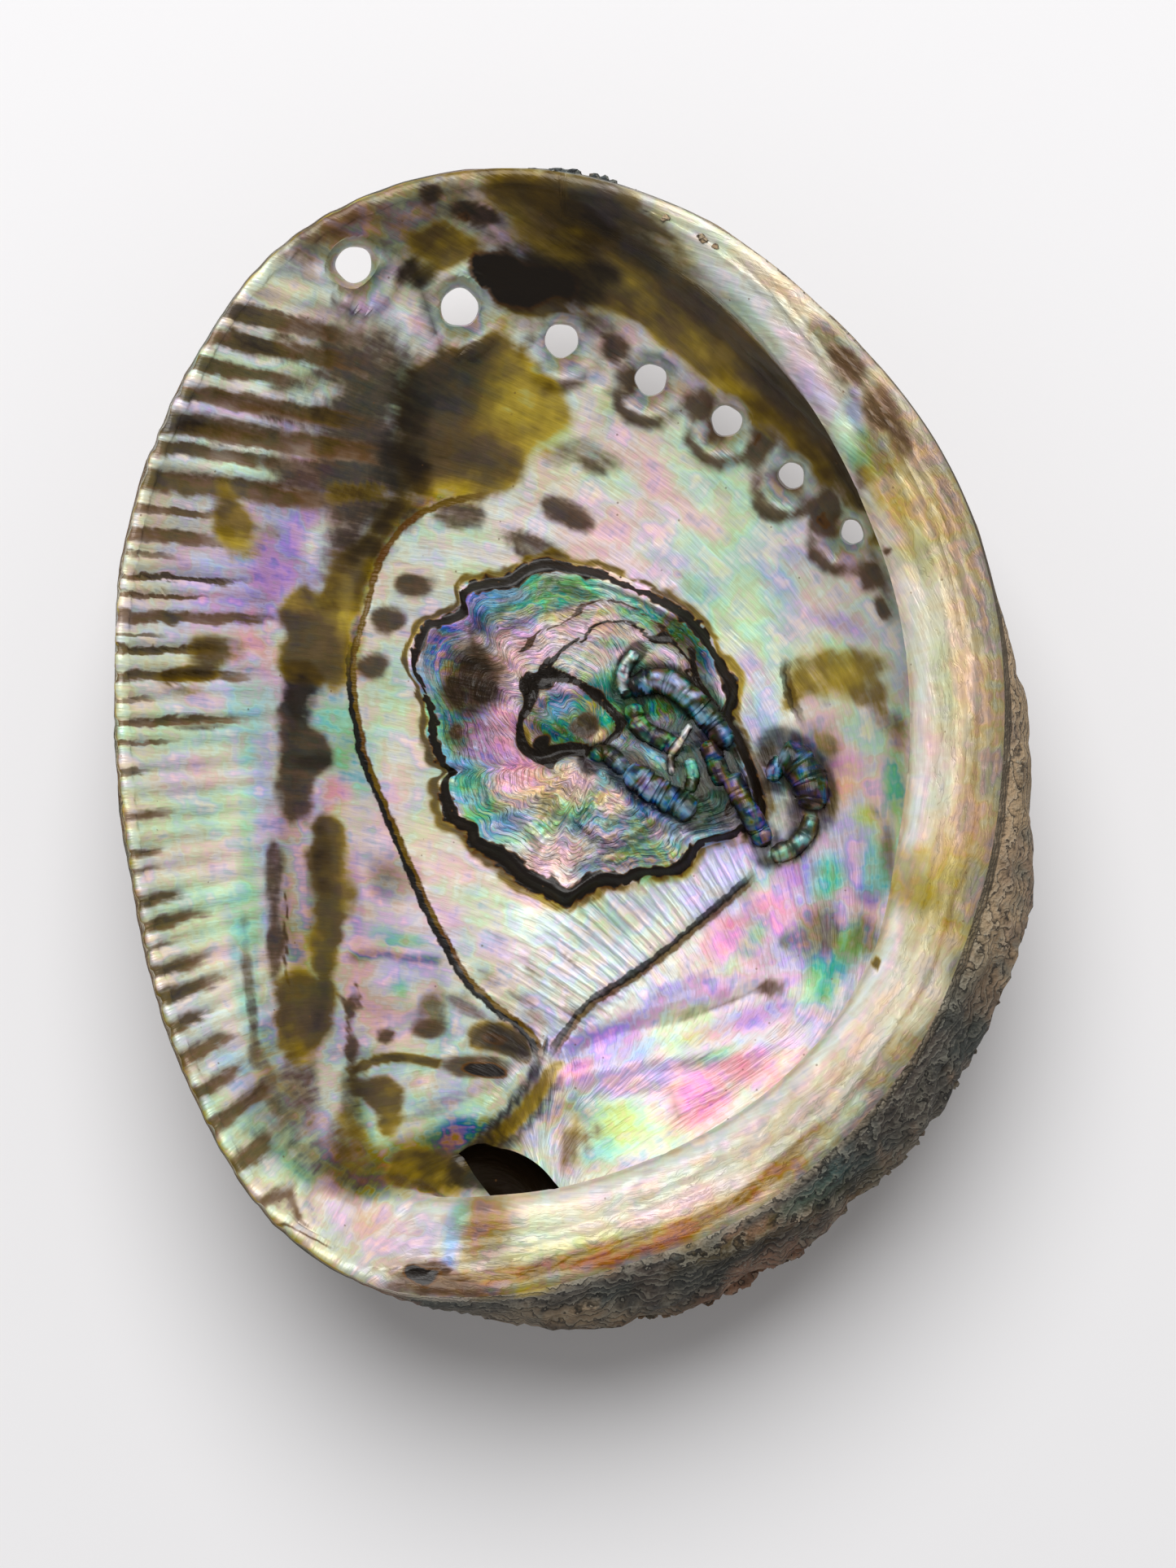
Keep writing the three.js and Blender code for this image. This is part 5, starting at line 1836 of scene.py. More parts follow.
    def crown(self, s: Surface) -> None:
        """The top of the bowl: taupe, olive and black patches, and the amber heart below the holes."""
        where = s.on(Part.INSIDE, Part.UNDERSIDE, Part.SHELF, Part.HOLE, Part.RIM)
        where = where * (1 - s.ledge * s.on(Part.SHELF, Part.RIM))
        s.lay([
            Patch(Tone.SMOKE, (470, 260), (150, 60), 12, 0.85),
            Patch(Tone.MAUVE, (430, 290), (60, 34), 30, 0.6),
            Patch(Tone.SILVER, (360, 330), (26, 16), 40, 0.8),
            # Painted glints at the first hole's rim: the silver crescent at its lower left and the pink and
            # cream spots at its right.
            Patch(Tone.SILVER, (398, 345), (9, 26), 25, 0.95),
            Patch(Tone.PINK, (485, 338), (13, 22), 0, 0.9), Patch(Tone.CREAM, (478, 355), (12, 12), 0, 0.9),
            Patch(Tone.VIOLET, (445, 378), (26, 16), 10, 0.75),
            Patch(Tone.PINK, (400, 395), (60, 10), -16, 0.6),
            # Painted glint: the mint spot.
            Patch(Tone.MINT, (562, 282), (26, 10), -28, 0.85),
            Patch(Tone.PINK, (592, 243), (26, 12), -25, 0.8),
            Patch(Tone.SEA, (640, 268), (26, 8), -35, 0.8),
            Patch(Tone.TEAL, (660, 248), (34, 10), -15, 0.7),
            Patch(Tone.LILAC, (600, 268), (18, 8), -20, 0.5),
            Patch(Tone.SLATE, (620, 330), (34, 12), -12, 0.6),
            # Painted glint: the pink and silver crescent below the second hole.
            Stroke(Tone.PINK, ((510, 385), (520, 402), (535, 415), (555, 425), (572, 428)), 11, 0.95),
            Stroke(Tone.SILVER, ((514, 380), (524, 400), (540, 412)), 6, 0.8),
            Patch(Tone.CREAM, (612, 388), (14, 16), -20, 0.95),
            Patch(Tone.GOLD, (618, 398), (10, 10), 0, 0.6),
            Patch(Tone.SILVER, (665, 400), (34, 40), 0, 0.75),
            Patch(Tone.SILVER, (660, 450), (40, 30), -20, 0.8),
            Patch(Tone.SMOKE, (735, 378), (44, 24), -15, 0.6),
            # Painted glints at the third hole: the pink spot at its right and the cream and sky spots below
            # it.
            Patch(Tone.PINK, (735, 420), (10, 18), 0, 0.9),
            Patch(Tone.CREAM, (722, 455), (16, 13), 0, 0.95), Patch(Tone.SKY, (728, 462), (10, 6), 0, 0.6),
            # Painted glints at the fourth hole's right: the peach, pink and mint spots.
            Patch(Tone.PEACH, (838, 478), (11, 9), 0, 0.8), Patch(Tone.PINK, (850, 470), (10, 14), 0, 0.8),
            Patch(Tone.MINT, (820, 484), (8, 6), 0, 0.8), Patch(Tone.LILAC, (720, 327), (13, 9), -20, 0.7),
            Patch(Tone.PINK, (760, 430), (22, 10), -30, 0.5),
            Patch(Tone.SILVER, (780, 500), (34, 16), -35, 0.8),
        ], where, 44)
        s.lay([
            Blot(Stain.UMBER, ((330, 320), (400, 262), (480, 220), (580, 200), (690, 200), (700, 240),
                 (690, 310), (600, 310), (500, 330), (420, 290), (370, 330)), 0.48, 18, 12),
            Patch(Depth.PALER, (430, 280), (90, 40), 20, 0.7),
            Blot(Stain.UMBER, ((335, 410), (440, 400), (490, 425), (500, 470), (495, 530), (520, 560),
                 (530, 605), (490, 640), (452, 672), (420, 680), (405, 650), (360, 620), (300, 600),
                 (350, 585), (300, 570), (390, 545), (330, 520), (400, 490), (340, 470),
                 (400, 440)), 0.8, 18, 10),
            Blot(Stain.AMBER, ((500, 455), (545, 430), (600, 412), (635, 430), (664, 462), (688, 500),
                 (700, 528), (676, 552), (645, 572), (640, 600), (585, 606), (520, 610), (500, 590),
                 (492, 530)), 0.95, 13, 6),
            Blot(Depth.DEEPER, ((495, 450), (560, 425), (610, 430), (600, 470), (560, 510),
                 (545, 560), (520, 600), (492, 590), (490, 510)), 0.9, 18, 8),
            Patch(Depth.PALER, (650, 500), (60, 60), -30, 1.2),
            Patch(Depth.PALER, (585, 600), (60, 14), -4, 0.7),
            Patch(Depth.PALER, (690, 530), (16, 30), 30, 0.5),
            Patch(Stain.UMBER, (530, 555), (26, 18), 0, 0.5),
            Blot(Stain.AMBER, ((600, 208), (700, 205), (790, 240), (880, 330), (970, 430),
                 (1040, 520), (1090, 610), (1110, 690), (1080, 680), (1020, 600), (950, 530),
                 (890, 480), (830, 440), (770, 390), (710, 365), (690, 340), (650, 300)), 0.9, 16, 8),
            Blot(Depth.DEEPER, ((640, 220), (740, 225), (850, 290), (950, 400), (1050, 520),
                 (1100, 640), (1060, 640), (980, 510), (880, 410), (780, 330), (700, 290)), 0.9, 18, 6),
            Patch(Depth.PALER, (790, 345), (70, 18), -40, 0.45),
            Patch(Depth.PALER, (900, 455), (70, 14), -44, 0.3),
            # A dark brown band along the foot of the ledge, above the holes: painted shadow under the ledge,
            # laid as an umber stain.
            Blot(Stain.UMBER, ((880, 450), (980, 520), (1060, 620), (1090, 700), (1100, 760),
                 (1080, 740), (1050, 660), (990, 590), (920, 520)), 0.75, 14, 6),
            Patch(Stain.AMBER, (545, 300), (54, 24), -10, 0.85),
            Patch(Depth.PALER, (545, 296), (30, 10), -10, 0.3),
            Patch(Stain.UMBER, (527, 237), (17, 17), 0, 0.95),
            Patch(Stain.UMBER, (585, 262), (34, 18), -18, 1.0),
            Patch(Stain.BLACK, (572, 266), (14, 10), 0, 0.6),
            Patch(Stain.UMBER, (640, 235), (60, 20), -15, 0.6),
            Patch(Stain.AMBER, (590, 214), (90, 9), -4, 0.7),
            Patch(Stain.UMBER, (700, 268), (70, 20), -28, 0.85),
            Blot(Stain.BLACK, ((578, 318), (620, 312), (660, 322), (694, 344), (700, 362), (660, 372),
                 (610, 362), (584, 344)), 0.9, 14, 7),
            Patch(Stain.AMBER, (650, 374), (56, 18), -8, 0.95),
            Patch(Stain.UMBER, (690, 330), (40, 40), 20, 0.75),
            Patch(Stain.UMBER, (508, 334), (17, 16), 0, 0.95),
            Patch(Stain.UMBER, (400, 275), (60, 26), 34, 0.7),
            Patch(Stain.UMBER, (480, 220), (90, 14), 18, 0.5),
            Patch(Stain.UMBER, (440, 262), (50, 12), 20, 0.55),
            # Painted shade: a dark crescent round the lower left of the second hole.
            Stroke(Depth.SHADE, ((525, 350), (519, 372), (527, 396), (545, 412),
                 (565, 416)), 15, 0.7, taper=0.6),
            Patch(Stain.UMBER, (730, 395), (30, 16), -20, 0.55),
            Patch(Stain.UMBER, (755, 425), (10, 14), 0, 0.9),
            Patch(Stain.AMBER, (440, 605), (34, 12), 0, 0.7),
            Blot(Depth.SHADE, ((486, 440), (520, 450), (530, 500), (520, 560), (512, 600), (492, 640),
                 (460, 680), (430, 690), (425, 660), (455, 620), (470, 570), (476, 500)), 0.72, 16, 8),
            Patch(Depth.SHADE, (470, 600), (60, 26), 45, 0.5),
            Patch(Depth.SHADE, (530, 470), (36, 26), 30, 0.4),
            Patch(Depth.SHADE, (560, 560), (34, 26), 0, 0.3),
            Blot(Depth.SHADE, ((590, 322), (640, 300), (700, 310), (760, 330), (730, 370), (680, 380),
                 (620, 366)), 0.85, 14, 6),
            Patch(Depth.SHADE, (585, 262), (40, 18), -18, 0.7),
            Patch(Depth.SHADE, (527, 237), (20, 18), 0, 0.6),
            Patch(Depth.SHADE, (640, 240), (50, 16), -15, 0.3),
            Patch(Depth.SHADE, (700, 290), (50, 30), -30, 0.45),
            Patch(Depth.SHADE, (508, 334), (18, 18), 0, 0.8),
            Patch(Depth.SHADE, (400, 270), (70, 20), 34, 0.15),
            Patch(Depth.SHADE, (780, 300), (70, 26), -38, 0.5),
            Patch(Depth.PALER, (800, 400), (110, 30), -42, 0.5),
            # Soft darkening along the foot of the ledge: painted shadow under the ledge.
            Patch(Depth.SHADE, (860, 400), (70, 20), -44, 0.2),
            Patch(Depth.SHADE, (960, 480), (70, 20), -48, 0.5),
            Patch(Depth.SHADE, (1040, 590), (60, 16), -58, 0.55),
            Patch(Depth.DEEPER, (440, 560), (70, 90), 0, 0.35),
            Patch(Stain.UMBER, (455, 430), (60, 26), -20, 0.7),
        ], where, 45)

    def hollows(self, s: Surface) -> None:
        """Painted shade and glints around the breathing holes, their rings, and painted shade inside the
        spire's horn.
        """
        # Painted shade inside the deep horn, as shade and as a black stain.
        s.shade = np.maximum(s.shade, s.on(Part.HORN))
        s.stain(Stain.BLACK, s.on(Part.HORN))
        plan = s.points_mm - POLE_SHIFT_MM
        where = s.on(Part.INSIDE, Part.HOLE, Part.UNDERSIDE)
        grain = Grain(46).at(s.places, 16.0, 2)
        for number, (x, y, waist) in enumerate(s.holes.open_mm):
            gap = np.hypot(plan[:, 0] - x, plan[:, 1] - y)
            side = np.arctan2(plan[:, 1] - y, plan[:, 0] - x)
            shaded_side = np.cos(side + 2.2)
            # The dark ring is stronger towards the lower left: painted shade on that side of each hole.
            ring = hump(gap - waist - 2.9 + 0.3 * grain, 1.9) * (0.5 + 0.5 * shaded_side)
            s.clear(0.9 * where * (1 - smoothstep(gap, waist + 1.3, waist + 2.0)))
            s.tint(Tone.SMOKE, 0.8 * where * (1 - smoothstep(gap, waist + 1.2, waist + 2.0)))
            # Painted glint on each hole's rim, brightest towards the upper right.
            s.tint(Tone.SILVER, 0.8 * where * hump(gap - waist - 0.9, 0.8) * (0.6 - 0.4 * shaded_side))
            dark = np.clip((0.5 if number < 2 else 0.9) * ring, 0, 1) * where
            s.stain(Stain.UMBER, dark)
        # Dark umber and black patches beside the holes: painted shadows, laid as stains.
        s.lay([
            Patch(Stain.UMBER, (757, 428), (12, 15), 0, 0.95),
            Patch(Stain.UMBER, (860, 500), (22, 26), -40, 0.9),
            Patch(Stain.UMBER, (775, 470), (16, 22), 0, 0.9),
            Patch(Stain.UMBER, (935, 545), (22, 26), -40, 0.95),
            Patch(Stain.BLACK, (930, 540), (10, 12), 0, 0.5),
            Patch(Stain.UMBER, (1015, 632), (17, 24), 0, 1.0),
            Patch(Stain.BLACK, (1012, 640), (8, 11), 0, 0.5),
            Patch(Stain.UMBER, (1072, 706), (13, 20), 0, 1.0),
            Patch(Stain.UMBER, (1085, 748), (10, 18), 20, 1.0),
            Patch(Stain.UMBER, (880, 530), (16, 24), -30, 0.8),
            Patch(Stain.UMBER, (640, 388), (22, 16), 0, 0.5),
            Patch(Stain.UMBER, (965, 590), (24, 14), -40, 0.6),
        ], where, 47)

    def centre(self, s: Surface) -> None:
        """The floor around the scar: pearly mint and pink within the mantle line, brown spots along it."""
        where = s.on(Part.INSIDE, Part.UNDERSIDE)
        grain = Grain(52).at(s.places, 60.0, 2)
        s.lay([
            Patch(Tone.PINK, (780, 640), (90, 90), 35, 0.8),
            Patch(Tone.MINT, (900, 680), (60, 110), 35, 0.85),
            Patch(Tone.CREAM, (640, 590), (60, 24), -8, 0.7),
            Patch(Tone.MINT, (720, 560), (80, 26), -30, 0.7),
            Patch(Tone.LIME, (760, 500), (60, 18), -30, 0.5),
            Patch(Tone.PINK, (800, 560), (70, 24), -30, 0.8),
            Patch(Tone.SILVER, (700, 480), (50, 28), -20, 0.7),
            Patch(Tone.MINT, (850, 560), (50, 40), -40, 0.7),
            Patch(Tone.AQUA, (905, 560), (26, 22), -30, 0.6),
            Patch(Tone.PINK, (830, 620), (70, 16), -42, 0.7),
            Patch(Tone.LILAC, (860, 720), (50, 18), -45, 0.5),
            Patch(Tone.SILVER, (960, 690), (40, 34), -45, 0.7),
            Patch(Tone.LILAC, (985, 690), (28, 14), -30, 0.8),
            Patch(Tone.SKY, (960, 720), (40, 16), -50, 0.6),
            Patch(Tone.SEA, (870, 740), (40, 14), -45, 0.45),
            Patch(Tone.MINT, (930, 790), (34, 60), 30, 0.8),
            Patch(Tone.LILAC, (930, 830), (16, 34), 30, 0.6),
            Patch(Tone.CREAM, (900, 860), (24, 50), 20, 0.6),
            Patch(Tone.SKY, (930, 880), (16, 40), 20, 0.5),
            Patch(Tone.PINK, (1020, 760), (60, 20), -30, 0.8),
            Patch(Tone.SILVER, (1020, 720), (50, 18), -40, 0.7),
            Patch(Tone.MINT, (960, 620), (30, 24), -40, 0.6),
            Patch(Tone.PEACH, (850, 780), (26, 10), -45, 0.3),
            Patch(Tone.VIOLET, (1040, 770), (40, 12), -20, 0.5),
            Patch(Tone.CREAM, (520, 720), (50, 40), 0, 0.6),
            Patch(Tone.MINT, (560, 660), (60, 18), -5, 0.6),
            Patch(Tone.PINK, (600, 680), (60, 14), -10, 0.6),
            Patch(Tone.MINT, (480, 900), (26, 50), -8, 0.7),
            Patch(Tone.PINK, (500, 940), (34, 50), -8, 0.6),
            Patch(Tone.PINK, (560, 1080), (40, 40), -20, 0.7),
            Patch(Tone.CREAM, (520, 1030), (26, 34), -15, 0.6),
            Patch(Tone.MINT, (600, 1120), (50, 34), -20, 0.7),
            Patch(Tone.SILVER, (660, 1160), (60, 40), -30, 0.7),
            Patch(Tone.LILAC, (620, 1170), (40, 16), -25, 0.5),
            Patch(Tone.SILVER, (780, 1150), (90, 40), 35, 0.8),
            Patch(Tone.SILVER, (880, 1090), (50, 34), 40, 0.8),
            Patch(Tone.PINK, (650, 1100), (30, 14), -25, 0.5),
            Patch(Tone.PEACH, (520, 880), (20, 30), 0, 0.4),
            Patch(Tone.LIME, (600, 1040), (30, 10), -30, 0.4),
            Patch(Tone.MINT, (730, 1120), (60, 16), -35, 0.5),
        ], where, 48)
        s.deepen(0.9 * where * RIBS.strength(s.places), 0.8)
        for patch in (
            Patch(Tone.INK, (800, 600), (190, 110), 20),
            Patch(Tone.INK, (930, 740), (90, 160), 30),
        ):
            s.deepen(where * patch.cover(s.places, grain), 1.12)
        s.lay([
            Patch(Stain.UMBER, (560, 630), (34, 16), -12, 0.72),
            Patch(Stain.UMBER, (690, 628), (34, 20), -20, 0.85),
            Patch(Stain.UMBER, (700, 560), (40, 16), 20, 0.5),
            Patch(Stain.UMBER, (725, 572), (22, 12), -20, 0.6),
            Patch(Stain.UMBER, (650, 670), (40, 17), -28, 0.75),
            Patch(Stain.UMBER, (745, 560), (34, 11), -25, 0.5),
            Patch(Stain.UMBER, (505, 718), (27, 16), -5, 0.95),
            Patch(Stain.UMBER, (475, 760), (26, 15), -8, 0.85),
            Patch(Stain.UMBER, (455, 820), (19, 16), 0, 0.9),
            Patch(Stain.UMBER, (480, 1075), (16, 8), -20, 0.4),
            Patch(Stain.UMBER, (600, 1200), (26, 8), -30, 0.5),
            Patch(Stain.UMBER, (640, 1225), (30, 9), -32, 0.55),
            Patch(Stain.UMBER, (655, 1195), (22, 7), -32, 0.5),
            Patch(Stain.UMBER, (690, 1215), (24, 7), -36, 0.5),
            Patch(Stain.UMBER, (700, 1180), (20, 6), -40, 0.45),
            Patch(Stain.UMBER, (660, 1250), (26, 8), -30, 0.55),
            Patch(Stain.UMBER, (610, 1150), (20, 6), -24, 0.4),
            Patch(Stain.UMBER, (700, 1240), (16, 7), -36, 0.5),
        ], where, 49)

    def trough(self, s: Surface) -> None:
        """The dark band down the left of the mantle line, and the folds between it and the horn."""
        where = s.on(Part.INSIDE, Part.UNDERSIDE, Part.SHELF) * (1 - s.ledge * s.on(Part.SHELF))
        s.lay([
            Patch(Tone.LILAC, (430, 690), (26, 22), 40, 0.8),
            Patch(Tone.SILVER, (445, 700), (12, 40), -40, 0.6),
            Blot(Tone.AQUA, ((396, 850), (425, 846), (436, 890), (450, 950), (462, 985), (430, 1000),
                 (405, 940), (390, 900)), 0.85, 12, 6),
            Patch(Tone.SKY, (405, 840), (16, 14), 0, 0.7), Patch(Tone.ROSE, (412, 985), (22, 30), 0, 0.8),
            Patch(Tone.SEA, (425, 920), (14, 30), -10, 0.5),
            Patch(Tone.LIME, (420, 1000), (14, 14), 0, 0.6),
            Patch(Tone.LILAC, (365, 1000), (30, 30), 0, 0.7),
            Patch(Tone.SMOKE, (366, 1110), (20, 90), 0, 0.75),
            Patch(Tone.PINK, (366, 1060), (14, 60), 0, 0.6),
            Patch(Tone.AQUA, (316, 1000), (13, 120), 3, 0.8),
            Patch(Tone.PINK, (470, 1100), (50, 90), 14, 0.9),
            Patch(Tone.PINK, (440, 1200), (34, 70), 6, 0.9),
            Patch(Tone.SILVER, (440, 1030), (26, 50), 14, 0.7),
            Patch(Tone.SLATE, (482, 1084), (30, 30), 20, 0.45),
            Patch(Tone.VIOLET, (436, 1100), (10, 60), 4, 0.5),
            Patch(Tone.SEA, (490, 1216), (11, 18), 10, 0.7), Patch(Tone.SEA, (502, 1156), (26, 9), 0, 0.6),
            Patch(Tone.AQUA, (470, 1150), (18, 14), 0, 0.5),
            Patch(Tone.LILAC, (500, 1192), (40, 14), 0, 0.6),
            Patch(Tone.PINK, (545, 1196), (30, 20), 0, 0.6),
            Patch(Tone.TEAL, (536, 1246), (24, 30), 20, 0.55),
            Patch(Tone.SILVER, (575, 1240), (30, 26), -20, 0.6),
            Patch(Tone.PINK, (470, 1262), (44, 34), 8, 0.8),
            Patch(Tone.SMOKE, (340, 1370), (30, 60), 20, 0.75),
            Patch(Tone.MINT, (470, 1395), (40, 14), 10, 0.7),
            Patch(Tone.PINK, (520, 1330), (46, 12), 6, 0.7),
            Patch(Tone.LILAC, (560, 1345), (40, 14), 14, 0.6),
            Patch(Tone.SLATE, (560, 1396), (66, 20), 16, 0.9),
            Patch(Tone.BLUE, (550, 1384), (40, 8), 14, 0.35),
            Patch(Tone.SEA, (430, 1440), (50, 10), -8, 0.4),
            Patch(Tone.SMOKE, (400, 1420), (60, 40), -34, 0.75),
            Patch(Tone.LILAC, (400, 1390), (22, 30), 0, 0.5),
        ], where, 50)
        for patch in (
            Patch(Tone.INK, (470, 1330), (190, 150), -10),
            Patch(Tone.INK, (400, 1080), (80, 260), 4),
        ):
            s.deepen(0.8 * where * patch.cover(s.places, Grain(60).at(s.places, 60.0, 2)), 0.72)
        s.lay([
            Blot(Stain.AMBER, ((516, 608), (486, 648), (468, 694), (448, 740), (434, 785), (434, 826),
                 (418, 846), (392, 838), (384, 790), (388, 742), (404, 700), (430, 668), (462, 632),
                 (486, 606)), 0.78, 7, 5),
            Blot(Stain.UMBER, ((470, 640), (440, 700), (412, 740), (388, 745), (384, 700), (410, 672),
                 (440, 650)), 0.55, 12, 8),
            Blot(Stain.AMBER, ((372, 712), (400, 735), (432, 760), (434, 812), (425, 838), (380, 842),
                 (350, 834), (348, 790), (352, 745)), 0.95, 9, 5),
            Patch(Depth.DEEPER, (380, 800), (40, 50), 0, 0.5),
            Patch(Depth.PALER, (372, 742), (40, 10), 6, 0.5),
            Patch(Depth.PALER, (424, 770), (12, 50), 0, 0.5),
            Blot(Stain.UMBER, ((350, 820), (400, 828), (394, 850), (382, 886), (402, 905), (408, 940),
                 (390, 956), (380, 1000), (350, 1006), (342, 960), (350, 900), (346, 860)), 0.95, 9, 6),
            Patch(Depth.DEEPER, (368, 860), (24, 40), 0, 1.0),
            Patch(Depth.DEEPER, (380, 934), (34, 14), 0, 1.2),
            Patch(Depth.SHADE, (368, 858), (20, 28), 0, 0.6),
            Patch(Depth.SHADE, (384, 936), (28, 12), 0, 0.6),
            Blot(Stain.AMBER, ((392, 1002), (418, 1010), (430, 1060), (430, 1120), (420, 1180),
                 (405, 1212), (386, 1200), (382, 1120), (384, 1050)), 0.85, 8, 5),
            Patch(Depth.DEEPER, (398, 1050), (18, 50), 0, 0.5),
            Patch(Stain.UMBER, (394, 1050), (14, 50), 0, 0.5),
            Blot(Stain.UMBER, ((330, 1030), (344, 1040), (346, 1110), (344, 1190), (334, 1200),
                 (328, 1120)), 0.75, 6, 4),
            Blot(Stain.AMBER, ((350, 1200), (404, 1204), (402, 1260), (390, 1300), (352, 1302),
                 (342, 1250)), 0.9, 9, 6),
            Patch(Depth.DEEPER, (396, 1230), (16, 60), 0, 0.4),
            Patch(Depth.PALER, (356, 1270), (17, 22), 0, 0.5),
            Patch(Stain.UMBER, (372, 1330), (24, 50), 10, 0.6),
            Patch(Stain.UMBER, (308, 1230), (9, 80), 6, 0.62),
            Patch(Stain.UMBER, (330, 1330), (10, 50), 16, 0.5),
            Patch(Stain.UMBER, (366, 1390), (30, 40), 30, 0.4),
            Stroke(Stain.UMBER, ((350, 1100), (354, 1120), (348, 1140), (355, 1160), (350, 1185),
                 (354, 1210)), 3, 0.9),
            Stroke(Tone.SLATE, ((436, 1176), (470, 1172), (500, 1178), (536, 1180)), 12, 0.7, 0.7),
            Stroke(Stain.UMBER, ((414, 1220), (426, 1240), (428, 1275), (430, 1310)), 9, 0.7, waver=0.6),
            Patch(Stain.UMBER, (429, 1240), (6, 12), 0, 0.9),
            Patch(Stain.UMBER, (430, 1290), (7, 16), 0, 0.9),
            Patch(Stain.UMBER, (474, 1273), (9, 9), 0, 0.85),
            Patch(Stain.UMBER, (528, 1266), (17, 11), 0, 0.9),
            Patch(Stain.UMBER, (575, 1240), (40, 12), -34, 0.5),
            Patch(Stain.UMBER, (530, 1240), (16, 20), 0, 0.55),
            Blot(Stain.AMBER, ((585, 1262), (620, 1262), (648, 1262), (656, 1282), (652, 1306),
                 (630, 1304), (600, 1290), (578, 1284)), 0.95, 6, 4),
            Patch(Depth.DEEPER, (620, 1284), (44, 22), -20, 1.3),
            Patch(Stain.BLACK, (606, 1276), (22, 10), -10, 0.5),
            Patch(Stain.BLACK, (592, 1314), (26, 9), -8, 0.8),
            Patch(Stain.UMBER, (580, 1310), (44, 14), 0, 0.85),
            Stroke(Stain.AMBER, ((432, 1318), (460, 1304), (500, 1300), (538, 1308)), 12, 0.85),
            Blot(Stain.AMBER, ((424, 1322), (452, 1318), (490, 1330), (500, 1350), (490, 1384),
                 (470, 1388), (450, 1362), (425, 1352)), 0.8, 7, 5),
            Patch(Depth.DEEPER, (440, 1336), (18, 18), 0, 0.5),
            Patch(Stain.UMBER, (425, 1390), (13, 34), 10, 0.5),
            Patch(Stain.UMBER, (560, 1350), (60, 10), 20, 0.4),
            Patch(Stain.UMBER, (520, 1370), (60, 8), 14, 0.4),
            Blot(Stain.AMBER, ((466, 1448), (500, 1412), (545, 1414), (578, 1424), (568, 1450),
                 (560, 1470), (500, 1468)), 0.82, 9, 6),
            Patch(Depth.PALER, (520, 1436), (34, 12), 6, 0.4),
            Patch(Stain.UMBER, (440, 1440), (50, 16), -10, 0.5),
            Patch(Stain.AMBER, (424, 1400), (20, 34), 40, 0.55),
            Patch(Stain.UMBER, (600, 1406), (44, 12), 40, 0.75),
            Blot(Stain.AMBER, ((556, 1452), (560, 1430), (590, 1400), (625, 1372), (650, 1340),
                 (668, 1312), (692, 1306), (680, 1336), (655, 1370), (625, 1400), (600, 1416),
                 (585, 1430)), 0.95, 5, 3),
            # Soft darkening along both feet of the ridge that runs down to the horn, and round the horn's
            # opening: painted shade.
            Stroke(Depth.SHADE, ((556, 1440), (566, 1422), (592, 1396), (622, 1366), (646, 1334),
                 (662, 1306)), 15, 0.9),
            Stroke(Depth.SHADE, ((606, 1424), (636, 1396), (664, 1362), (688, 1326)), 12, 0.75),
            Patch(Depth.SHADE, (560, 1440), (60, 26), -20, 0.6),
            Patch(Depth.SHADE, (500, 1420), (60, 26), 10, 0.4),
            Patch(Depth.SHADE, (340, 1390), (30, 60), 30, 0.5),
            Patch(Depth.SHADE, (390, 1440), (60, 16), -36, 0.45),
            Patch(Depth.SHADE, (618, 1270), (40, 20), -10, 0.6),
            Patch(Depth.SHADE, (430, 1340), (14, 40), 0, 0.5),
            Stroke(Tone.OLIVE, ((318, 1280), (330, 1340), (356, 1390), (400, 1428), (450, 1452),
                 (520, 1462)), 46, 0.6, 0.9),
            Stroke(Tone.UMBER, ((330, 1330), (356, 1384), (404, 1430), (470, 1456)), 26, 0.6, 0.9),
            Stroke(Tone.OLIVE, ((430, 1330), (440, 1390), (460, 1430), (500, 1450)), 26, 0.45, 0.9),
            Patch(Depth.SHADE, (400, 1420), (36, 26), -30, 0.4),
            Patch(Depth.SHADE, (470, 1080), (26, 26), 20, 0.35),
            # Painted shade rounding off the horn's opening at its lower left.
            Patch(Depth.SHADE, (582, 1448), (32, 16), 0, 0.95, 0.4),
            Stroke(Depth.SHADE, ((552, 1454), (562, 1432), (588, 1410), (622, 1402)), 10, 0.8),
            Stroke(Tone.MOSS, ((572, 600), (530, 612), (492, 640), (457, 694), (437, 760),
                 (433, 830)), 16, 0.85, 0.6),
            Patch(Tone.MOSS, (520, 1430), (60, 30), 0, 0.8, 0.8),
            Patch(Depth.SHADE, (530, 1420), (44, 14), -14, 0.3),
            Patch(Tone.OLIVE, (500, 1440), (70, 34), 4, 0.5, 0.9),
            Patch(Tone.OLIVE, (596, 1400), (50, 30), 40, 0.5, 0.9),
            Patch(Depth.SHADE, (480, 1240), (30, 14), 0, 0.35),
            Patch(Depth.SHADE, (470, 1300), (60, 8), -6, 0.5),
        ], where, 56)

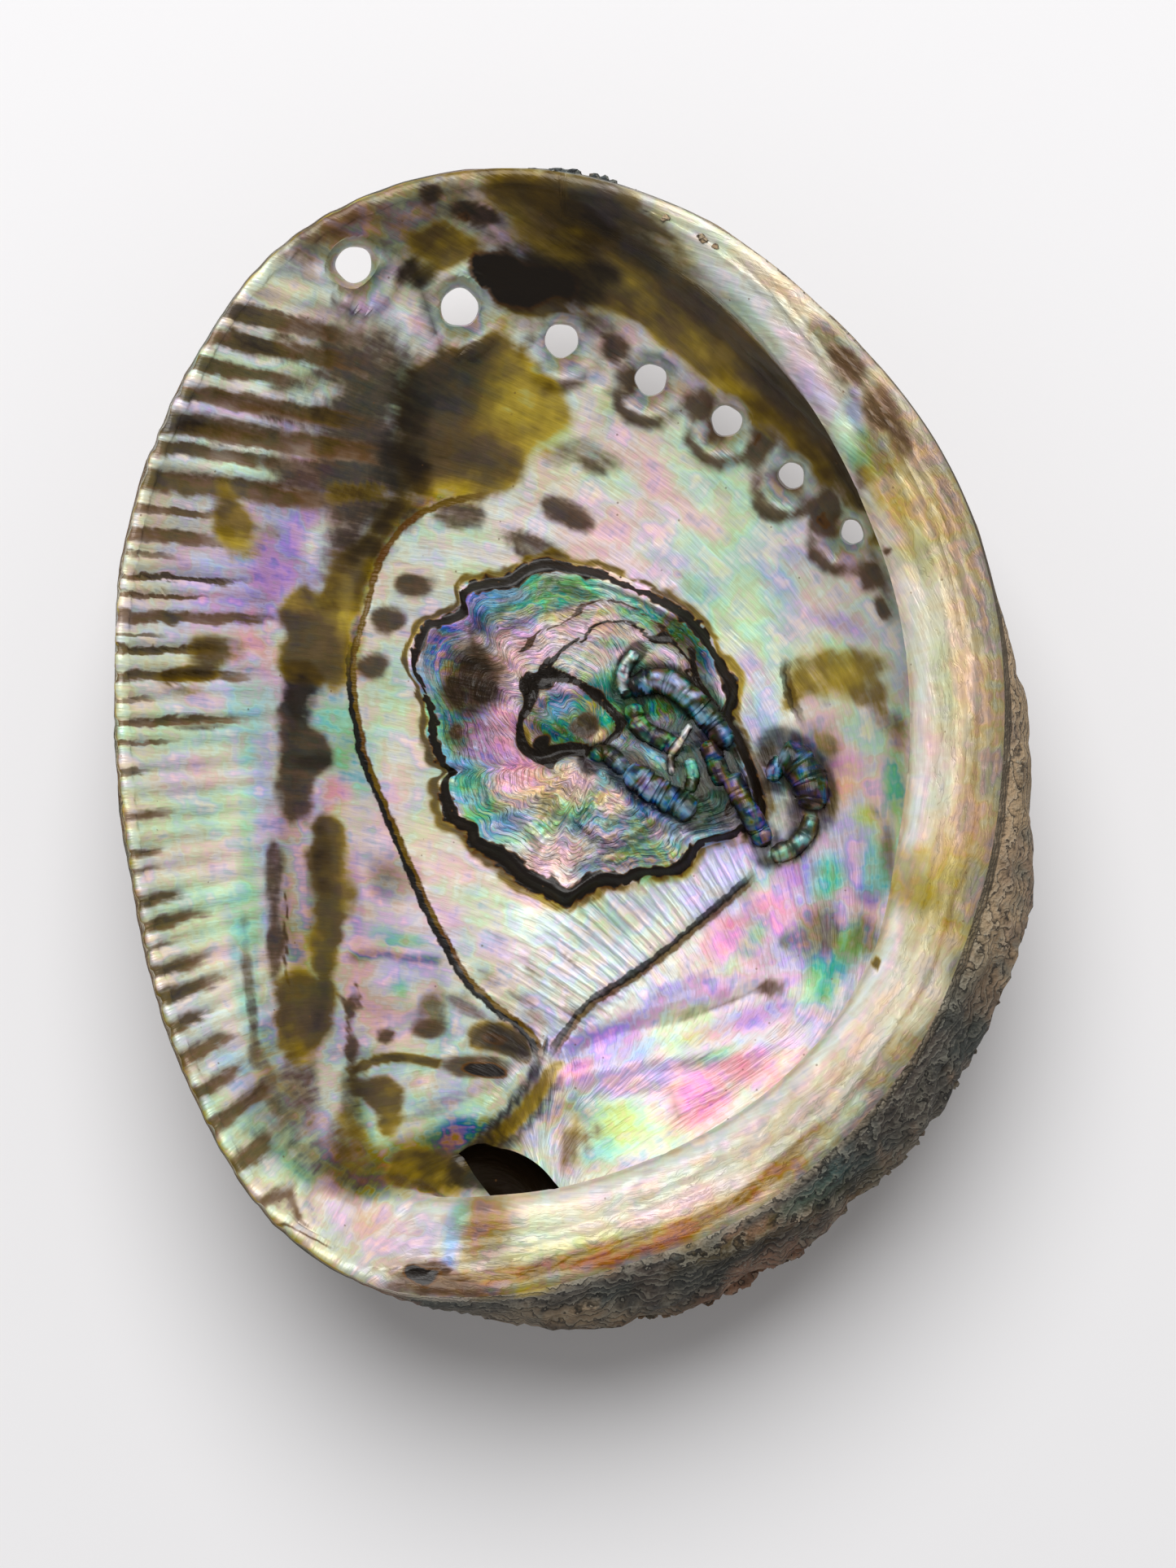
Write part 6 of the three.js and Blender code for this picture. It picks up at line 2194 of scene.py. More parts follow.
    def right_wall(self, s: Surface) -> None:
        """The wall below the ledge at the right: the strongest pinks, greens and blues."""
        where = s.on(Part.INSIDE, Part.UNDERSIDE)
        s.lay([
            Patch(Tone.LILAC, (960, 1060), (120, 150), 20, 0.7),
            Patch(Tone.PINK, (1000, 950), (60, 60), 0, 0.7),
            Patch(Tone.ROSE, (1034, 942), (16, 24), -30, 0.8),
            Patch(Tone.PINK, (1079, 971), (12, 14), 0, 0.8), Patch(Tone.SEA, (1100, 960), (13, 44), 0, 0.8),
            Patch(Tone.LIME, (1064, 1002), (18, 12), 0, 0.7),
            Patch(Tone.TEAL, (1075, 1002), (7, 6), 0, 0.6), Patch(Tone.SKY, (1013, 1075), (20, 22), 0, 0.7),
            Patch(Tone.SEA, (1012, 1082), (24, 26), -40, 0.7),
            Patch(Tone.BLUE, (1066, 1102), (17, 16), 0, 0.6),
            # The thin slate strip at (1090, 1048) and the smoke strip at (1105, 905) lie along the ledge's
            # inner edge: painted shade under the ledge.
            Patch(Tone.SLATE, (1090, 1048), (10, 36), 0, 0.7),
            Patch(Tone.SMOKE, (1105, 905), (10, 26), 0, 0.8),
            Patch(Tone.PINK, (1020, 890), (50, 22), -40, 0.6),
            Patch(Tone.MINT, (1060, 900), (40, 18), -40, 0.7),
            Patch(Tone.PEACH, (1040, 960), (14, 26), -30, 0.6),
            Patch(Tone.AQUA, (1075, 1060), (16, 40), 0, 0.6),
            Patch(Tone.VIOLET, (980, 1070), (34, 26), -60, 0.6),
            Patch(Tone.SEA, (930, 1090), (22, 30), -60, 0.45),
            Patch(Tone.ROSE, (950, 1120), (40, 26), -60, 0.6),
            Patch(Tone.SMOKE, (1008, 1146), (30, 36), 0, 0.9),
            Patch(Tone.SLATE, (965, 1156), (11, 11), 0, 0.8),
            Patch(Tone.SMOKE, (1056, 1148), (26, 30), 0, 0.85),
            Patch(Tone.BLUE, (1024, 1187), (24, 13), 0, 0.6),
            Patch(Tone.SEA, (1015, 1210), (18, 22), 0, 0.8),
            Patch(Tone.MINT, (984, 1228), (17, 11), 0, 0.9),
            Patch(Tone.SEA, (1046, 1160), (14, 34), -20, 0.5),
            Patch(Tone.PINK, (968, 1276), (18, 24), 0, 0.8),
            Patch(Tone.VIOLET, (842, 1218), (64, 17), 14, 0.7),
            Patch(Tone.ROSE, (898, 1160), (42, 38), 30, 0.8),
            Patch(Tone.SEA, (926, 1152), (13, 28), -30, 0.6),
            Patch(Tone.MINT, (900, 1186), (10, 12), 0, 0.7),
            Patch(Tone.PEACH, (878, 1270), (44, 13), 16, 0.75),
            Patch(Tone.LIME, (850, 1276), (24, 8), 16, 0.6), Patch(Tone.SEA, (884, 1298), (34, 9), 18, 0.7),
            Patch(Tone.LILAC, (812, 1318), (24, 22), 0, 0.9),
            Patch(Tone.ROSE, (856, 1350), (40, 40), 40, 0.95),
            Patch(Tone.ROSE, (880, 1320), (44, 18), 30, 0.8),
            Patch(Tone.PEACH, (828, 1352), (8, 34), 0, 0.6),
            Patch(Tone.VIOLET, (750, 1270), (60, 22), 24, 0.8),
            Patch(Tone.LILAC, (720, 1310), (50, 22), 20, 0.8),
            Patch(Tone.ROSE, (700, 1320), (40, 9), 26, 0.7),
            Patch(Tone.VIOLET, (900, 1260), (60, 16), 20, 0.5),
            Patch(Tone.SILVER, (760, 1240), (40, 12), 34, 0.7),
            Patch(Tone.VIOLET, (930, 1250), (40, 14), 14, 0.6),
            Patch(Tone.SKY, (790, 1290), (34, 10), 18, 0.5),
            Patch(Tone.MINT, (762, 1392), (54, 42), -20, 0.9),
            Patch(Tone.LIME, (760, 1380), (34, 26), -20, 0.6),
            Patch(Tone.SILVER, (664, 1396), (22, 20), 0, 0.85),
            Patch(Tone.SKY, (655, 1400), (13, 13), 0, 0.6),
            Patch(Tone.SMOKE, (690, 1368), (28, 18), 0, 0.6),
            Patch(Tone.PINK, (700, 1385), (14, 16), 0, 0.5),
            Patch(Tone.AQUA, (740, 1425), (24, 16), 0, 0.5),
            Patch(Tone.ROSE, (930, 1310), (26, 22), 30, 0.7),
            Patch(Tone.CREAM, (740, 1440), (26, 12), 10, 0.6),
        ], where, 57)
        region = [
            Patch(Tone.INK, (900, 1230), (300, 190), 40, 1.0),
            Patch(Tone.INK, (1040, 1020), (90, 200), -12, 1.0),
        ]
        grain = Grain(59).at(s.places, 60.0, 2)
        s.lay([
            Patch(Depth.SHADE, (1008, 1146), (30, 34), 0, 0.4),
            Patch(Depth.SHADE, (1060, 1148), (24, 28), 0, 0.35),
            # The band along the sunk groove across the lower wall and the strip under the ledge's inner edge
            # are painted shade.
            Patch(Depth.SHADE, (930, 1240), (90, 14), 16, 0.25),
            Patch(Depth.SHADE, (1090, 1050), (12, 40), 0, 0.25),
        ], where, 77)
        for patch in region:
            s.deepen(0.9 * where * patch.cover(s.places, grain), 0.88, 1.2)
        s.lay([
            Patch(Stain.AMBER, (1030, 828), (64, 30), 8, 0.66),
            Patch(Stain.AMBER, (975, 850), (13, 34), -20, 0.7),
            Patch(Stain.AMBER, (1070, 850), (34, 22), -20, 0.6),
            Patch(Stain.UMBER, (1084, 880), (26, 14), -40, 0.5),
            Patch(Stain.UMBER, (1008, 1146), (20, 26), 0, 0.5),
            Patch(Stain.UMBER, (944, 1214), (22, 11), 6, 0.85),
            Patch(Stain.UMBER, (890, 1232), (50, 6), 16, 0.55),
            Patch(Stain.UMBER, (965, 1157), (8, 8), 0, 0.5),
            # Painted shade under the ledge's inner edge, laid as umber.
            Patch(Stain.UMBER, (1090, 1048), (8, 34), 0, 0.4),
            Patch(Stain.UMBER, (840, 1306), (50, 5), 18, 0.35),
            Patch(Stain.AMBER, (700, 1414), (16, 36), -16, 0.6),
            Patch(Stain.UMBER, (723, 1402), (7, 26), -30, 0.6),
            Patch(Stain.UMBER, (828, 1370), (8, 24), 0, 0.4),
            Patch(Stain.UMBER, (1056, 1150), (18, 24), 0, 0.4),
        ], where, 58)

    def scar(self, s: Surface) -> None:
        """The muscle scar: a black border with an amber fringe around blue, green, pink and peach layers."""
        gap = s.bowl.scar_edge(s.angle) - s.r
        where = s.on(Part.SCAR)
        grain = Grain(61).at(s.places, 15.0, 2)
        fine = Grain(62).at(s.places, 7.0, 2)
        s.tint(Tone.PINK, 0.9 * where)
        s.tint(Tone.SEA, 0.8 * where * smoothstep(Grain(63).at(s.places, 46.0, 2), -0.1, 0.5))
        s.tint(Tone.SKY, 0.7 * where * smoothstep(Grain(64).at(s.places, 38.0, 2), 0.0, 0.6))
        s.lay([
            Patch(Tone.BLUE, (590, 745), (70, 34), 26, 0.85),
            Patch(Tone.SKY, (620, 730), (50, 16), 20, 0.8), Patch(Tone.SEA, (700, 722), (60, 16), -8, 0.9),
            Patch(Tone.BLUE, (545, 800), (26, 20), 60, 0.8),
            Patch(Tone.TEAL, (640, 760), (50, 14), 24, 0.6), Patch(Tone.SEA, (660, 745), (70, 10), 16, 0.8),
            Patch(Tone.PINK, (700, 770), (60, 14), 12, 0.9), Patch(Tone.LIME, (720, 755), (50, 6), 8, 0.7),
            Patch(Tone.PEACH, (760, 775), (40, 9), -10, 0.7),
            Patch(Tone.SEA, (790, 760), (50, 14), -35, 0.8),
            Patch(Tone.TEAL, (840, 790), (50, 26), -48, 0.9),
            Patch(Tone.PINK, (740, 800), (60, 24), 12, 0.9),
            Patch(Tone.MINT, (700, 815), (40, 12), 20, 0.6),
            Patch(Tone.PINK, (820, 820), (26, 22), -50, 0.9), Patch(Tone.SEA, (752, 790), (26, 7), 0, 0.6),
            Patch(Tone.LIME, (850, 845), (18, 10), -50, 0.8),
            Patch(Tone.ROSE, (630, 790), (34, 26), 40, 0.5),
            Patch(Tone.MAUVE, (575, 830), (34, 44), 10, 0.9),
            Patch(Tone.PINK, (625, 850), (26, 50), 0, 0.8),
            Patch(Tone.VIOLET, (600, 910), (34, 40), 0, 0.8),
            Patch(Tone.ROSE, (620, 890), (18, 40), 0, 0.6), Patch(Tone.SLATE, (565, 890), (22, 26), 0, 0.6),
            Patch(Tone.SEA, (570, 960), (24, 16), 40, 0.7), Patch(Tone.SKY, (560, 940), (20, 14), 0, 0.6),
            Patch(Tone.ROSE, (640, 960), (34, 26), 20, 0.8),
            Patch(Tone.SEA, (590, 1000), (30, 13), 30, 0.7),
            Patch(Tone.PEACH, (660, 990), (34, 18), 20, 0.8),
            Patch(Tone.SKY, (620, 1015), (34, 14), 20, 0.8),
            Patch(Tone.MINT, (640, 1035), (40, 14), 10, 0.7),
            Patch(Tone.PINK, (700, 1045), (60, 20), 8, 0.85),
            Patch(Tone.SMOKE, (770, 1030), (60, 34), 8, 0.55),
            Patch(Tone.PINK, (712, 948), (22, 26), 0, 0.95),
            Patch(Tone.PEACH, (752, 985), (17, 18), 0, 0.9),
            Patch(Tone.PEACH, (680, 960), (22, 20), 0, 0.7),
            Patch(Tone.TEAL, (700, 880), (54, 44), 10, 0.95),
            Patch(Tone.SEA, (712, 875), (34, 20), 10, 0.75), Patch(Tone.SKY, (690, 870), (22, 10), 20, 0.7),
            Patch(Tone.GOLD, (728, 868), (12, 8), 0, 0.6), Patch(Tone.TEAL, (800, 880), (50, 50), -45, 0.9),
            Patch(Tone.SEA, (770, 850), (26, 40), 0, 0.7), Patch(Tone.BLUE, (800, 900), (26, 18), -40, 0.7),
            Patch(Tone.TEAL, (860, 940), (44, 50), -60, 0.95),
            Patch(Tone.BLUE, (870, 900), (26, 14), -50, 0.6), Patch(Tone.SEA, (840, 940), (18, 22), 0, 0.8),
            Patch(Tone.SKY, (815, 915), (22, 22), 0, 0.6), Patch(Tone.SKY, (780, 950), (26, 20), -30, 0.7),
            Patch(Tone.BLUE, (815, 985), (34, 20), -20, 0.6),
            Patch(Tone.SEA, (850, 1000), (26, 18), -30, 0.7),
            Patch(Tone.SEA, (870, 980), (26, 12), -30, 0.6),
            Patch(Tone.SMOKE, (780, 1062), (60, 12), 4, 0.8),
            Patch(Tone.BLUE, (915, 985), (22, 20), -60, 0.8),
            Patch(Tone.SEA, (925, 1010), (16, 12), -60, 0.7),
            Patch(Tone.SMOKE, (938, 1032), (13, 12), -60, 0.7),
            Patch(Tone.SKY, (840, 1015), (26, 9), -30, 0.6),
            Stroke(Tone.PINK, ((680, 772), (705, 758), (717, 746), (735, 739), (755, 740),
                 (776, 746)), 5, 0.7),
            Patch(Tone.PEACH, (735, 905), (12, 8), 0, 0.9), Patch(Tone.AMBER, (782, 938), (10, 10), 0, 0.7),
        ], where, 65)
        s.traits[:, 0] = lerp(s.traits[:, 0], 0.5, where)
        s.layered = np.maximum(s.layered, 1.2 * where * smoothstep(gap, 0.5, 2.0))
        s.lay([
            Patch(Depth.SHADE, (582, 835), (38, 52), 8, 0.72),
            Patch(Depth.SHADE, (560, 800), (20, 30), 0, 0.4),
            Patch(Depth.SHADE, (858, 935), (34, 70), 28, 0.85),
            Patch(Depth.SHADE, (892, 985), (26, 50), 28, 0.85),
            Patch(Depth.SHADE, (868, 860), (18, 40), 30, 0.75),
            Patch(Depth.SHADE, (820, 955), (30, 22), 0, 0.5),
            Patch(Depth.SHADE, (862, 1012), (40, 18), -24, 0.6),
            Patch(Depth.SHADE, (790, 1000), (50, 12), 30, 0.45),
            Patch(Depth.SHADE, (830, 870), (40, 14), -45, 0.5),
            Patch(Depth.SHADE, (780, 900), (20, 34), 20, 0.35),
            Patch(Depth.SHADE, (690, 890), (40, 36), 0, 0.3),
            Patch(Depth.SHADE, (850, 800), (40, 14), -50, 0.5),
            Patch(Depth.SHADE, (800, 985), (40, 14), -25, 0.4),
            Patch(Depth.SHADE, (640, 735), (70, 8), 14, 0.3),
            Patch(Depth.SHADE, (560, 905), (16, 20), 0, 0.5),
            Patch(Depth.SHADE, (770, 1062), (70, 10), 6, 0.4),
        ], where, 76)
        s.lay([
            Stroke(Stain.BLACK, SCAR_TERRACE, 4.5, 0.85, waver=0.6),
            Stroke(Stain.BLACK, SCAR_STEP, 4, 0.6, waver=0.6),
            # The soft strokes along the terraces, the step and the sunk blob's outline are painted shade in
            # the relief's steps and groove, beside the scar's own black lines.
            Stroke(Depth.SHADE, SCAR_TERRACE, 14, 0.45, waver=0.4),
            Stroke(Depth.SHADE, SCAR_STEP, 12, 0.4, waver=0.4),
            Stroke(Stain.BLACK, SCAR_BLOB, 13, 1.0, waver=0.5),
            Stroke(Depth.SHADE, SCAR_BLOB, 20, 0.5, waver=0.4),
            Stroke(Stain.BLACK, ((850, 800), (858, 842), (880, 870)), 9, 0.9),
            Patch(Stain.AMBER, (646, 905), (7, 22), 10, 0.8),
            Patch(Stain.BLACK, (668, 840), (14, 8), -10, 0.8),
            Patch(Stain.BLACK, (664, 912), (13, 9), 30, 0.8),
            # Soft dark strokes along the scar's lower steps, its upper ridges and just inside its edge:
            # partly its dark terrace lines, partly painted shade at the steps.
            Stroke(Depth.SHADE, ((664, 980), (676, 994), (694, 1007), (712, 1006),
                 (728, 990)), 12, 0.5, waver=0.5),
            Stroke(Depth.SHADE, ((700, 1010), (722, 1028), (748, 1042), (778, 1036), (800, 1018),
                 (830, 1022)), 12, 0.5),
            Stroke(Depth.SHADE, ((590, 770), (620, 745), (650, 728), (690, 724),
                 (730, 734)), 10, 0.6, waver=0.5),
            Stroke(Depth.SHADE, ((600, 790), (632, 768), (668, 752), (700, 748)), 9, 0.55, waver=0.5),
            Stroke(Depth.SHADE, ((740, 720), (790, 738), (830, 768), (858, 806)), 12, 0.55, waver=0.5),
            Stroke(Depth.SHADE, ((556, 940), (590, 960), (600, 990), (640, 1010),
                 (660, 1040)), 9, 0.45, waver=0.5),
            Patch(Stain.UMBER, (722, 892), (16, 15), 0, 1.0),
            Patch(Stain.BLACK, (843, 941), (6, 7), 0, 0.8),
            Patch(Stain.UMBER, (590, 835), (28, 40), 10, 0.9),
            Patch(Stain.UMBER, (560, 850), (16, 26), 0, 0.7),
            Patch(Stain.UMBER, (560, 900), (10, 12), 0, 0.8),
            Patch(Stain.BLACK, (890, 910), (12, 26), -30, 0.9),
            Patch(Stain.BLACK, (900, 990), (10, 20), -30, 0.7),
            Patch(Stain.UMBER, (870, 960), (14, 26), -30, 0.6),
        ], where * smoothstep(gap, 0.3, 1.0), 66)
        wide = 1.2 + 0.5 * np.clip(Grain(67).at(s.places, 60.0), -1, 1)
        wide = wide + 0.5 * smoothstep(s.places[:, 1], 1000, 1080)
        wide = wide + 0.7 * smoothstep(-s.places[:, 0], -560, -500) * smoothstep(s.places[:, 1], 880, 950)
        around_edge = s.on(Part.SCAR, Part.INSIDE)
        core = hump((gap - 0.1 + 0.35 * fine) / wide, 1.15) ** 0.7
        s.stain(Stain.BLACK, around_edge * np.clip(core * 1.2, 0, 1))
        fringe = hump((gap + 1.4 + 0.4 * grain) / wide, 1.15)
        s.stain(Stain.AMBER, 0.9 * around_edge * fringe)
        for worm in WORMS:
            worm.paint(s)

    def ribbon(self, s: Surface) -> None:
        """The ring of ribbed crust beside the scar's right end, and the bright ribbed triangle under it."""
        where = s.on(Part.INSIDE, Part.SCAR)
        s.lay([
            Patch(Tone.SLATE, (985, 955), (34, 50), -10, 0.8),
            Patch(Tone.BLUE, (975, 935), (22, 26), 20, 0.6), Patch(Tone.TEAL, (972, 975), (22, 24), 0, 0.7),
            Patch(Tone.SKY, (982, 930), (22, 12), 20, 0.5),
            Patch(Tone.SILVER, (958, 1002), (18, 26), -20, 1.0),
            Patch(Tone.GOLD, (1002, 975), (10, 20), 0, 0.5),
            Patch(Tone.SMOKE, (960, 1050), (26, 12), 20, 0.8),
            Patch(Tone.MINT, (965, 1040), (16, 8), 20, 0.6),
        ], where, 68)
        s.lay([
            # Soft darkening inside the curve of the thick worm tube: partly its dark slate tone, partly
            # painted shade beside the tube.
            Patch(Depth.SHADE, (980, 960), (52, 66), -20, 0.55),
            Patch(Stain.AMBER, (940, 930), (12, 26), -30, 0.6),
            Patch(Stain.AMBER, (1016, 915), (22, 12), -40, 0.5),
            Patch(Stain.AMBER, (1020, 985), (10, 30), 10, 0.5),
        ], where, 69)

    def ledge(self, s: Surface) -> None:
        """The broad ledge: pearl and cream with long growth lines, a tan outer band and a few stains."""
        where = s.on(Part.SHELF, Part.RIM) * s.ledge
        from_fold = s.r - around(s.bowl.fold, s.angle)
        grain = Grain(71).at(s.places, 70.0, 3)
        fine = Grain(74).at(s.places, 24.0, 2)
        s.tint(Tone.CREAM, 0.9 * where)
        s.tint(Tone.PINK, 0.5 * where * smoothstep(np.sin(from_fold * 0.9 + 3 * grain), 0.2, 0.9))
        s.tint(Tone.MINT, 0.4 * where * smoothstep(np.sin(from_fold * 0.7 + 4 * grain + 2), 0.3, 0.9))
        s.tint(Tone.PEACH, 0.5 * where * smoothstep(np.sin(from_fold * 0.5 + 3 * grain + 4), 0.3, 0.9))
        # Painted shade right at the ledge's inner edge, then a painted highlight along the crest of its
        # rolled edge.
        s.tint(Tone.SMOKE, 0.45 * where * hump(from_fold - 0.3, 0.7))
        s.tint(Tone.SILVER, 0.9 * where * hump(from_fold - 1.7 + 0.2 * grain, 1.3))
        s.tint(Tone.PINK, 0.6 * where * hump(from_fold - 2.8, 0.8))
        right = smoothstep(-s.angle, -0.95, -0.6) * (1 - smoothstep(-s.angle, 0.9, 1.25))
        to_rim = s.bowl.outside(s.angle, np.ones_like(s.angle))[0] - s.r
        s.tint(Tone.PEACH, 0.5 * where * hump(to_rim - 6.5 - 0.5 * grain, 2.2) * right)
        s.tint(Tone.TAN, 0.95 * where * (1 - smoothstep(to_rim + 0.7 * grain, 3.6, 6.0)) * right)
        s.tint(Tone.SMOKE, 0.7 * where * (1 - smoothstep(to_rim + 0.5 * fine, 1.0, 4.0)) * right)
        low = smoothstep(-s.angle, 0.75, 1.1)
        s.tint(Tone.TAN, 0.6 * where * low * hump(to_rim - 5.2 - 0.6 * grain, 2.0))
        s.tint(Tone.SMOKE, 0.8 * where * low * (1 - smoothstep(to_rim + 0.5 * grain, 1.2, 4.0)))
        s.deepen(0.8 * where * low, 0.85)
        s.lay([
            Patch(Tone.SILVER, (900, 370), (120, 34), -46, 0.9),
            Patch(Tone.PINK, (980, 440), (60, 20), -50, 0.7),
            Patch(Tone.LILAC, (1010, 490), (40, 15), -55, 0.7),
            Patch(Tone.MINT, (920, 390), (60, 12), -48, 0.6),
            Patch(Tone.LIME, (840, 300), (34, 16), -40, 0.5),
            Patch(Tone.CREAM, (850, 290), (60, 16), -30, 0.7),
            Patch(Tone.PEACH, (930, 330), (60, 10), -44, 0.6),
            Patch(Tone.SEA, (1068, 552), (30, 26), -30, 0.9),
            Patch(Tone.TEAL, (1070, 555), (26, 22), 0, 0.45),
            Patch(Tone.BLUE, (1088, 560), (9, 26), 20, 0.6),
            Patch(Tone.SKY, (1050, 505), (13, 22), 10, 0.8),
            Patch(Tone.MINT, (1036, 530), (13, 26), 20, 0.7),
            Patch(Tone.VIOLET, (1052, 482), (8, 12), 0, 0.7),
            Patch(Tone.SMOKE, (1030, 425), (18, 50), 40, 0.9),
            Patch(Tone.TAN, (1100, 520), (30, 60), 34, 0.8),
            Patch(Tone.TAN, (1150, 620), (24, 70), 24, 0.6),
            Patch(Tone.LIME, (1130, 680), (20, 40), 10, 0.4),
            Patch(Tone.CREAM, (1140, 780), (30, 70), 6, 0.7),
            Patch(Tone.PINK, (1150, 900), (20, 60), 0, 0.5),
            Patch(Tone.LIME, (1160, 850), (18, 70), 0, 0.35),
            Patch(Tone.PEACH, (1180, 800), (12, 60), 6, 0.6),
            Patch(Tone.PEACH, (1160, 1020), (34, 40), 0, 0.5),
            Patch(Tone.CREAM, (1130, 1200), (30, 60), -20, 0.7),
            Patch(Tone.MINT, (1020, 1380), (60, 14), 48, 0.5),
            Patch(Tone.CREAM, (960, 1420), (80, 20), 36, 0.7),
            Patch(Tone.PEACH, (880, 1490), (90, 14), 26, 0.5),
            Patch(Tone.LIME, (720, 1530), (90, 16), 8, 0.6),
            Patch(Tone.CREAM, (680, 1500), (70, 22), 4, 0.8),
            Patch(Tone.MINT, (640, 1515), (34, 18), 0, 0.5),
            Patch(Tone.PINK, (840, 1475), (80, 10), 22, 0.6),
            Patch(Tone.GOLD, (1128, 1100), (60, 44), -20, 0.6, 0.9),
            Patch(Tone.MOSS, (1134, 1100), (36, 26), -20, 0.6, 0.9),
            Patch(Tone.AMBER, (1100, 620), (24, 50), 26, 0.6, 0.9),
            Patch(Tone.GOLD, (1108, 625), (34, 60), 26, 0.4, 0.9),
            Patch(Tone.TAN, (600, 1508), (40, 44), -8, 0.7, 0.9),
            Patch(Tone.AMBER, (594, 1500), (26, 34), -8, 0.6, 0.9),
            Patch(Tone.GOLD, (1162, 1060), (16, 30), 10, 0.4, 0.9),
            Patch(Tone.MAUVE, (1060, 480), (26, 60), 36, 0.5, 0.9),
            Patch(Tone.LILAC, (500, 1522), (44, 26), 0, 0.7),
            Patch(Tone.ROSE, (440, 1512), (50, 16), -20, 0.45),
            Patch(Tone.AQUA, (430, 1488), (46, 12), -24, 0.5),
            Patch(Tone.SKY, (554, 1522), (10, 36), -6, 0.85),
            Patch(Tone.SEA, (565, 1494), (8, 18), -6, 0.5), Patch(Tone.BLUE, (546, 1552), (12, 8), 0, 0.4),
            Patch(Tone.UMBER, (594, 1512), (26, 34), -8, 0.55, 0.9),
            Stroke(Tone.OLIVE, ((590, 1590), (650, 1600), (740, 1590), (820, 1566),
                 (890, 1534)), 26, 0.75, 0.8),
            Stroke(Tone.GOLD, ((640, 1584), (700, 1588), (760, 1580)), 12, 0.6, 0.8),
            Stroke(Tone.AMBER, ((640, 1560), (730, 1550), (800, 1532), (850, 1510),
                 (930, 1466)), 15, 1.0, 0.5, taper=0.5),
            Stroke(Tone.AMBER, ((920, 1472), (970, 1440), (1030, 1400)), 9, 0.7, 0.7, taper=0.8),
        ], where, 72)
        s.lay([
            Patch(Stain.UMBER, (1040, 450), (15, 44), 38, 0.8),
            Patch(Stain.UMBER, (1080, 500), (24, 30), 30, 0.7),
            Patch(Stain.UMBER, (1108, 540), (16, 26), 24, 0.6),
            Patch(Stain.AMBER, (1076, 606), (10, 26), 20, 0.5),
            Patch(Stain.UMBER, (1091, 677), (8, 5), 0, 0.8),
            Patch(Stain.UMBER, (1060, 590), (8, 14), 0, 0.6),
            Patch(Stain.AMBER, (1128, 1098), (26, 20), -24, 0.3),
            Patch(Stain.AMBER, (1077, 1183), (6, 7), 0, 1.0),
            Patch(Stain.UMBER, (592, 1486), (16, 24), -8, 0.3),
            Patch(Stain.UMBER, (560, 1580), (34, 14), 0, 0.8),
            Patch(Depth.DEEPER, (690, 1585), (120, 20), 4, 0.5),
            Patch(Stain.BLACK, (514, 1566), (20, 12), -24, 0.9),
            Patch(Stain.UMBER, (520, 1568), (30, 20), 0, 0.8),
        ], np.maximum(where, s.on(Part.SHELF, Part.RIM) * smoothstep(s.places[:, 1], 1500, 1530)), 73)
        s.traits[:, 0] = lerp(s.traits[:, 0], 0.2, where)
        s.layered = np.maximum(s.layered, 0.5 * where * smoothstep(from_fold, 2.0, 5.0))
        streak = np.clip(1.6 * hump(to_rim - 2.8 - 0.5 * grain, 2.0), 0, 1)
        streak = streak * arc_share(s.angle, -104, -66, 8, 16)
        s.tint(Tone.AMBER, 0.85 * where * streak)
        inner = hump(to_rim - 3.4 - 0.5 * grain, 0.8) * arc_share(s.angle, -62, -20, 10, 20)
        s.tint(Tone.AMBER, 0.5 * where * inner)

    def outside(self, s: Surface) -> None:
        """The crust: grey-brown and olive with reddish patches, darker by the rim, worn at the bottom."""
        where = s.on(Part.OUTSIDE)
        z = s.points_mm[:, 2]
        grain = Grain(81).at(s.points_mm, 14.0, 3)
        s.tint(Tone.UMBER, where)
        for seed, tone, most, pitch, start, full in (
            (84, Tone.SMOKE, 0.75, 12.0, -0.3, 0.8), (82, Tone.MAUVE, 0.6, 16.0, 0.0, 0.8),
            (83, Tone.OLIVE, 0.5, 22.0, 0.1, 0.8), (87, Tone.RUST, 0.6, 17.0, 0.3, 0.9),
        ):
            s.tint(tone, most * where * smoothstep(Grain(seed).at(s.points_mm, pitch, 3), start, full))
        near_rim = smoothstep(z + 2.5 * grain, 31, 36)
        s.tint(Tone.UMBER, 0.5 * where * near_rim)
        s.tint(Tone.SMOKE, 0.5 * where * near_rim * smoothstep(Grain(88).at(s.points_mm, 6.0, 3), -0.1, 0.6))
        s.tint(Tone.TEAL, 0.4 * where * near_rim * smoothstep(Grain(85).at(s.points_mm, 9.0, 3), 0.1, 0.8))
        low = arc_share(s.angle, -104, -40, 10, 15)
        s.tint(Tone.SLATE, 0.5 * where * low * smoothstep(z + 2.0 * grain, 29, 34))
        s.deepen(0.9 * where * low * smoothstep(z + 2.0 * grain, 29, 34), 0.5)
        s.tint(Tone.TAN, 0.6 * where * (1 - low) * s.ledge * smoothstep(z + grain, 37, 40))
        out = smoothstep(s.places[:, 0], 1215, 1245) * smoothstep(s.places[:, 1], 700, 820)
        s.tint(Tone.MAUVE, 0.75 * where * out)
        s.tint(Tone.TAN, 0.7 * where * out * smoothstep(Grain(89).at(s.points_mm, 5.0, 2), -0.2, 0.5))
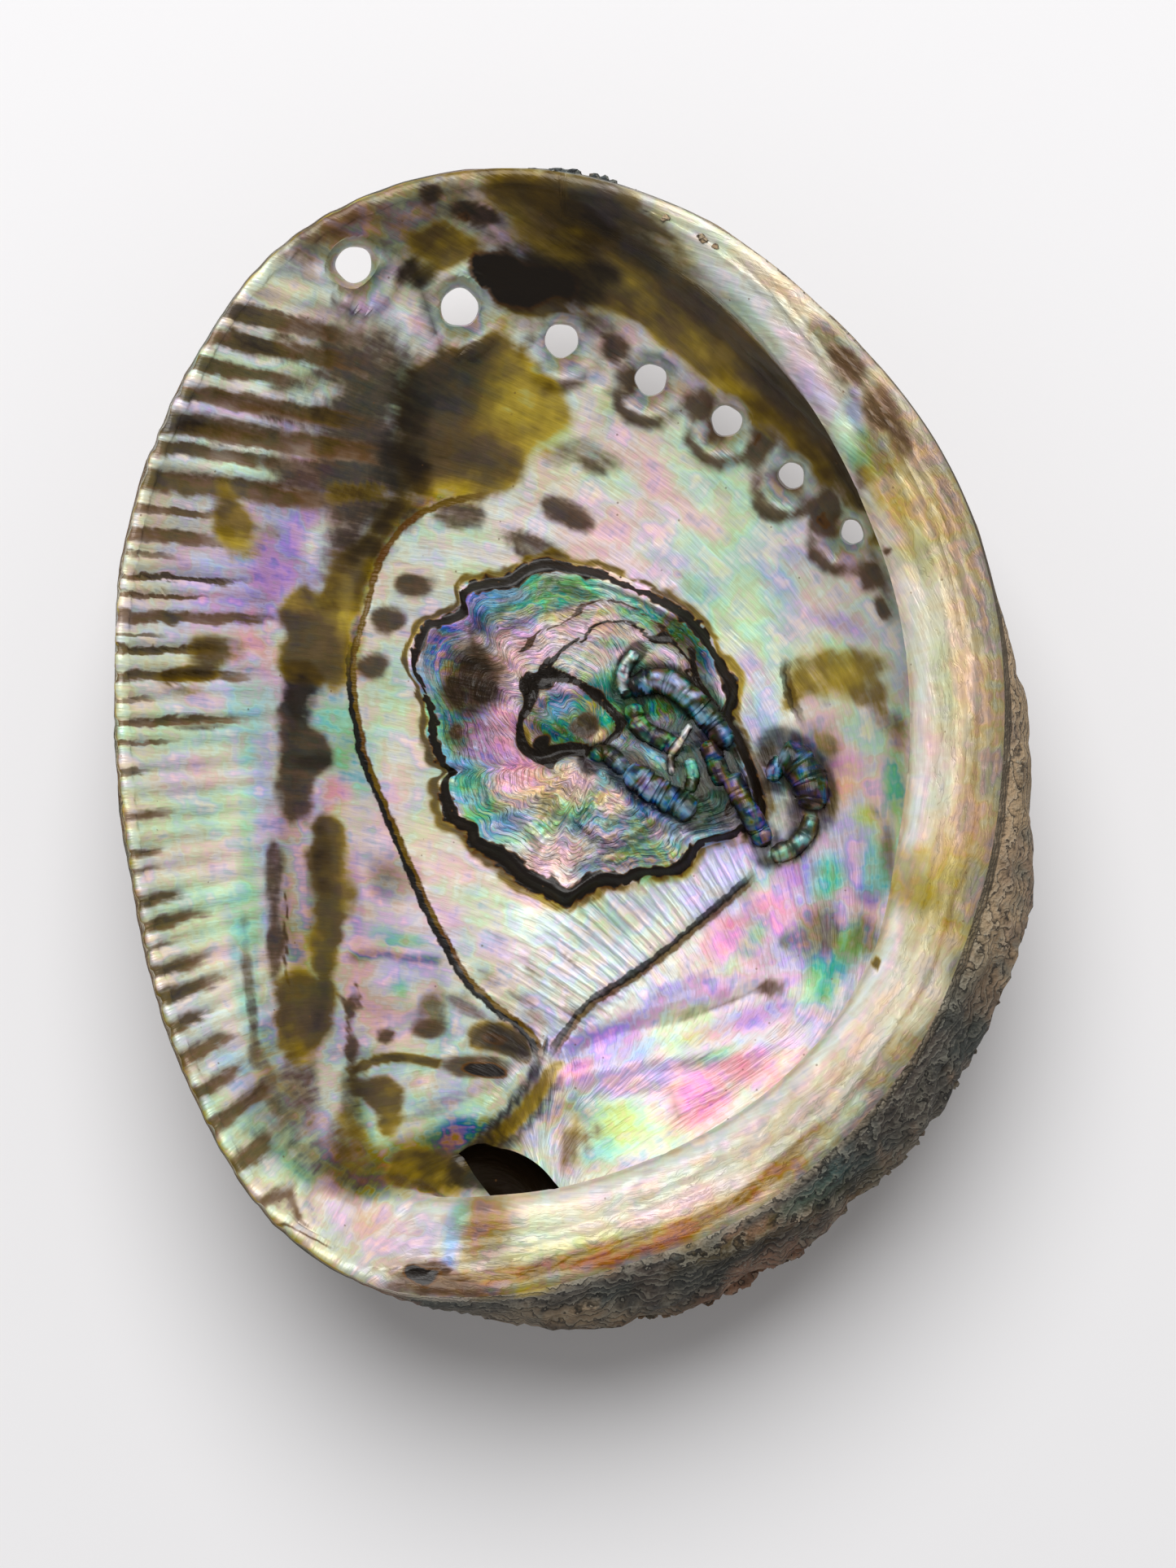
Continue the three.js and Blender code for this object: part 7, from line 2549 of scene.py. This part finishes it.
        s.lay([
            Patch(Tone.SMOKE, (1120, 1460), (120, 40), 42, 0.7),
            Patch(Tone.TAN, (1080, 1500), (90, 20), 40, 0.6),
            Patch(Tone.MAUVE, (1180, 1390), (60, 20), 56, 0.6),
            Patch(Tone.OLIVE, (960, 1500), (120, 16), 26, 0.7),
            Patch(Tone.RUST, (940, 1508), (70, 7), 12, 0.6),
            Patch(Tone.BARK, (900, 1560), (90, 14), 20, 0.4),
            Patch(Tone.TAN, (700, 1618), (90, 10), 0, 0.6),
            Patch(Tone.RUST, (480, 1598), (50, 12), -24, 0.7),
            Patch(Tone.SMOKE, (600, 1616), (60, 10), 0, 0.6),
            Patch(Tone.TEAL, (1000, 1470), (70, 12), 36, 0.45),
        ], where * smoothstep(z, 8, 14), 90)
        for crumbs in CRUMBS:
            crumbs.paint(s)
        s.tint(Tone.PEARL, 0.75 * where * (1 - smoothstep(z + 1.2 * grain, 0.6, 2.6)))
        s.traits[:, 2] = lerp(s.traits[:, 2], 0.1, where)
        s.stains *= (1 - where)[:, None]

    def paint(self, s: Surface) -> None:
        """Lays all regions in order."""
        self.ground(s)
        self.centre(s)
        self.right_wall(s)
        self.trough(s)
        self.left_margin(s)
        self.crown(s)
        self.hollows(s)
        self.ribbon(s)
        self.scar(s)
        self.ledge(s)
        self.outside(s)


Socket = bpy.types.NodeSocket


class Graph:
    """A material's shader graph, written as expressions that return sockets."""

    def __init__(self, name: str) -> None:
        """Starts a material with an empty graph."""
        self.material = bpy.data.materials.new(name)
        self.material.use_nodes = True
        self.tree = self.material.node_tree
        self.tree.nodes.clear()

    def put(self, socket: Socket, value: Socket | float | tuple) -> None:
        """Links a socket to a value, or sets its constant."""
        if isinstance(value, bpy.types.NodeSocket):
            self.tree.links.new(value, socket)
        elif hasattr(socket.default_value, "__len__") and isinstance(value, (int, float)):
            socket.default_value = [value] * len(socket.default_value)
        elif hasattr(socket.default_value, "__len__") and len(value) == 3 and len(socket.default_value) == 4:
            socket.default_value = (*value, 1.0)
        else:
            socket.default_value = value

    def node(self, kind: str, values: dict | None = None, **settings: object) -> bpy.types.Node:
        """Adds a node.

        Args:
            kind: the node's type.
            values: its inputs by name or number.
            settings: its own settings.

        Returns:
            The node.
        """
        made = self.tree.nodes.new(kind)
        for name, setting in settings.items():
            setattr(made, name, setting)
        for key, value in (values or {}).items():
            self.put(made.inputs[key], value)
        return made

    def math(self, operation: str, *values: Socket | float, clamp: bool = False) -> Socket:
        """One scalar operation."""
        node = self.node("ShaderNodeMath", dict(enumerate(values)), operation=operation, use_clamp=clamp)
        return node.outputs[0]

    def add(self, *values: Socket | float) -> Socket:
        """The sum of scalars."""
        total = values[0]
        for value in values[1:]:
            total = self.math("ADD", total, value)
        return total

    def times(self, *values: Socket | float) -> Socket:
        """The product of scalars."""
        total = values[0]
        for value in values[1:]:
            total = self.math("MULTIPLY", total, value)
        return total

    def swing(self, value: Socket, amount: Socket | float) -> Socket:
        """A scalar's distance from one half, scaled."""
        return self.times(self.math("SUBTRACT", value, 0.5), amount)

    def rise(self, value: Socket, low: float, high: float, start: float = 0.0, end: float = 1.0) -> Socket:
        """A smooth rise of a scalar from start to end, clamped outside."""
        values = {"Value": value, "From Min": low, "From Max": high, "To Min": start, "To Max": end}
        return self.node("ShaderNodeMapRange", values, interpolation_type="SMOOTHSTEP").outputs["Result"]

    def vector(self, operation: str, *values: Socket | tuple) -> Socket:
        """One vector operation."""
        return self.node("ShaderNodeVectorMath", dict(enumerate(values)), operation=operation).outputs[0]

    def scaled(self, value: Socket, factor: Socket | float) -> Socket:
        """A vector or colour times a scalar."""
        return self.node("ShaderNodeVectorMath", {0: value, "Scale": factor}, operation="SCALE").outputs[0]

    def mix(
        self, share: Socket | float, start: Socket | tuple, end: Socket | tuple, blend: str = "MIX"
    ) -> Socket:
        """Mixes two colours."""
        node = self.node("ShaderNodeMix", data_type="RGBA", blend_type=blend)
        self.put(node.inputs[0], share)
        self.put(node.inputs[6], start)
        self.put(node.inputs[7], end)
        return node.outputs[2]

    def noise(self, vector: Socket, scale: float, detail: float = 2.0, roughness: float = 0.5) -> Socket:
        """Noise from 0 to 1."""
        values = {"Vector": vector, "Scale": scale, "Detail": detail, "Roughness": roughness}
        return self.node("ShaderNodeTexNoise", values).outputs["Fac"]

    def ramp(self, value: Socket, stops: list[tuple[float, Tone]]) -> Socket:
        """A colour ramp through tones."""
        node = self.node("ShaderNodeValToRGB", {"Fac": value})
        ramp = node.color_ramp
        ramp.elements[0].position, ramp.elements[-1].position = stops[0][0], stops[-1][0]
        ramp.elements[0].color = (*linear(stops[0][1]), 1)
        ramp.elements[-1].color = (*linear(stops[-1][1]), 1)
        for position, tone in stops[1:-1]:
            ramp.elements.new(position).color = (*linear(tone), 1)
        return node.outputs["Color"]

    def table(
        self, value: Socket, stops: list[tuple[float, float, float]], low: float, high: float
    ) -> list[Socket]:
        """A ramp between numbers that aren't a colour.

        Args:
            value: where to read it.
            stops: each stop's place and its two numbers from 0 to 1.
            low: the place where it starts.
            high: the place where it ends.

        Returns:
            The two numbers there.
        """
        share = self.math("DIVIDE", self.math("SUBTRACT", value, low), high - low)
        node = self.node("ShaderNodeValToRGB", {"Fac": share})
        ramp = node.color_ramp
        for k, (place, first, second) in enumerate(stops):
            at = (place - low) / (high - low)
            if k in (0, len(stops) - 1):
                stop = ramp.elements[0 if k == 0 else -1]
                stop.position = at
            else:
                stop = ramp.elements.new(at)
            stop.color = (first, second, 0, 1)
        return self.node("ShaderNodeSeparateColor", {0: node.outputs["Color"]}).outputs[:2]

    def coat(self, name: str) -> tuple[Socket, Socket, Socket]:
        """The three numbers of a stored coat."""
        node = self.node("ShaderNodeAttribute", attribute_name=name)
        split = self.node("ShaderNodeSeparateXYZ", {0: node.outputs["Vector"]})
        return split.outputs[0], split.outputs[1], split.outputs[2]

    def painted(self) -> Socket:
        """The colour painted on the mesh."""
        return self.node("ShaderNodeAttribute", attribute_name="paint").outputs["Color"]

    def millimetres(self) -> Socket:
        """The piece's own coordinates, in millimetres."""
        own = self.node("ShaderNodeTexCoord").outputs["Object"]
        return self.vector("MULTIPLY", own, (1000.0, 1000.0, 1000.0))

    def finish(self, values: dict, bump: Socket, strength: float, distance: float) -> bpy.types.Material:
        """Ends the graph in a Principled shader over a bump.

        Args:
            values: the shader's inputs.
            bump: the bump's height.
            strength: the bump's strength.
            distance: the bump's depth in metres.

        Returns:
            The material.
        """
        values_for_bump = {"Height": bump, "Strength": strength, "Distance": distance}
        normal = self.node("ShaderNodeBump", values_for_bump).outputs["Normal"]
        shader = self.node("ShaderNodeBsdfPrincipled", {**values, "Normal": normal})
        output = self.node("ShaderNodeOutputMaterial", {"Surface": shader.outputs["BSDF"]})
        self.tree.nodes.active = output
        return self.material


@dataclass(frozen=True)
class Nacre:
    """Mother-of-pearl: painted tones and streaks, stains with an organic edge, painted shade and highlight,
    clear gloss.
    """

    coarse_mm: tuple[float, float] = (14.0, 2.0)
    fine_mm: tuple[float, float] = (6.5, 0.5)
    cross_mm: tuple[float, float] = (8.0, 1.2)
    turn_step_deg: float = 22.5
    shimmer: float = 0.9
    streak: float = 0.42
    roughness: float = 0.32
    metallic: float = 0.12
    coat: float = 0.18
    specular: float = 0.22

    def streaks(
        self, g: Graph, at: Socket, angle: Socket, along: float, across: float, detail: float
    ) -> Socket:
        """Noise drawn out along a direction that changes from place to place.

        Two sets of fixed directions take turns: each place uses the nearest of both, weighted by how near.

        Args:
            g: the graph.
            at: position in millimetres.
            angle: the direction in radians.
            along: the streaks' length in millimetres.
            across: their width in millimetres.
            detail: the noise's detail.

        Returns:
            Noise from 0 to 1.
        """
        step = math.radians(self.turn_step_deg)
        turns = 180.0 / self.turn_step_deg
        scaled = g.math("DIVIDE", angle, step)
        nearest = g.math("ROUND", scaled)
        off = g.math("ABSOLUTE", g.math("SUBTRACT", scaled, nearest))
        odd_weight = g.times(off, 2.0)
        even_weight = g.math("SUBTRACT", 1.0, odd_weight)
        total = None
        for number, weight in ((nearest, even_weight), (g.math("FLOOR", scaled), odd_weight)):
            wrapped = g.math("FLOORED_MODULO", number, turns)
            if weight is odd_weight:
                wrapped = g.add(wrapped, 0.5)
            turned = g.node("ShaderNodeVectorRotate", {"Vector": at, "Angle": g.times(wrapped, -step)},
                            rotation_type="Z_AXIS").outputs[0]
            shifted = g.vector("MULTIPLY", turned, (1 / along, 1 / across, 2.2 / along))
            offset = g.node("ShaderNodeCombineXYZ", {
                0: g.times(wrapped, 3.7), 1: g.times(wrapped, 5.3), 2: wrapped,
            })
            noise = g.noise(g.vector("ADD", shifted, offset.outputs[0]), 1.0, detail, 0.6)
            part = g.swing(noise, weight)
            total = part if total is None else g.add(total, part)
        power = g.math("SQRT", g.add(g.math("POWER", even_weight, 2.0), g.math("POWER", odd_weight, 2.0)))
        return g.add(g.math("DIVIDE", total, power), 0.5)

    def build(self) -> bpy.types.Material:
        """Makes the material.

        Returns:
            The material, which reads the coats stored on the mesh.
        """
        g = Graph("nacre")
        at = g.millimetres()
        amber, umber, black = g.coat("stains")
        shimmer, depth, gloss = g.coat("traits")
        seam, seam_strength, angle = g.coat("lines")
        grown, rib_phase, rib_strength = g.coat("growth")
        layered, on_ledge, shade = g.coat("layers")
        paint = g.painted()
        core_strength, _, _ = g.coat("seams")
        coarse = self.streaks(g, at, angle, *self.coarse_mm, 2.0)
        fine = self.streaks(g, at, angle, *self.fine_mm, 2.0)
        cross = self.streaks(g, at, g.add(angle, math.pi / 2 + 0.15), *self.cross_mm, 1.0)
        cloud = g.noise(at, 0.11, 3.0, 0.55)
        patchy = g.noise(at, 0.3, 2.0)
        small = g.noise(at, 0.9, 2.0)
        split = g.node("ShaderNodeSeparateXYZ", {0: at})
        rows = g.add(g.times(grown, g.rise(on_ledge, 0, 1, 1.1, 0.75)), g.times(cloud, 4.0))
        row_place = g.node("ShaderNodeCombineXYZ", {0: rows, 1: g.times(split.outputs[0], 0.09),
                                                    2: g.times(split.outputs[1], 0.09)}).outputs[0]
        layer = g.noise(row_place, 1.0, 4.0, 0.6)
        off_layer = g.swing(layer, layered)
        crease_gap = g.math("ABSOLUTE", g.math("SUBTRACT", layer, 0.5))
        crease = g.times(g.rise(crease_gap, 0.0, 0.026, 1, 0), layered)
        step = g.math("FRACT", g.add(g.times(rows, 1.15), g.times(small, 0.5), g.times(cloud, 1.5)))
        terrace = g.times(g.rise(step, 0.0, 0.3, 1, 0), g.rise(step, 0.93, 1.0, 1, 0),
                          g.rise(layered, 0.8, 1.1), g.rise(patchy, 0.42, 0.6))
        wheel = [(0.0, Tone.PINK), (0.16, Tone.PEACH), (0.3, Tone.LIME), (0.46, Tone.MINT), (0.6, Tone.AQUA),
                 (0.74, Tone.SKY), (0.88, Tone.LILAC), (1.0, Tone.PINK)]
        hue = g.add(g.times(coarse, 1.5), g.times(fine, 0.35), g.times(cross, 0.5), g.times(cloud, 3.0),
                    g.times(patchy, 1.3), g.times(small, 0.25), g.times(off_layer, 1.6))
        hues = g.ramp(g.math("FRACT", hue), wheel)
        mean = tuple(np.mean([linear(tone) for _, tone in wheel[:-1]], axis=0))
        shift = g.vector("SUBTRACT", hues, mean)
        amount = g.times(shimmer, self.shimmer)
        shift = g.scaled(shift, amount)
        base = g.vector("ADD", paint, shift)
        # The same noises raise the bump, so besides the nacre's own light and dark streaks this paints
        # highlight on its ridges and ribs and shade in its grooves, layer creases and terrace steps.
        light = g.add(1.0, g.swing(fine, self.streak * 0.9),
                      g.swing(coarse, self.streak * 1.2),
                      g.swing(cross, self.streak * 0.4),
                      g.swing(patchy, self.streak * 0.8), g.times(off_layer, 1.0))
        ribs = g.times(g.math("SINE", g.add(rib_phase, g.times(coarse, 5.0))), rib_strength)
        light = g.add(light, g.times(ribs, 0.13), g.times(crease, -0.4), g.times(terrace, -0.55))
        base = g.scaled(base, light)
        base = g.vector("MAXIMUM", base, (0.0, 0.0, 0.0))

        ragged = g.add(g.swing(coarse, 1.0), g.swing(fine, 0.4), g.swing(small, 0.3))
        umber_level = g.add(umber, g.times(ragged, 0.7))
        umber_depth = g.add(g.times(umber, 0.8), g.times(ragged, 0.8), g.times(depth, 0.3))
        umber_tone = g.ramp(umber_depth, [(0.0, Tone.MAUVE), (0.4, Tone.UMBER), (1.0, Tone.BARK)])
        umber_at = g.times(g.rise(umber_level, 0.08, 0.8), g.rise(umber, 0.0, 0.15, 0, 0.94))
        base = g.mix(umber_at, base, umber_tone)
        level, inset, margin = g.coat("cords")
        level = g.add(level, g.times(ragged, 14.0), g.swing(patchy, 12.0))
        band = None
        for stops in CORDS.tables():
            low, high = stops[0][0] - 1, stops[-1][0] + 1
            dark, length = g.table(level, [(at_, d, n / BAND_UNIT_PX) for at_, d, n in stops], low, high)
            reach = g.math("DIVIDE", inset, g.times(g.math("MAXIMUM", length, 0.02), BAND_UNIT_PX))
            part = g.times(dark, g.rise(g.add(reach, g.times(ragged, 0.5)), 0.5, 1.3, 1, 0))
            band = part if band is None else g.math("MAXIMUM", band, part)
        band = g.times(band, margin)
        band_depth = g.add(g.times(band, 0.5), g.swing(cloud, 1.8), g.times(ragged, 0.8))
        band_tones = [(0.0, Tone.MAUVE), (0.3, Tone.UMBER), (0.5, Tone.OLIVE), (0.85, Tone.BARK)]
        band_tone = g.ramp(band_depth, band_tones)
        base = g.mix(g.rise(band, 0.06, 0.75, 0, 0.93), base, band_tone)
        amber_level = g.add(amber, g.times(ragged, 0.6))
        amber_at = g.rise(amber_level, 0.1, 0.72)
        amber_depth = g.add(g.times(amber, 0.6), g.times(depth, 0.28), g.swing(cloud, 1.1),
                            g.swing(coarse, 0.4))
        amber_tone = g.ramp(amber_depth, [(0.0, Tone.LIME), (0.16, Tone.GOLD), (0.38, Tone.MOSS),
                                          (0.64, Tone.OLIVE), (1.0, Tone.BARK)])
        base = g.mix(g.times(amber_at, g.rise(amber, 0.0, 0.15, 0, 0.95)), base, amber_tone)
        # The black stain: the scar's dark border and other black marks, and painted shade inside the horn.
        black_level = g.add(black, g.times(ragged, 0.35))
        base = g.mix(g.rise(black_level, 0.3, 0.5, 0, 0.9), base, tuple(linear(Tone.AMBER) * 0.5))
        base = g.mix(g.rise(black_level, 0.46, 0.66, 0, 0.96), base, tuple(linear(Tone.INK)))
        # The shade coat: painted shade under the ledge, in hollows and round the horn, holes and tubes, and
        # dark markings, as a darkening towards dark brown.
        shade_level = g.add(shade, g.times(ragged, g.rise(shade, 0.0, 0.5, 0.0, 0.5)))
        base = g.mix(g.rise(shade_level, 0.02, 1.0, 0, 0.95), base, tuple(linear(Tone.BARK) * 0.5))

        wobble = g.add(seam, g.swing(g.noise(at, 0.8, 3.0), 9.0))
        gold_gap = g.math("ABSOLUTE", g.math("SUBTRACT", wobble, 2.5))
        gold = g.times(g.rise(gold_gap, 2.5, 6.0, 1, 0), seam_strength)
        gold_tones = (tuple(linear(Tone.OLIVE) * 1.3), tuple(linear(Tone.AMBER) * 0.45))
        base = g.mix(g.times(gold, 0.92), base, g.mix(g.rise(cloud, 0.4, 0.6), *gold_tones))
        core_width = g.rise(cloud, 0.3, 0.7, 2.2, 4.6)
        core_gap = g.math("SUBTRACT", g.math("ABSOLUTE", g.add(wobble, 2.5)), core_width)
        core = g.times(g.rise(core_gap, -0.8, 1.6, 1, 0), core_strength)
        base = g.mix(g.times(core, 0.9), base, tuple(linear(Tone.INK) * 1.4))

        cells = g.node("ShaderNodeTexVoronoi", {"Vector": at, "Scale": 0.42, "Randomness": 1.0})
        rare = g.rise(g.node("ShaderNodeSeparateXYZ", {0: cells.outputs["Color"]}).outputs[0], 0.72, 0.74)
        speck = g.times(g.rise(cells.outputs["Distance"], 0.05, 0.1, 1, 0), rare)
        base = g.mix(g.times(speck, 0.6), base, tuple(linear(Tone.UMBER)))

        bump = g.add(g.times(fine, 0.55), g.times(coarse, 0.9), g.times(ribs, 0.4), g.times(small, 0.12),
                     g.times(off_layer, 2.2), g.times(crease, -0.25), g.times(terrace, -0.5))
        roughness = g.add(g.rise(gloss, 0, 1, 0.6, self.roughness), g.swing(fine, 0.12))
        values = {
            "Base Color": base, "Roughness": roughness, "Metallic": self.metallic,
            "Coat Weight": self.coat, "Coat Roughness": 0.1, "Coat IOR": 1.5,
            "Specular IOR Level": self.specular,
        }
        return g.finish(values, bump, 0.6, 0.0004)


@dataclass(frozen=True)
class Crust:
    """The dull outside: thin growth plates, dark between, under specks of pale crust."""

    plate_mm: float = 1.1

    def build(self) -> bpy.types.Material:
        """Makes the material.

        Returns:
            The material, which reads the coats stored on the mesh.
        """
        g = Graph("crust")
        at = g.millimetres()
        grown, _, _ = g.coat("growth")
        paint = g.painted()
        wander = g.noise(at, 0.16, 4.0, 0.6)
        rows = g.add(g.math("DIVIDE", grown, self.plate_mm), g.times(wander, 6.0),
                     g.times(g.noise(at, 0.9, 2.0), 0.9))
        plate = g.math("FRACT", rows)
        thin = g.noise(g.vector("MULTIPLY", at, (0.5, 0.5, 1.6)), 1.2, 4.0, 0.65)
        grit = g.noise(at, 1.9, 3.0, 0.6)
        # Darker where the thin layers sink and at the foot of each plate's step, where the bump dips: partly
        # the crust's dark layering, partly painted shade on its relief.
        shade = g.add(0.55, g.times(thin, 0.95))
        base = g.scaled(paint, shade)
        base = g.mix(g.times(g.rise(plate, 0.0, 0.4, 1, 0), 0.85), base, tuple(linear(Tone.INK) * 1.2))
        base = g.mix(g.times(g.rise(plate, 0.55, 0.95), 0.2), base, tuple(linear(Tone.CREAM) * 0.7))
        pale = g.rise(g.add(g.times(grit, 0.6), g.times(wander, 0.7)), 0.74, 0.9)
        base = g.mix(g.times(pale, 0.8), base, tuple(linear(Tone.CREAM) * 0.62))
        bump = g.add(g.times(plate, 1.0), g.times(thin, 0.7), g.times(grit, 0.35), g.times(pale, 0.4))
        values = {"Base Color": base, "Roughness": g.rise(thin, 0.2, 0.8, 0.62, 0.92)}
        return g.finish(values, bump, 0.9, 0.0007)


def dress(shell: bpy.types.Object, surface: Surface) -> None:
    """Stores the coats on the mesh and gives each part its finish: crust outside and nacre elsewhere."""
    surface.write(shell.data)
    finishes = [Nacre().build(), Crust().build()]
    slots = [1 if part is Part.OUTSIDE else 0 for part in Part]
    kinds = np.empty(len(shell.data.polygons), np.int32)
    shell.data.polygons.foreach_get("material_index", kinds)
    shell.data.materials.clear()
    for finish in finishes:
        shell.data.materials.append(finish)
    shell.data.polygons.foreach_set("material_index", np.array(slots, np.int32)[kinds])
    shell.data.update()


@dataclass(frozen=True)
class Studio:
    """A plain pale floor, white walls under a dim ceiling, and one soft light beyond the front margin."""

    floor_half: float = 1.2
    light_power: float = 24.8
    light_size: float = 1.3
    light_at: tuple[float, float, float] = (-0.1, 0.85, 1.35)
    wall: float = 0.38
    ceiling: float = 0.2

    def build(self) -> None:
        """Adds the floor, the light and the surroundings."""
        half = self.floor_half
        mesh = bpy.data.meshes.new("floor")
        corners = [(-half, -half, 0), (half, -half, 0), (half, half, 0), (-half, half, 0)]
        mesh.from_pydata(corners, [], [(0, 1, 2, 3)])
        floor = bpy.data.objects.new("floor", mesh)
        bpy.context.scene.collection.objects.link(floor)
        paper = bpy.data.materials.new("pale paper")
        paper.use_nodes = True
        shader = paper.node_tree.nodes["Principled BSDF"]
        shader.inputs["Base Color"].default_value = (0.87, 0.86, 0.87, 1)
        shader.inputs["Roughness"].default_value = 0.9
        mesh.materials.append(paper)
        data = bpy.data.lights.new("soft light", "AREA")
        data.shape = "DISK"
        data.size = self.light_size
        data.energy = self.light_power
        light = bpy.data.objects.new("soft light", data)
        at = np.array(self.light_at)
        back = at / np.linalg.norm(at)
        right = np.cross([0, 0, 1.0], back)
        right /= np.linalg.norm(right)
        turn = np.eye(4)
        turn[:3, 0], turn[:3, 1], turn[:3, 2], turn[:3, 3] = right, np.cross(back, right), back, at
        light.matrix_world = Matrix(turn.tolist())
        bpy.context.scene.collection.objects.link(light)
        world = bpy.data.worlds.new("white surroundings")
        world.use_nodes = True
        tree = world.node_tree
        place = tree.nodes.new("ShaderNodeTexCoord")
        split = tree.nodes.new("ShaderNodeSeparateXYZ")
        tree.links.new(place.outputs["Generated"], split.inputs[0])
        fade = tree.nodes.new("ShaderNodeMapRange")
        fade.interpolation_type = "SMOOTHSTEP"
        tree.links.new(split.outputs[2], fade.inputs["Value"])
        fade.inputs["From Min"].default_value, fade.inputs["From Max"].default_value = 0.62, 0.95
        fade.inputs["To Min"].default_value, fade.inputs["To Max"].default_value = self.wall, self.ceiling
        background = tree.nodes["Background"]
        background.inputs["Color"].default_value = (1, 1, 1, 1)
        tree.links.new(fade.outputs["Result"], background.inputs["Strength"])
        bpy.context.scene.world = world
        bpy.context.scene.view_settings.view_transform = "Standard"


def main() -> None:
    """Builds the shell, dresses it and sets up the view."""
    logging.basicConfig(level=logging.INFO, format="%(message)s")
    VIEW.add_camera()
    bowl, holes, spire = Bowl(), Holes(), Spire()
    relief = Relief(bowl, holes, spire, CORDS)
    shell = Shell(bowl, holes, spire, relief).build()
    surface = Surface.of(shell, bowl, holes, relief)
    Painter(CORDS).paint(surface)
    dress(shell, surface)
    log.info("painted")
    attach(shell, BODY)
    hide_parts(NODE)
    Studio().build()


if __name__ == "__main__":
    main()
